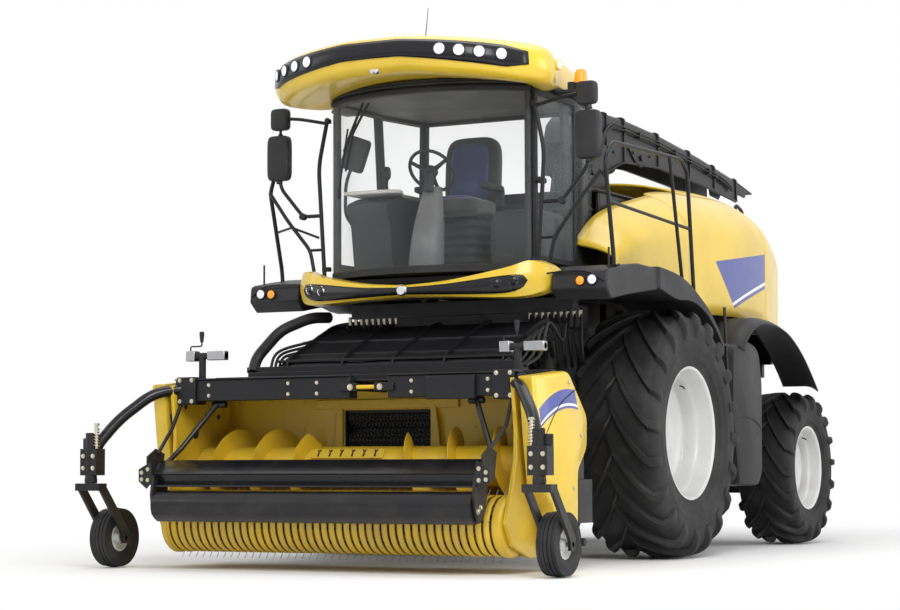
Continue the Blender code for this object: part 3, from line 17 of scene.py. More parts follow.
import bmesh
import bpy
import numpy as np
from mathutils import Matrix, Vector
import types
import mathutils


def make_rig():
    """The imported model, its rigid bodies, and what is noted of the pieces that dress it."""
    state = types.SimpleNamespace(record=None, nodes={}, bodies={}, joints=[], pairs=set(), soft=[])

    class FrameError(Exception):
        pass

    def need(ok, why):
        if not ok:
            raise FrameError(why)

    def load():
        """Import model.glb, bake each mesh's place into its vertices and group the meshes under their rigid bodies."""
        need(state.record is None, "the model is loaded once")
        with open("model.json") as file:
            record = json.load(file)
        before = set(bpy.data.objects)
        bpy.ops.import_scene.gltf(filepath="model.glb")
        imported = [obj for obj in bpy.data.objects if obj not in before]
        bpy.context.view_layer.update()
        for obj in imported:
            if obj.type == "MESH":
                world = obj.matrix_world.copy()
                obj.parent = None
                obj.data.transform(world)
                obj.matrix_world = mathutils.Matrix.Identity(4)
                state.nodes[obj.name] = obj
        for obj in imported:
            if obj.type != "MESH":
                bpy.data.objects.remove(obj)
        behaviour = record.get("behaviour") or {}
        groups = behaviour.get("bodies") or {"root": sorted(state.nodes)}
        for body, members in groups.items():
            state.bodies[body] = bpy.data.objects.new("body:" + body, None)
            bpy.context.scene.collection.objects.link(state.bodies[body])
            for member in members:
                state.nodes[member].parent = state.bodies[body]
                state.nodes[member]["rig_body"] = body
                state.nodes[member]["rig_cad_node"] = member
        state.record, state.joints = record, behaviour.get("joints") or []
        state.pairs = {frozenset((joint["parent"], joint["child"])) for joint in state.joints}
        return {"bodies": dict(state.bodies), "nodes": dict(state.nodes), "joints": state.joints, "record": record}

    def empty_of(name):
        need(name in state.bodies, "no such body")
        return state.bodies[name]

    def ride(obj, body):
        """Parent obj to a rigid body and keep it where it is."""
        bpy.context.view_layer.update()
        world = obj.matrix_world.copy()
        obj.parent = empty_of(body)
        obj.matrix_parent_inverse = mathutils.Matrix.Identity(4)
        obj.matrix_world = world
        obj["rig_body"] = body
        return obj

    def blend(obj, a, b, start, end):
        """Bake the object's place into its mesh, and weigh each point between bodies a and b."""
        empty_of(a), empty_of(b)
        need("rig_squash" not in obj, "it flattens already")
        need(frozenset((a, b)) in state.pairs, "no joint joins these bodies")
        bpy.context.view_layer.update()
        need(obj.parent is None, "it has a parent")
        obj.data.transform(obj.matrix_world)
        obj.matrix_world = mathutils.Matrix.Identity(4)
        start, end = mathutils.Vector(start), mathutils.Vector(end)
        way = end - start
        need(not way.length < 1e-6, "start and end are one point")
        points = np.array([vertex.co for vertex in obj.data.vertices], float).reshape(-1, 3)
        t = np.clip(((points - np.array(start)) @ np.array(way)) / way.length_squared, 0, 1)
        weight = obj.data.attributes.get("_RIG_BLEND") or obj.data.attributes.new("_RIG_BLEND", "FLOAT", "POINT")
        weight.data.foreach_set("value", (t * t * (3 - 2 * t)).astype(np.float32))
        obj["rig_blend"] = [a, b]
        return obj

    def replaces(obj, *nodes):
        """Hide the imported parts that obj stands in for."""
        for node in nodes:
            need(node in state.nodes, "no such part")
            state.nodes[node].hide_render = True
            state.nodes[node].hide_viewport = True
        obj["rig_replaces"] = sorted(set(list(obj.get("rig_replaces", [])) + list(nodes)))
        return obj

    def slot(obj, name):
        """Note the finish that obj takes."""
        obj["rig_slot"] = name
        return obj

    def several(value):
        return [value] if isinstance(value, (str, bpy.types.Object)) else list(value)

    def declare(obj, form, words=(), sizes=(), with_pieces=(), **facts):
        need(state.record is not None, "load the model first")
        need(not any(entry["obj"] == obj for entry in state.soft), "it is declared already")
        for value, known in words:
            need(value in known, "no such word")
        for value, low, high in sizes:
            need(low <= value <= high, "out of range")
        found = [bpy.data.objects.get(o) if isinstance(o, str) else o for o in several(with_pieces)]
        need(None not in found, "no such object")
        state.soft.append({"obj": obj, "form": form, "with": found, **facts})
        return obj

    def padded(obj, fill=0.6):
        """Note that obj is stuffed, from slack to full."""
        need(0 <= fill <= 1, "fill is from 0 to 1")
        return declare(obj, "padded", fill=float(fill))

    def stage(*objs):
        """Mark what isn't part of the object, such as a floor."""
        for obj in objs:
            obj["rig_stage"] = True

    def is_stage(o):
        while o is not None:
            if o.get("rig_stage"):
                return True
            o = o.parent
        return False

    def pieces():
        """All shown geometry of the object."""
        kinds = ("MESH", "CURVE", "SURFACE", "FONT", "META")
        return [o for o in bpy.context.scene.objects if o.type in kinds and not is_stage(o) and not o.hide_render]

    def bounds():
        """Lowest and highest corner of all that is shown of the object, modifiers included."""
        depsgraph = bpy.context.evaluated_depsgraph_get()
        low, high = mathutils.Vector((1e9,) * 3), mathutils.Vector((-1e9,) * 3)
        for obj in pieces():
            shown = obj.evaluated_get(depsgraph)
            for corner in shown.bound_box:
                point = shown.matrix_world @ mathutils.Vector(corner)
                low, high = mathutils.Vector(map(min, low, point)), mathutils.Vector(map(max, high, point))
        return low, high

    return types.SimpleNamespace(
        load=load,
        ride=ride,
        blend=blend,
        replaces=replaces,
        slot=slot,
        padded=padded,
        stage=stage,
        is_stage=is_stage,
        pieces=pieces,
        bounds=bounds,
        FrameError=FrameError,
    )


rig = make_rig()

LOG = logging.getLogger("harvester")
SHIFT_Y = -1.085
SIDES = (("left", 1), ("right", -1))

Array = np.ndarray
Point = tuple[float, float, float]
Outline = Sequence[tuple[float, float]]


# Shader maths

class Wire:
    """A shader output that takes part in Python expressions."""

    def __init__(self, tree: bpy.types.NodeTree, out: bpy.types.NodeSocket) -> None:
        """Keep the tree and the output.

        Args:
            tree: the material's node tree.
            out: the output that this wire carries.
        """
        self.tree = tree
        self.out = out

    def math(self, operation: str, *values: "Wire | float") -> "Wire":
        """Add one Math node.

        Args:
            operation: the node's operation.
            values: its inputs in order, wires or numbers.

        Returns:
            The node's output.
        """
        node = self.tree.nodes.new("ShaderNodeMath")
        node.operation = operation
        for socket, value in zip(node.inputs, values):
            if isinstance(value, Wire):
                self.tree.links.new(value.out, socket)
            else:
                socket.default_value = value
        return Wire(self.tree, node.outputs[0])

    def __add__(self, other: "Wire | float") -> "Wire":
        """Return self + other."""
        return self.math("ADD", self, other)

    __radd__ = __add__

    def __sub__(self, other: "Wire | float") -> "Wire":
        """Return self - other."""
        return self.math("SUBTRACT", self, other)

    def __rsub__(self, other: float) -> "Wire":
        """Return other - self."""
        return self.math("SUBTRACT", other, self)

    def __mul__(self, other: "Wire | float") -> "Wire":
        """Return self * other."""
        return self.math("MULTIPLY", self, other)

    __rmul__ = __mul__

    def __gt__(self, other: "Wire | float") -> "Wire":
        """Return 1 where self is over other."""
        return self.math("GREATER_THAN", self, other)

    def __lt__(self, other: "Wire | float") -> "Wire":
        """Return 1 where self is under other."""
        return self.math("LESS_THAN", self, other)

    def step(self, low: float, high: float) -> "Wire":
        """Return a smooth step from 0 at low to 1 at high."""
        node = self.tree.nodes.new("ShaderNodeMapRange")
        node.interpolation_type = "SMOOTHSTEP"
        node.inputs["From Min"].default_value = low
        node.inputs["From Max"].default_value = high
        self.tree.links.new(self.out, node.inputs["Value"])
        return Wire(self.tree, node.outputs["Result"])


Colour = tuple[float, float, float]


class Coat:
    """One Principled material that is put together from wires."""

    def __init__(self, name: str, colour: Colour, roughness: float, metallic: float = 0.0) -> None:
        """Start the material with plain values.

        Args:
            name: the material's name.
            colour: its linear base colour.
            roughness: its roughness.
            metallic: 1 for bare metal.
        """
        self.made = bpy.data.materials.new(name)
        self.made.use_nodes = True
        self.tree = self.made.node_tree
        self.shader = self.tree.nodes["Principled BSDF"]
        self.fix("Base Color", (*colour, 1.0))
        self.fix("Roughness", roughness)
        self.fix("Metallic", metallic)

    def fix(self, socket: str, value: float | Sequence[float]) -> None:
        """Set a value that is the same all over the surface."""
        self.shader.inputs[socket].default_value = value

    def feed(self, socket: str, wire: Wire) -> None:
        """Lead a wire into one of the shader's sockets."""
        self.tree.links.new(wire.out, self.shader.inputs[socket])

    def node(self, kind: str, settings: dict, sockets: dict, output: str | int = 0) -> Wire:
        """Add any node.

        Args:
            kind: the node's type.
            settings: its own properties, set first.
            sockets: its inputs by name or number, as values or wires.
            output: which output to return.

        Returns:
            The chosen output.
        """
        made = self.tree.nodes.new(kind)
        for key, value in settings.items():
            setattr(made, key, value)
        for key, value in sockets.items():
            if isinstance(value, Wire):
                self.tree.links.new(value.out, made.inputs[key])
            else:
                made.inputs[key].default_value = value
        return Wire(self.tree, made.outputs[output])

    def place(self) -> Wire:
        """Return the Object coordinates."""
        return self.node("ShaderNodeTexCoord", {}, {}, "Object")

    def axes(self) -> list[Wire]:
        """Return x, y and z, with y measured from the front axle."""
        split = self.tree.nodes.new("ShaderNodeSeparateXYZ")
        self.tree.links.new(self.place().out, split.inputs[0])
        x, y, z = (Wire(self.tree, out) for out in split.outputs)
        return [x, y - SHIFT_Y, z]

    def noise(self, scale: float, detail: float = 3.0, stretch: Point = (1.0, 1.0, 1.0)) -> Wire:
        """Return a noise from 0 to 1.

        Args:
            scale: how many features there are to the metre.
            detail: the number of octaves.
            stretch: how much finer it runs along each axis.

        Returns:
            The noise's height.
        """
        where = self.node("ShaderNodeMapping", {}, {"Vector": self.place(), "Scale": stretch})
        return self.node("ShaderNodeTexNoise", {}, {"Vector": where, "Scale": scale, "Detail": detail})

    def mix(self, low: Wire | Colour, high: Wire | Colour, factor: Wire | float) -> Wire:
        """Return a colour between two colours.

        Args:
            low: the colour where factor is 0.
            high: the colour where factor is 1.
            factor: the share of the second.

        Returns:
            The mixed colour.
        """
        tones = [tone if isinstance(tone, Wire) else (*tone, 1.0) for tone in (low, high)]
        return self.node("ShaderNodeMix", {"data_type": "RGBA"}, {0: factor, 6: tones[0], 7: tones[1]}, 2)

    def bump(self, height: Wire, distance: float, strength: float = 1.0) -> None:
        """Lead a height in metres times distance into the surface's normal."""
        self.feed("Normal", self.node("ShaderNodeBump", {}, {"Height": height, "Distance": distance,
            "Strength": strength}))


# Finishes

@dataclass(frozen=True)
class Paint:
    """Sprayed paint with orange peel, faint cloudiness, and dust towards the ground."""

    colour: Colour
    roughness: float = 0.35
    gloss: float = 0.3
    peel: float = 0.0004
    dust: float = 0.12
    dust_colour: Colour = (0.3, 0.27, 0.22)
    decal: str = ""
    shine: float = 0.5

    def make(self, name: str) -> bpy.types.Material:
        """Return the paint as a material."""
        coat = Coat(name, self.colour, self.roughness)
        coat.fix("Specular IOR Level", self.shine)
        coat.fix("Coat Weight", self.gloss)
        coat.fix("Coat Roughness", 0.08)
        _, y, z = coat.axes()
        cloud = coat.noise(1.7, 4.0)
        tone = coat.mix(self.colour, tuple(c * 0.86 for c in self.colour), cloud.step(0.35, 0.75))
        if self.decal:
            tone = self.stripes(coat, tone, y, z)
        settled = (1.0 - z.step(0.1, 1.5)) * coat.noise(5.0, 6.0).step(0.35, 0.8) * self.dust
        tone = coat.mix(tone, self.dust_colour, settled)
        coat.feed("Base Color", tone)
        coat.feed("Roughness", coat.noise(9.0, 5.0) * 0.12 + (self.roughness - 0.06) + settled * 0.5)
        coat.bump(coat.noise(170.0, 1.0), self.peel)
        return coat.made

    def stripes(self, coat: Coat, tone: Wire, y: Wire, z: Wire) -> Wire:
        """Add the blue swoosh: a band between two arcs, a white line, and a thin blue line under it.

        Args:
            coat: the material in the making.
            tone: the paint's own colour.
            y: distance behind the front axle.
            z: height.

        Returns:
            The colour with the swoosh on it.
        """
        if self.decal == "hood":
            t = y - 1.6
            top = 2.56 + t * 0.125
            low = 2.235 + (t - 0.5) * 0.31 - (t - 0.5) * (t - 0.5) * 0.055
            cut = (t - (2.56 - z) * 1.25).step(0.0, 0.006)
            end = 1.0 - (y - 3.03).step(0.0, 0.004)
            band, line, thin = 0.0, 0.028, 0.062
        else:
            t = y + 2.86
            top = 1.155 + t * 0.62 - t * t * 0.62
            low = top - 0.115 + t * 0.03
            cut = (t - (1.16 - z) * 0.3).step(0.0, 0.004)
            end = 1.0 - (y + 2.215 + (z - 1.2) * 0.4).step(0.0, 0.004)
            band, line, thin = 0.0, 0.016, 0.034
        below = low - z
        inside = (1.0 - (z - top).step(0.0, 0.004)) * cut * end
        white = inside * (1.0 - (below - line).step(0.0, 0.004)) * (below - band).step(-0.004, 0.0)
        body = inside * (1.0 - (below - band).step(-0.002, 0.002))
        under = inside * (below - line).step(0.0, 0.004) * (1.0 - (below - thin).step(0.0, 0.004))
        tone = coat.mix(tone, SWOOSH_WHITE, white)
        return coat.mix(tone, SWOOSH_BLUE, body + under)


@dataclass(frozen=True)
class Plastic:
    """Moulded plastic with a fine grain and a little wear."""

    colour: Colour
    roughness: float = 0.55
    grain: float = 0.0003
    scale: float = 420.0

    def make(self, name: str) -> bpy.types.Material:
        """Return the plastic as a material."""
        coat = Coat(name, self.colour, self.roughness)
        coat.fix("Specular IOR Level", 0.25)
        lighter = tuple(min(1.0, c * 1.5 + 0.004) for c in self.colour)
        coat.feed("Base Color", coat.mix(self.colour, lighter, coat.noise(3.0, 5.0).step(0.4, 0.8)))
        coat.feed("Roughness", coat.noise(14.0, 4.0) * 0.14 + (self.roughness - 0.07))
        coat.bump(coat.noise(self.scale, 2.0), self.grain)
        return coat.made


@dataclass(frozen=True)
class Rubber:
    """Tyre or hose rubber: matt, a little dusty, with a fine grain."""

    colour: Colour = (0.011, 0.011, 0.012)
    roughness: float = 0.6
    dust: float = 0.32

    def make(self, name: str) -> bpy.types.Material:
        """Return the rubber as a material."""
        coat = Coat(name, self.colour, self.roughness)
        coat.fix("Specular IOR Level", 0.28)
        worn = coat.noise(4.0, 6.0).step(0.42, 0.72) * self.dust
        coat.feed("Base Color", coat.mix(self.colour, WORN_RUBBER, worn))
        coat.feed("Roughness", coat.noise(20.0, 4.0) * 0.18 + (self.roughness - 0.09))
        coat.bump(coat.noise(220.0, 3.0), 0.0008)
        return coat.made


@dataclass(frozen=True)
class Metal:
    """Bare, plated or cast metal."""

    colour: Colour
    roughness: float
    grain: float = 0.0002
    scale: float = 260.0
    metallic: float = 1.0
    stain: float = 0.25

    def make(self, name: str) -> bpy.types.Material:
        """Return the metal as a material."""
        coat = Coat(name, self.colour, self.roughness, self.metallic)
        darker = tuple(c * 0.45 for c in self.colour)
        patches = coat.noise(8.0, 6.0).step(0.45, 0.8) * self.stain
        coat.feed("Base Color", coat.mix(self.colour, darker, patches))
        coat.feed("Roughness", patches * 0.5 + self.roughness)
        coat.bump(coat.noise(self.scale, 3.0), self.grain)
        return coat.made


@dataclass(frozen=True)
class Cloth:
    """Woven seat cloth: two crossed waves of threads, and a soft sheen."""

    colour: Colour
    pitch: float = 0.0022

    def make(self, name: str) -> bpy.types.Material:
        """Return the cloth as a material."""
        coat = Coat(name, self.colour, 0.85)
        coat.fix("Sheen Weight", 0.35)
        coat.fix("Sheen Roughness", 0.5)
        turns = 2.0 * math.pi / self.pitch
        x, y, z = coat.axes()
        warp = x.math("SINE", x * turns)
        weft = x.math("SINE", (y + z) * turns)
        weave = warp * weft * 0.5 + 0.5
        tone = coat.mix(tuple(c * 0.6 for c in self.colour), self.colour, weave)
        coat.feed("Base Color", coat.mix(tone, tuple(c * 1.4 for c in self.colour),
            coat.noise(6.0).step(0.4, 0.8)))
        coat.bump(weave, 0.0006)
        return coat.made


@dataclass(frozen=True)
class Pane:
    """Thin clear glass or a lamp lens: mostly see-through, more solid at a grazing angle."""

    colour: Colour = (0.55, 0.6, 0.62)
    clear: float = 0.025
    graze: float = 0.22
    roughness: float = 0.03

    def make(self, name: str) -> bpy.types.Material:
        """Return the glass as a material."""
        coat = Coat(name, self.colour, self.roughness)
        coat.fix("Specular IOR Level", 0.35)
        rim = coat.node("ShaderNodeLayerWeight", {}, {"Blend": 0.35}, "Facing")
        smear = coat.noise(2.5, 5.0).step(0.4, 0.9) * 0.02
        coat.feed("Alpha", rim * rim * self.graze + smear + self.clear)
        coat.bump(coat.noise(1.5, 1.0), 0.002, 0.2)
        return coat.made


@dataclass(frozen=True)
class Glow:
    """A coloured lamp body, slightly lit from inside."""

    colour: Colour
    light: float = 0.4

    def make(self, name: str) -> bpy.types.Material:
        """Return the lamp body as a material."""
        coat = Coat(name, self.colour, 0.12)
        coat.fix("Emission Strength", self.light)
        ridges = coat.noise(60.0, 1.0, (1.0, 1.0, 4.0))
        coat.feed("Emission Color", coat.mix(tuple(c * 0.5 for c in self.colour), self.colour, ridges))
        coat.bump(ridges, 0.002)
        return coat.made


SWOOSH_BLUE = (0.035, 0.055, 0.3)
SWOOSH_WHITE = (0.85, 0.86, 0.88)
WORN_RUBBER = (0.062, 0.06, 0.057)
YELLOW_TONE = (0.8, 0.55, 0.035)
BLACK_TONE = (0.014, 0.014, 0.016)


class Finish(Enum):
    """The named finishes of the machine."""

    YELLOW = Paint(YELLOW_TONE, 0.34, 0.35)
    YELLOW_WORK = Paint((0.76, 0.5, 0.022), 0.4, 0.15, dust=0.3)
    YELLOW_HOOD = Paint(YELLOW_TONE, 0.34, 0.35, decal="hood")
    YELLOW_SIDE = Paint(YELLOW_TONE, 0.34, 0.35, decal="side")
    BLACK = Paint(BLACK_TONE, 0.38, 0.06, dust=0.12, shine=0.22)
    BLACK_GLOSS = Paint((0.008, 0.008, 0.01), 0.22, 0.12, dust=0.05, shine=0.3)
    WHITE = Paint((0.66, 0.66, 0.655), 0.32, 0.2, dust=0.25)
    FENDER = Plastic((0.022, 0.022, 0.024), 0.46)
    GREY = Plastic((0.032, 0.032, 0.034), 0.6)
    MID_GREY = Plastic((0.12, 0.12, 0.124), 0.55)
    LIGHT_GREY = Plastic((0.52, 0.51, 0.48), 0.5)
    DARK_TRIM = Plastic((0.02, 0.02, 0.022), 0.62)
    RUBBER = Rubber()
    HOSE = Rubber((0.012, 0.012, 0.013), 0.48, 0.2)
    IRON = Metal((0.05, 0.05, 0.052), 0.55, 0.001, 120.0, 0.5)
    STEEL = Metal((0.42, 0.42, 0.43), 0.32)
    CHROME = Metal((0.72, 0.72, 0.74), 0.1, 0.00005, 60.0, 1.0, 0.05)
    ZINC = Metal((0.62, 0.58, 0.47), 0.3)
    BLUE_CLOTH = Cloth((0.03, 0.045, 0.155))
    DARK_CLOTH = Cloth((0.035, 0.034, 0.033))
    GLASS = Pane()
    LENS = Glow((0.8, 0.82, 0.85), 0.3)
    AMBER = Glow((0.85, 0.3, 0.02), 0.5)
    RED = Glow((0.45, 0.01, 0.01), 0.3)


@lru_cache(maxsize=None)
def finish_material(finish: Finish) -> bpy.types.Material:
    """Return a finish's material, made once."""
    return finish.value.make(finish.name.lower())


SLOTS = {Finish.YELLOW: "yellow_paint", Finish.YELLOW_WORK: "yellow_paint", Finish.YELLOW_HOOD: "yellow_paint",
    Finish.YELLOW_SIDE: "yellow_paint", Finish.BLACK: "black_paint", Finish.BLACK_GLOSS: "black_paint",
    Finish.WHITE: "white_paint", Finish.FENDER: "black_paint", Finish.GREY: "grey_plastic",
    Finish.LIGHT_GREY: "grey_plastic", Finish.MID_GREY: "grey_plastic", Finish.DARK_TRIM: "grey_plastic",
    Finish.RUBBER: "rubber", Finish.HOSE: "rubber", Finish.IRON: "cast_iron", Finish.STEEL: "steel",
    Finish.CHROME: "chrome", Finish.ZINC: "steel", Finish.BLUE_CLOTH: "blue_fabric",
    Finish.DARK_CLOTH: "blue_fabric", Finish.GLASS: "glass", Finish.LENS: "glass",}


# Surfaces

@dataclass
class Form:
    """A mesh in the making: points in metres and faces of any number of corners."""

    points: Array
    faces: list[tuple[int, ...]]

    def __add__(self, other: "Form") -> "Form":
        """Return both forms as one."""
        start = len(self.points)
        moved = [tuple(i + start for i in face) for face in other.faces]
        return Form(np.vstack([self.points, other.points]), self.faces + moved)

    def mirrored(self) -> "Form":
        """Return the form on the machine's other side."""
        return Form(self.points * (-1.0, 1.0, 1.0), [face[::-1] for face in self.faces])

    def sided(self, side: int) -> "Form":
        """Return the form for the left (+1) or the right (-1) side."""
        return self if side > 0 else self.mirrored()

    def both(self) -> "Form":
        """Return the form on both sides."""
        return self + self.mirrored()

    def moved(self, x: float = 0.0, y: float = 0.0, z: float = 0.0) -> "Form":
        """Return the form, shifted."""
        return Form(self.points + (x, y, z), list(self.faces))

    def spun(self, centre: Point, axis: str, angle: float) -> "Form":
        """Return the form, turned about an axis through centre by an angle in radians."""
        turn = np.array(Matrix.Rotation(angle, 3, axis))
        return Form((self.points - centre) @ turn.T + centre, list(self.faces))


def joined(forms: Iterable[Form]) -> Form:
    """Return many forms as one."""
    forms = list(forms)
    starts = np.cumsum([0] + [len(form.points) for form in forms])
    faces = [tuple(i + start for i in face) for form, start in zip(forms, starts.tolist())
        for face in form.faces]
    return Form(np.vstack([form.points for form in forms]), faces)


def spread(x: Array, y: Array, z: Array) -> Array:
    """Return points from arrays of x, y and z that are stretched to one shape."""
    return np.stack(np.broadcast_arrays(x, y, z), -1)


def unit(rows: Array) -> Array:
    """Return each row over its own length."""
    return rows / np.linalg.norm(rows, axis=-1, keepdims=True)


def circle(count: int) -> Array:
    """Return angles that stand evenly round a circle."""
    return np.linspace(0.0, 2.0 * math.pi, count, endpoint=False)


def squared(angle: Array, power: float) -> tuple[Array, Array]:
    """Return cosine and sine with their sizes raised to a power below one, which squares a circle."""
    return tuple(np.sign(wave) * np.abs(wave)**power for wave in (np.cos(angle), np.sin(angle)))


def grid(points: Array, wrap_u: bool = False, wrap_v: bool = False, caps: bool = False,
        keep: Callable[[Array], Array] | None = None) -> Form:
    """Join a grid of points, rows by columns, with four-cornered faces.

    Args:
        points: rows x columns x 3.
        wrap_u: the last row joins the first.
        wrap_v: the last column joins the first.
        caps: the first and last rows are closed with one face each.
        keep: takes the middles of the faces and tells which stay.

    Returns:
        The surface.
    """
    rows, columns = points.shape[:2]
    index = np.arange(rows * columns).reshape(rows, columns)
    if wrap_u:
        index = np.vstack([index, index[:1]])
    if wrap_v:
        index = np.hstack([index, index[:, :1]])
    quads = np.stack([index[:-1, :-1], index[:-1, 1:], index[1:, 1:], index[1:, :-1]], -1).reshape(-1, 4)
    flat = points.reshape(-1, 3)
    if keep is not None:
        quads = quads[keep(flat[quads].mean(1))]
    faces = [tuple(quad) for quad in quads.tolist()]
    if caps:
        faces.append(tuple(range(columns)))
        faces.append(tuple(range((rows - 1) * columns, rows * columns))[::-1])
    return Form(flat.astype(float), faces)


def curve(points: Sequence[Sequence[float]], steps: int = 8) -> Array:
    """Return a smooth line through points: cubics whose slopes are half the step between neighbours."""
    p = np.asarray(points, float)
    if len(p) < 3:
        return p
    slope = np.gradient(p, axis=0)
    t = np.linspace(0.0, 1.0, steps, endpoint=False)[None, :, None]
    a, b, m, n = p[:-1, None], p[1:, None], slope[:-1, None], slope[1:, None]
    run = ((2 * t**3 - 3 * t**2 + 1) * a + (t**3 - 2 * t**2 + t) * m + (3 * t**2 - 2 * t**3) * b
        + (t**3 - t**2) * n)
    return np.vstack([run.reshape(-1, p.shape[1]), p[-1:]])


def filleted(points: Sequence[Point], radius: float, steps: int = 5) -> Array:
    """Round a chain's bends: a corner becomes a parabola between points a radius before and after it."""
    p = np.asarray(points, float)
    out = [p[:1]]
    t = np.linspace(0.0, 1.0, steps)[:, None]
    for before, corner, after in zip(p, p[1:], p[2:]):
        reach = min(radius, 0.45 * np.linalg.norm(corner - before), 0.45 * np.linalg.norm(after - corner))
        a = corner + (before - corner) / np.linalg.norm(before - corner) * reach
        b = corner + (after - corner) / np.linalg.norm(after - corner) * reach
        out.append((1 - t)**2 * a + 2 * t * (1 - t) * corner + t**2 * b)
    return np.vstack(out + [p[-1:]])


def sweep(path: Array, radius: float | Array, sides: int = 10) -> Form:
    """Carry a circle along a path: point = path + radius * (cos a * side + sin a * up), up square to side and path.

    Args:
        path: stations x 3.
        radius: one radius, or one for each station.
        sides: corners of the circle.

    Returns:
        A closed bar.
    """
    path = np.asarray(path, float)
    along = unit(np.gradient(path, axis=0))
    lean = np.linalg.svd(path - path.mean(0))[2][2]
    side = unit(np.cross(along, lean))
    up = np.cross(side, along)
    turn = circle(sides)[None, :, None]
    reach = np.broadcast_to(np.asarray(radius, float).reshape(-1, 1, 1), (len(path), 1, 1))
    ring = path[:, None] + reach * (np.cos(turn) * side[:, None] + np.sin(turn) * up[:, None])
    return grid(ring, wrap_v=True, caps=True)


def ribbon(path: Array, width: Array, thick: float, flat: Sequence[float]) -> Form:
    """Carry a flat bar along a path: its wide side lies along the path's cross product with flat."""
    path = np.asarray(path, float)
    along = unit(np.gradient(path, axis=0))
    side = unit(np.cross(along, np.asarray(flat, float)))
    up = np.cross(side, along)
    half = np.asarray(width, float).reshape(-1, 1) / 2 * np.ones((len(path), 1))
    ring = np.stack([path - half * side - up * thick / 2, path + half * side - up * thick / 2,
        path + half * side + up * thick / 2, path - half * side + up * thick / 2], 1)
    return grid(ring, wrap_v=True, caps=True)


AXES = {"X": (0, 1, 2), "Y": (1, 0, 2), "Z": (2, 0, 1)}


def lathe(centre: Point, axis: str, profile: Outline, segments: int = 32, closed: bool = False) -> Form:
    """Turn a profile: at each angle a point lies along the axis and radius * (sin a, cos a) across it."""
    rows = np.asarray(profile, float)
    turn = circle(segments)
    along, first, second = AXES[axis]
    ring = np.zeros((len(rows), segments, 3))
    ring[..., along] = rows[:, :1]
    ring[..., first] = rows[:, 1:] * np.sin(turn)
    ring[..., second] = rows[:, 1:] * np.cos(turn)
    return grid(ring + np.asarray(centre, float), wrap_u=closed, wrap_v=True)


def drum(centre: Point, axis: str, low: float, high: float, radius: float, segments: int = 20,
        edge: float = 0.12) -> Form:
    """Turn a short round bar with softened rims; edge is the rim's share of the radius."""
    e = min(radius * edge, abs(high - low) / 3)
    sign = math.copysign(1.0, high - low)
    return lathe(centre, axis, [(low, 0.0), (low, radius - e), (low + sign * e, radius),
        (high - sign * e, radius), (high, radius - e), (high, 0.0)], segments)


def plate(axis: str, low: float, high: float, outline: Outline) -> Form:
    """Give an outline thickness along X (outline in Y, Z), Y (X, Z) or Z (X, Y)."""
    line = np.asarray(outline, float)
    along, first, second = AXES[axis]
    rows = np.zeros((2, len(line), 3))
    rows[..., along] = np.array([[low], [high]])
    rows[..., first] = line[:, 0]
    rows[..., second] = line[:, 1]
    return grid(rows, wrap_v=True, caps=True)


def brick(x: Outline | tuple, y: tuple, z: tuple) -> Form:
    """Return a block from (low, high) pairs, which place() then bevels."""
    return plate("Z", z[0], z[1], [(x[0], y[0]), (x[1], y[0]), (x[1], y[1]), (x[0], y[1])])


def bolts(places: Iterable[Point], axis: str, height: float, radius: float) -> Form:
    """Return hexagon bolt heads with a washer each, standing out along the axis."""
    heads = []
    for place in places:
        heads.append(lathe(place, axis, [(0.0, radius * 1.35), (height * 0.2, radius * 1.35),
            (height * 0.2, 0.0)], 10))
        heads.append(lathe(place, axis, [(0.0, radius), (height * 0.9, radius), (height, radius * 0.85),
            (height, 0.0)], 6))
    return joined(heads)


def between(table: Sequence[Sequence[float]], at: Array) -> Array:
    """Read a table of (place, value, ...) rows smoothly at many places, through the same cubic as curve()."""
    rows = curve(table, 12)
    return np.stack([np.interp(at, rows[:, 0], rows[:, k]) for k in range(1, rows.shape[1])], -1)


MERGE_DISTANCE = 1e-5
BEVEL_ANGLE = 38.0


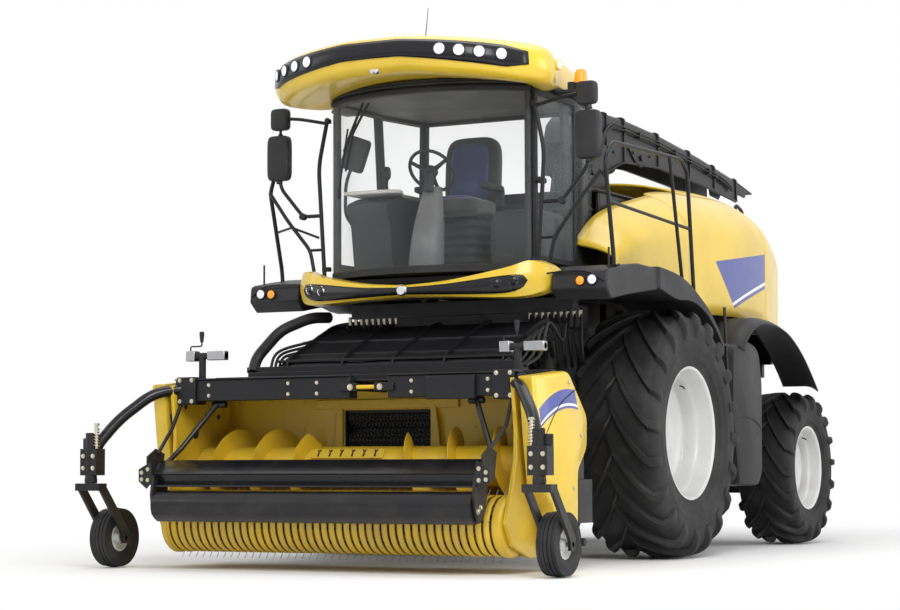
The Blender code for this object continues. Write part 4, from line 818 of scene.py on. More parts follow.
def place(name: str, form: Form, finish: Finish, body: str = "machine", bevel: float = 0.0, sheet: float = 0.0,
        offset: float = -1.0, sharp: float = 35.0, levels: int = 0, stands_for: Sequence[str] = (),
        bend: tuple[str, Point, Point] | None = None) -> bpy.types.Object:
    """Turn a form into a piece that rides on a body.

    Args:
        name: the piece's name.
        form: its surface.
        finish: its finish.
        body: the body it rides on, by default the part that stands still.
        bevel: width of the softened edges.
        sheet: thickness of the wall that an open surface gets.
        offset: side of the surface that the wall grows to.
        sharp: angle in degrees over which an edge stays sharp.
        levels: levels of subdivision.
        stands_for: CAD nodes that it replaces.
        bend: a second body that it bends towards, with the start and the end of the bend.

    Returns:
        The piece.
    """
    mesh = bpy.data.meshes.new(name)
    mesh.from_pydata((form.points + (0.0, SHIFT_Y, 0.0)).tolist(), [], form.faces)
    work = bmesh.new()
    work.from_mesh(mesh)
    bmesh.ops.remove_doubles(work, verts=work.verts, dist=MERGE_DISTANCE)
    bmesh.ops.recalc_face_normals(work, faces=work.faces)
    work.to_mesh(mesh)
    work.free()
    mesh.shade_smooth()
    mesh.set_sharp_from_angle(angle=math.radians(sharp))
    mesh.materials.append(finish_material(finish))
    piece = bpy.data.objects.new(name, mesh)
    bpy.context.scene.collection.objects.link(piece)
    if levels:
        smooth = piece.modifiers.new("smooth", "SUBSURF")
        smooth.levels = smooth.render_levels = levels
    if sheet:
        wall = piece.modifiers.new("wall", "SOLIDIFY")
        wall.thickness = sheet
        wall.offset = offset
    if bevel:
        edge = piece.modifiers.new("edge", "BEVEL")
        edge.width = bevel
        edge.segments = 2
        edge.limit_method = "ANGLE"
        edge.angle_limit = math.radians(BEVEL_ANGLE)
        edge.use_clamp_overlap = True
    if finish in SLOTS:
        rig.slot(piece, SLOTS[finish])
    if stands_for:
        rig.replaces(piece, *stands_for)
    if bend:
        other, *ends = bend
        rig.blend(piece, body, other, *((x, y + SHIFT_Y, z) for x, y, z in ends))
    else:
        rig.ride(piece, body)
    LOG.info("%s: %d faces, on %s", name, len(mesh.polygons), body)
    return piece


# Wheels

@dataclass
class Wheel:
    """A driven or steered wheel: lugged tyre and deep dished rim."""

    name: str
    side: int
    y: float
    radius: float
    width: float
    x: float
    bead: float
    lugs: int
    lug_height: float = 0.052
    segments: int = 120

    @property
    def centre(self) -> Point:
        """Return the hub's middle."""
        return (self.side * self.x, self.y, self.radius)

    def section(self) -> Array:
        """Return half the tyre's outer section from the crown's middle to the bead.

        The across value grows while the radius falls along a cubic through the crown, the
        rounded shoulder, the bulge of the wall and the bead.

        Returns:
            Points as (across, radius).
        """
        half = self.width / 2
        tread = self.radius - self.lug_height
        wall = tread - self.bead
        return curve([(0.0, tread), (half * 0.45, tread - 0.004), (half * 0.8, tread - 0.02),
            (half * 0.955, tread - 0.17 * wall), (half * 0.995, tread - 0.42 * wall),
            (half * 0.955, tread - 0.7 * wall), (half * 0.875, self.bead + 0.045),
            (half * 0.86, self.bead + 0.012)], 6)

    def ring_point(self, across: Array, reach: Array, turn: Array) -> Array:
        """Place points from their place across the tyre, their radius and their angle.

        Args:
            across: distance from the wheel's middle plane.
            reach: distance from the axle.
            turn: angle round the axle.

        Returns:
            An array of points.
        """
        spot = spread(self.side * across, reach * np.sin(turn), reach * np.cos(turn))
        return spot + np.array(self.centre)

    def carcass(self) -> Form:
        """Return the casing, with moulded rings on its walls."""
        half = self.section()
        rings = np.zeros(len(half))
        rings[27:29] = 0.004
        rings[32:34] = 0.005
        rings[36] = 0.003
        slope = np.gradient(half, axis=0)
        normal = unit(np.stack([-slope[:, 1], slope[:, 0]], -1))
        half = half + normal * rings[:, None]
        inner = [(-self.width * 0.4, self.bead - 0.004), (self.width * 0.4, self.bead - 0.004)]
        profile = self.loop(half, inner)
        turn = circle(self.segments)
        points = self.ring_point(profile[:, :1], profile[:, 1:], turn[None])
        return grid(points, wrap_u=True, wrap_v=True)

    @staticmethod
    def loop(half: Array, inner: Outline) -> Array:
        """Return the closed section from its outer half and its inner points."""
        return np.vstack([half[::-1], half[1:] * (-1.0, 1.0), np.asarray(inner)])

    def lug(self, angle: float, hand: int) -> Form:
        """Return one tread bar, which follows the section from past the crown's middle down the wall.

        At a share t along the bar the foot lies on the section, its top stands out along the
        section's normal, and the bar turns about the axle by sweep * t to the power 0.8.

        Args:
            angle: where the bar starts.
            hand: +1 for the outer row, -1 for the inner.

        Returns:
            The bar.
        """
        half = self.section()
        length = np.concatenate([[0.0], np.cumsum(np.linalg.norm(np.diff(half, axis=0), axis=1))])
        edge = length[24]
        stations = np.linspace(-0.03, edge, 22)
        t = (stations - stations[0]) / (stations[-1] - stations[0])
        across = np.interp(stations, length, half[:, 0]) + np.minimum(stations, 0.0)
        reach = np.interp(stations, length, half[:, 1])
        slope = np.gradient(np.stack([across, reach], -1), axis=0)
        normal = unit(np.stack([-slope[:, 1], slope[:, 0]], -1))
        wall = np.clip((t - 0.62) / 0.38, 0.0, 1.0)
        height = self.lug_height * (1.0 - wall**1.3 * 0.86) * np.clip(t * 14.0, 0.55, 1.0)
        sweep_angle = 0.8 * self.width / self.radius
        turn = angle - sweep_angle * np.minimum(t / 0.66, 1.0)**0.82 - 0.04 * wall
        wide = (0.046 + 0.03 * np.clip(t * 1.4, 0.0, 1.0)) * self.radius / 1.015
        rows = []
        for lift, edge_share in ((-0.012, -0.66), (0.8, -0.47), (1.0, -0.38), (1.0, 0.38), (0.8, 0.47),
                (-0.012, 0.66)):
            out = height * max(lift, 0.0) + min(lift, 0.0)
            rows.append(self.ring_point(hand * (across + normal[:, 0] * out), reach + normal[:, 1] * out,
                turn + edge_share * wide / reach))
        return grid(np.stack(rows, 1), wrap_v=True, caps=True)

    def tyre(self) -> Form:
        """Return casing and bars."""
        step = 2.0 * math.pi / self.lugs
        bars = [self.lug(step * (k + (0.5 if hand < 0 else 0.0)), hand) for hand in (1, -1)
            for k in range(self.lugs)]
        return joined([self.carcass()] + bars)

    def rim(self) -> Form:
        """Return the dished rim, from its inner flange over the well to the outer flange and in to the hub."""
        bead, half = self.bead, self.width * 0.42
        inner = bead - 0.018
        profile = curve([(-half, bead + 0.02), (-half + 0.012, bead + 0.004), (-half + 0.07, bead - 0.006),
            (0.0, bead - 0.014), (half - 0.07, bead - 0.006), (half - 0.014, bead + 0.002),
            (half - 0.004, bead + 0.022), (half + 0.004, bead + 0.02), (half, inner + 0.008),
            (half - 0.05, inner), (half * 0.55, inner - 0.004), (half * 0.5, inner - 0.02),
            (half * 0.16, inner - 0.028), (half * 0.1, inner * 0.9), (0.055, inner * 0.84), (0.03, inner * 0.7),
            (0.022, inner * 0.52), (0.022, inner * 0.42)], 4)
        back = np.array([(0.008, inner * 0.42), (0.01, inner * 0.7), (0.03, inner * 0.86),
            (-0.02, inner - 0.03), (-half + 0.02, inner - 0.006)])
        shape = np.vstack([profile, back])
        shape[:, 0] *= self.side
        return lathe(self.centre, "X", shape, 96, closed=True)

    def hub(self) -> Form:
        """Return the planetary hub with its flange and nuts."""
        inner = self.bead - 0.018
        r = inner * 0.46
        s = self.side
        cap = lathe(self.centre, "X", [(0.0, r), (s * 0.034, r), (s * 0.036, r * 0.78), (s * 0.075, r * 0.72),
            (s * 0.085, r * 0.66), (s * 0.085, r * 0.3), (s * 0.1, r * 0.26), (s * 0.1, 0.0)], 48)
        spots = [(self.centre[0] + s * 0.034, self.centre[1] + r * 0.89 * math.sin(a),
            self.centre[2] + r * 0.89 * math.cos(a)) for a in circle(12)]
        return cap + bolts(spots, "X", s * 0.022, 0.016)

    def build(self) -> None:
        """Make the wheel's pieces."""
        body = f"wheel_{self.name}"
        place(f"{self.name}_tyre", self.tyre(), Finish.RUBBER, body, sharp=38, stands_for=[f"tyre_{self.name}"])
        place(f"{self.name}_rim", self.rim(), Finish.WHITE, body, sharp=50, stands_for=[f"rim_{self.name}"])
        place(f"{self.name}_hub", self.hub(), Finish.WHITE, body)
        stem = self.ring_point(np.array([0.1, 0.13, 0.15]), np.array([0.9, 0.88, 0.84]) * self.bead,
            np.array([0.6, 0.6, 0.6]))
        place(f"{self.name}_valve", sweep(stem, 0.006, 8), Finish.DARK_TRIM, body)


@dataclass
class GaugeWheel:
    """A caster with its fork, ribbed tyre and spring post."""

    name: str
    side: int
    x: float = 1.87
    post_y: float = -3.36
    axle_y: float = -3.06
    radius: float = 0.2275
    width: float = 0.15
    fork_top: float = 0.64

    def tyre(self) -> Form:
        """Return the ribbed tyre: a round section whose tread carries four grooves."""
        half = self.width / 2
        grooves = []
        for k in range(-2, 3):
            grooves += [(0.03 * k - 0.011, self.radius - 0.004 * abs(k) - 0.001), (0.03 * k + 0.011,
                self.radius - 0.004 * abs(k) - 0.001), (0.03 * k + 0.013, self.radius - 0.012), (0.03 * k
                + 0.017, self.radius - 0.012)]
        wall = [(half * 0.62, 0.098), (half * 0.88, 0.125), (half, 0.165), (half * 0.93, 0.2)]
        section = [(-a, r) for a, r in wall] + grooves[:-2] + [(a, r) for a, r in wall[::-1]]
        return lathe((self.x, self.axle_y, self.radius), "X", section, 64, closed=True)

    def disc(self) -> Form:
        """Return the dished wheel disc with its hub."""
        half = self.width / 2
        rows = [(half * 0.66, 0.112), (half * 0.7, 0.098), (half * 0.45, 0.092), (half * 0.2, 0.08),
            (half * 0.16, 0.048), (half * 0.72, 0.036), (half * 0.8, 0.019)]
        shape = rows + [(-a, r) for a, r in rows[::-1]]
        return lathe((self.x, self.axle_y, self.radius), "X", shape, 48, closed=True)

    def fork(self) -> Form:
        """Return the crossbar, its sloping legs, the swivel collar and the axle bolt."""
        x, reach = self.x, self.width / 2 + 0.006
        bar = brick((x - reach - 0.03, x + reach + 0.03), (self.post_y - 0.05, self.post_y + 0.05),
            (self.fork_top - 0.055, self.fork_top))
        legs = [plate("X", x + t * (reach + 0.003), x + t * (reach + 0.029),
            [(self.post_y - 0.045, self.fork_top - 0.02), (self.post_y + 0.045, self.fork_top - 0.02),
            (self.axle_y + 0.04, self.radius + 0.05), (self.axle_y + 0.032, self.radius - 0.045),
            (self.axle_y - 0.032, self.radius - 0.045), (self.axle_y - 0.045, self.radius + 0.03)])
            for t in (1, -1)]
        axle = [drum((x, self.axle_y, self.radius), "X", t * reach, t * (reach + 0.029), 0.02, 12)
            for t in (1, -1)]
        return joined([bar] + legs + axle)

    def build(self) -> None:
        """Make the caster's pieces."""
        s = self.side
        wheel, body = f"gauge_wheel_{self.name}", f"caster_{self.name}"
        place(f"gauge_tyre_{self.name}", self.tyre().sided(s), Finish.RUBBER, wheel, sharp=45,
            stands_for=[f"caster_wheel_{self.name}"])
        place(f"gauge_disc_{self.name}", self.disc().sided(s), Finish.WHITE, wheel)
        place(f"gauge_fork_{self.name}", self.fork().sided(s), Finish.BLACK, body, bevel=0.004,
            stands_for=[f"caster_fork_{self.name}"])
        x, y = self.x, self.post_y
        post = (drum((x, y, 0), "Z", self.fork_top + 0.001, 1.02, 0.042, 20) + brick((x - 0.075, x + 0.075),
            (y - 0.038, y + 0.075), (0.7, 0.9)) + drum((x + 0.055, y + 0.03, 0), "Z", 0.9, 0.98, 0.035, 16)
            + lathe((x, y, 0), "Z", [(self.fork_top + 0.001, 0.0), (self.fork_top + 0.001, 0.046),
            (0.665, 0.049), (0.7, 0.044), (0.7, 0.0)], 20))
        place(f"gauge_post_{self.name}", post.sided(s), Finish.BLACK, "header", bevel=0.004)
        turns = np.linspace(0.0, 7.0 * 2.0 * math.pi, 150)
        coil = np.stack([x - 0.055 + 0.02 * np.cos(turns), y - 0.005 + 0.02 * np.sin(turns),
            0.91 + 0.15 * turns / turns[-1]], -1)
        spring = (sweep_fixed(coil, 0.0045, 6) + drum((x - 0.055, y - 0.005, 0), "Z", 0.9, 1.09, 0.012, 12)
            + bolts([(x - 0.055, y - 0.005, 1.075)], "Z", 0.018, 0.02))
        place(f"gauge_spring_{self.name}", spring.sided(s), Finish.ZINC, "header")
        studs = bolts([(x + dx, y - 0.038, z) for dx in (-0.045, 0.045) for z in (0.755, 0.845)], "Y", -0.011,
            0.013)
        place(f"gauge_bolts_{self.name}", studs.sided(s), Finish.ZINC, "header")
        pin = bolts([(x + self.width / 2 + 0.025, self.axle_y, self.radius)], "X", 0.01, 0.024)
        place(f"gauge_nut_{self.name}", pin.sided(s), Finish.ZINC, body)


def sweep_fixed(path: Array, radius: float, sides: int) -> Form:
    """Carry a circle along a coil round the Z axis: its side points away from the axis, so it never twists."""
    along = unit(np.gradient(path, axis=0))
    side = unit(np.cross(along, (0.0, 0.0, 1.0)))
    up = np.cross(side, along)
    turn = circle(sides)[None, :, None]
    return grid(path[:, None] + radius * (np.cos(turn) * side[:, None] + np.sin(turn) * up[:, None]),
        wrap_v=True, caps=True)


# Pickup header

@dataclass
class Pickup:
    """The banded guard, the tined reel behind it, and the end drums."""

    y: float = -2.86
    z: float = 0.34
    half: float = 1.412
    bands: int = 45
    radius: float = 0.217
    tine: float = 0.262
    bar: float = 0.135

    @property
    def pitch(self) -> float:
        """Return the distance between bands."""
        return 2.0 * self.half / self.bands

    def guard(self) -> Form:
        """Return the bands: across each the radius swells by a half sine, and each runs round its front half."""
        low, high = math.radians(-100), math.radians(92)
        turn = np.linspace(low, high, 26)
        share = np.linspace(0.0, 1.0, 6)
        wide = self.pitch - 0.015
        x = -self.half + self.pitch * (np.arange(self.bands)[:, None] + 0.5) + wide * (share - 0.5)
        swell = 0.007 * np.sin(math.pi * share)
        forms = []
        for row in x:
            r = self.radius - 0.006 + swell
            points = spread(row[None], self.y - r[None] * np.cos(turn)[:, None],
                self.z + r[None] * np.sin(turn)[:, None])
            tail = points[-1:].copy() + (0.0, 0.16, -0.01)
            head = points[:1].copy() + (0.0, 0.16, 0.004)
            forms.append(grid(np.vstack([head, points, tail])))
        return joined(forms)

    def ends(self) -> Form:
        """Return the two plain end drums."""
        rows = [(self.half - 0.035, 0.03), (self.half - 0.035, self.radius + 0.006),
            (self.half + 0.005, self.radius + 0.008), (self.half + 0.02, self.radius - 0.006),
            (self.half + 0.022, 0.03)]
        return lathe((0.0, self.y, self.z), "X", rows, 64, closed=True).both()

    def reel(self) -> Form:
        """Return the shaft, the spider discs and the four tine bars."""
        forms = [drum((0.0, self.y, self.z), "X", -self.half, self.half, 0.045, 20)]
        forms += [drum((x, self.y, self.z), "X", -0.004, 0.004, self.bar + 0.028,
            24) for x in (-1.39, -0.47, 0.47, 1.39)]
        for quarter in range(4):
            a = math.pi / 2 * quarter
            c = (0.0, self.y + self.bar * math.sin(a), self.z + self.bar * math.cos(a))
            forms.append(drum(c, "X", -self.half + 0.04, self.half - 0.04, 0.015, 10))
        return joined(forms)

    def tines(self) -> Form:
        """Return the spring tines: each starts at its bar, runs outwards and trails by a square law."""
        t = np.linspace(0.0, 1.0, 5)
        forms = []
        for quarter in range(4):
            for k in range(self.bands - 1):
                x = -self.half + self.pitch * (k + 1)
                a = math.pi / 2 * quarter + 0.2 * t**2
                r = self.bar + (self.tine - self.bar) * t
                path = np.stack([np.full(5, x), self.y + r * np.sin(a), self.z + r * np.cos(a)], -1)
                forms.append(sweep(path, np.linspace(0.0032, 0.0022, 5), 5))
        return joined(forms)

    def build(self) -> None:
        """Make the pickup's pieces."""
        place("guard_bands", self.guard(), Finish.YELLOW_WORK, "header", sheet=0.003, offset=-1.0, sharp=50,
            stands_for=["reel_guard"])
        place("guard_ends", self.ends(), Finish.YELLOW_WORK, "header", bevel=0.003)
        place("reel_drum", self.reel(), Finish.IRON, "reel", stands_for=["pickup_reel"])
        place("reel_tines", self.tines(), Finish.STEEL, "reel")


@dataclass
class CrossAuger:
    """The auger: tube, opposed flights, and the paddle strip with its finger slots, drawn as dark marks of painted
    shade.
    """

    y: float = -2.45
    z: float = 0.76
    half: float = 1.429
    tube: float = 0.15
    radius: float = 0.288
    pitch: float = 0.36
    strip_tilt: float = -32.0

    def flight(self) -> Form:
        """Return the left flight: a helix whose x grows by the pitch in each turn, with a flat crest."""
        turns = (self.half - 0.05 - 0.4) / self.pitch
        turn = np.linspace(0.0, 2.0 * math.pi * turns, int(40 * turns))[:, None]
        x = 0.4 + self.pitch * turn / (2.0 * math.pi)
        reach = np.array([[self.tube - 0.01, self.radius, self.radius, self.tube - 0.01]])
        thick = np.array([[-0.006, -0.002, 0.002, 0.006]])
        rise = np.clip(turn / 0.5, 0.25, 1.0)
        r = self.tube - 0.01 + (reach - self.tube + 0.01) * rise
        points = spread(x + thick, self.y - r * np.sin(turn), self.z + r * np.cos(turn))
        return grid(points, wrap_v=True, caps=True)

    def build(self) -> None:
        """Make the auger's pieces."""
        core = drum((0.0, self.y, self.z), "X", -self.half, self.half, self.tube, 48, 0.03)
        place("auger_tube", core, Finish.YELLOW_WORK, "auger", stands_for=["auger"])
        place("auger_flights", self.flight().both(), Finish.YELLOW_WORK, "auger", sharp=30)
        paddles = [brick((-0.34, 0.34), (self.y - 0.006, self.y + 0.006), (self.z + 0.145, self.z + 0.262))]
        paddles.append(paddles[0].spun((0.0, self.y, self.z), "X", math.pi))
        turned = [paddle.spun((0.0, self.y, self.z), "X", math.radians(115)) for paddle in paddles]
        place("auger_paddles", joined(turned), Finish.YELLOW_WORK, "auger", bevel=0.003)
        strip = brick((-0.4, 0.22), (self.y - 0.155, self.y - 0.149),
            (self.z + 0.055, self.z + 0.135)).spun((0.0, self.y - 0.15, self.z + 0.09), "X",
            math.radians(self.strip_tilt))
        strip = strip.moved(0.0, 0.022, 0.0)
        place("auger_strip", strip, Finish.YELLOW_WORK, "auger", bevel=0.002)
        # Painted shade: the finger slots are not cut; flat dark marks stand on the strip where the openings are.
        slot_shade = []
        for k in range(6):
            x = -0.34 + 0.098 * k
            tri = plate("Y", -0.004, 0.004, [(x - 0.016, 0.028), (x - 0.004, 0.006), (x - 0.006, -0.03),
                (x + 0.008, -0.03), (x + 0.006, 0.006), (x + 0.018, 0.028), (x + 0.008, 0.03), (x, 0.014),
                (x - 0.008, 0.03)])
            slot_shade.append(tri.moved(0.0, self.y - 0.128, self.z + 0.1).spun((0.0, self.y - 0.128, self.z + 0.1),
                "X", math.radians(self.strip_tilt)))
        place("auger_slot_shade", joined(slot_shade), Finish.DARK_TRIM, "auger")


@dataclass
class HeaderShell:
    """The header's yellow back wall and trough, its end walls and the outer side panels."""

    half: float = 1.435
    back: float = -2.12
    auger_y: float = -2.45
    auger_z: float = 0.76
    trough: float = 0.305
    mouth: tuple[float, float, float] = (0.38, 0.9, 1.19)

    def wall(self) -> Form:
        """Return back wall and trough: a straight sheet and an arc round the auger, open at the mouth."""
        arc = np.radians(np.linspace(0.0, 118.0, 20))
        line = [(self.back, z) for z in np.linspace(1.42, 0.8, 12)]
        line += [(self.auger_y + (self.trough + 0.02) * math.cos(a),
            self.auger_z - self.trough * math.sin(a)) for a in arc]
        line += [(-2.66, 0.44), (-2.66, 0.41)]
        rows = np.asarray(line)
        zs = rows[:12, 1]
        zs[np.abs(zs - self.mouth[1]).argmin()] = self.mouth[1]
        zs[np.abs(zs - self.mouth[2]).argmin()] = self.mouth[2]
        rows[:12, 1] = zs
        x = np.concatenate([np.linspace(-self.half, -self.mouth[0], 7),
            np.linspace(self.mouth[0], self.half, 7)])
        points = spread(x[None], rows[:, :1], rows[:, 1:])
        return grid(points, keep=lambda c: ~((np.abs(c[:, 0]) < self.mouth[0]) & (c[:, 2] > self.mouth[1])
            & (c[:, 2] < self.mouth[2]) & (c[:, 1] > self.back - 0.02)))

    def end_wall(self) -> Form:
        """Return the left end wall."""
        return plate("X", self.half, self.half + 0.03, [(-2.92, 1.38), (-2.6, 1.41), (self.back + 0.03, 1.42),
            (self.back + 0.03, 0.2), (-2.2, 0.11), (-2.68, 0.11), (-2.95, 0.2), (-3.05, 0.36), (-2.97, 0.56),
            (-2.88, 0.8), (-2.87, 1.0)])

    def side_panel(self) -> Form:
        """Return the left outer panel: its outline is drawn in smaller at the rim, which gives the folded edge."""
        outline = filleted([(0, y, z) for y, z in [(-2.93, 1.39), (-2.347, 1.446), (-2.211, 1.309),
            (-2.033, 1.135), (-2.038, 0.9), (-2.205, 0.729), (-2.207, 0.2), (-2.336, 0.175), (-2.56, 0.2),
            (-2.62, 0.47), (-2.8, 0.6), (-2.86, 0.9), (-2.93, 1.39)]], 0.05, 4)[:-1, 1:]
        middle = outline.mean(0)
        rings = []
        for x, share in ((1.508, 1.0), (1.6, 1.0), (1.622, 0.985), (1.63, 0.955)):
            line = middle + (outline - middle) * share
            rings.append(np.column_stack([np.full(len(line), x), line]))
        return grid(np.stack(rings), wrap_v=True, caps=True)

    def build(self) -> None:
        """Make the shell's pieces."""
        place("header_trough", self.wall(), Finish.YELLOW_WORK, "header", sheet=0.006, offset=0.0, sharp=40,
            stands_for=["header_frame"])
        ends = self.end_wall().both()
        low = brick((-self.half, self.half), (self.back - 0.12, self.back), (0.13, 0.3))
        pan = brick((-self.half, self.half), (-2.64, self.back - 0.05), (0.119, 0.131))
        place("header_ends", ends + low + pan, Finish.YELLOW_WORK, "header", bevel=0.004)
        frame = [brick((s * 0.5 - 0.045, s * 0.5 + 0.045), (self.back + 0.005, self.back + 0.05), (0.32, 1.43))
            for s in (1, -1)]
        frame += [brick((-self.half, self.half), (self.back + 0.005, self.back + 0.06),
            (1.36, 1.44)), brick((-self.half, self.half), (self.back + 0.005, self.back + 0.04), (0.34, 0.42))]
        place("header_back_frame", joined(frame), Finish.BLACK, "header", bevel=0.005)
        rim = [plate("Y", self.back - 0.035, self.back - 0.004, [(s * 0.385, 0.88), (s * 0.47, 0.88),
            (s * 0.43, 1.22), (s * 0.385, 1.22)]) for s in (1, -1)]
        rim.append(brick((-0.62, 0.62), (self.back - 0.03, self.back - 0.004), (1.2, 1.27)))
        place("mouth_frame", joined(rim), Finish.YELLOW_WORK, "header", bevel=0.004)
        # Painted shade: flat dark discs on the end walls' inner faces stand where the holes are; nothing is cut.
        hole_shade = [drum((s * (self.half - 0.001), y, z), "X", 0.0, -s * 0.004, r, 20) for s in (1, -1) for y, z,
            r in ((-2.62, 1.02, 0.045), (-2.45, 0.76, 0.1), (-2.75, 1.22, 0.02), (-2.3, 1.15, 0.02))]
        place("end_wall_hole_shade", joined(hole_shade), Finish.DARK_TRIM, "header")
        spots = [(x, self.back - 0.004, z) for x in (-1.38, -1.05, -0.75, 0.58, 0.75, 1.05, 1.38)
            for z in (1.26, 1.05)]
        place("back_wall_bolts", bolts(spots, "Y", -0.01, 0.01), Finish.YELLOW_WORK, "header")
        for name, s in SIDES:
            place(f"outer_panel_{name}", self.side_panel().sided(s), Finish.YELLOW_SIDE, "header", sharp=50,
                stands_for=[f"header_side_{name}"])
        seams = ribbon(curve([(1.631, -2.86, 0.86), (1.632, -2.55, 1.17), (1.632, -2.25, 1.31)], 10), 0.006,
            0.003, (1, 0, 0))
        place("panel_seams", seams.both(), Finish.DARK_TRIM, "header")
        drive = (brick((1.5, 1.585), (-2.1, -1.86), (0.34, 0.66)) + brick((1.47, 1.56), (-2.14, -1.95),
            (0.66, 0.9)) + drum((1.5, -2.02, 0.2), "X", 0.0, 0.1, 0.03, 16))
        place("drive_block", drive.both(), Finish.BLACK, "header", bevel=0.01)
        feet = bolts([(1.63, y, z) for y, z in ((-2.28, 0.3), (-2.28, 0.6), (-2.15, 0.98), (-2.5, 0.28),
            (-2.36, 1.36))], "X", 0.01, 0.013)
        place("panel_bolts", feet.both(), Finish.ZINC, "header")


@dataclass
class TopBeam:
    """The black beam over the header, its clevises and cranks, and the bent gauge arms."""

    y: float = -2.78
    z: float = 1.34
    half: float = 1.468

    def build(self) -> None:
        """Make the beam's pieces."""
        y, z = self.y, self.z
        left = (brick((0.4, self.half), (y - 0.06, y + 0.06), (z - 0.08, z + 0.08)) + brick((0.4, self.half),
            (y - 0.075, y + 0.02), (z + 0.08, z + 0.092)))
        right = (brick((-self.half, 0.08), (y - 0.06, y + 0.06), (z - 0.08, z + 0.08))
            + brick((-self.half, 0.08), (y - 0.075, y + 0.02), (z + 0.08, z + 0.092)))
        rear = (brick((-self.half, self.half), (y + 0.02, -2.09), (z + 0.045, z + 0.06))
            + brick((-self.half, self.half), (-2.3, -2.22), (z + 0.06, z + 0.12)))
        ribs = [brick((x - 0.006, x + 0.006), (y + 0.05, -2.14), (z - 0.02, z + 0.05))
            for x in np.linspace(-1.3, 1.3, 9)]
        place("top_beam_box", joined([left, right, rear] + ribs), Finish.BLACK, "header", bevel=0.006,
            stands_for=["top_beam"])
        block = (brick((0.74, 1.13), (y - 0.1, y - 0.055), (z - 0.1, z + 0.07)) + brick((0.3, 0.46),
            (y - 0.085, y - 0.04), (z - 0.03, z + 0.03)) + brick((0.02, 0.15), (y - 0.085, y - 0.04),
            (z - 0.03, z + 0.03)))
        place("beam_clevises", block, Finish.BLACK, "header", bevel=0.006)
        rod = sweep(np.array([(0.1, y - 0.065, z), (0.35, y - 0.065, z)]), 0.016, 14)
        place("beam_rod", rod, Finish.YELLOW_WORK, "header")
        heads = (bolts([(0.1, y - 0.085, z), (0.35, y - 0.085, z)], "Y", -0.012, 0.018)
            + bolts([(x, y - 0.06, z + dz) for x in (-1.32, -1.16, -0.45, -0.2, 0.6, 1.22, 1.38)
            for dz in (-0.04, 0.04)], "Y", -0.01, 0.011))
        place("beam_bolts", heads, Finish.ZINC, "header")
        self.arms()
        self.cranks()

    def arms(self) -> None:
        """Make the bent tubes that carry the gauge wheels, with their clamps."""
        y, z = self.y, self.z
        path = filleted([(1.22, y, z + 0.01), (1.4, y - 0.02, z + 0.02), (1.56, -3.0, z - 0.02),
            (1.74, -3.19, 1.12), (1.84, -3.32, 0.93), (1.87, -3.35, 0.8)], 0.1, 7)
        place("gauge_arms", sweep(path, 0.043, 20).both(), Finish.BLACK_GLOSS, "header", sharp=60)
        clamps = brick((1.27, 1.44), (y - 0.085, y + 0.075), (z - 0.105, z + 0.105))
        place("gauge_arm_clamps", clamps.both(), Finish.BLACK, "header", bevel=0.008)
        heads = bolts([(x, y - 0.085, z + dz) for x in (1.3, 1.41) for dz in (-0.08, 0.08)], "Y", -0.012, 0.013)
        place("gauge_clamp_bolts", heads.both(), Finish.ZINC, "header")

    def cranks(self) -> None:
        """Make the two crank jacks: post, screw box, screw and handle."""
        y, z = self.y, self.z
        for name, x in (("right", -1.3), ("left", 1.4)):
            post = (drum((x, y + 0.06, 0), "Z", z + 0.06, z + 0.26, 0.028, 16) + drum((x, y + 0.06, z + 0.27),
                "X", -0.09, 0.22, 0.026, 16))
            place(f"crank_post_{name}", post, Finish.DARK_TRIM, "header")
            box = (brick((x - 0.13, x - 0.05), (y + 0.02, y + 0.1), (z + 0.23, z + 0.31))
                + brick((x + 0.06, x + 0.22), (y + 0.028, y + 0.092), (z + 0.235, z + 0.305)))
            place(f"crank_box_{name}", box, Finish.STEEL, "header", bevel=0.006)
            arm = sweep(filleted([(x - 0.11, y + 0.06, z + 0.31), (x - 0.11, y + 0.06, z + 0.345),
                (x, y + 0.05, z + 0.345), (x, y + 0.05, z + 0.39)], 0.015), 0.006, 8)
            grip = lathe((x, y + 0.05, z), "Z", [(0.375, 0.0), (0.375, 0.012), (0.43, 0.019), (0.455, 0.018),
                (0.46, 0.0)], 14)
            place(f"crank_handle_{name}", arm + grip, Finish.DARK_TRIM, "header")


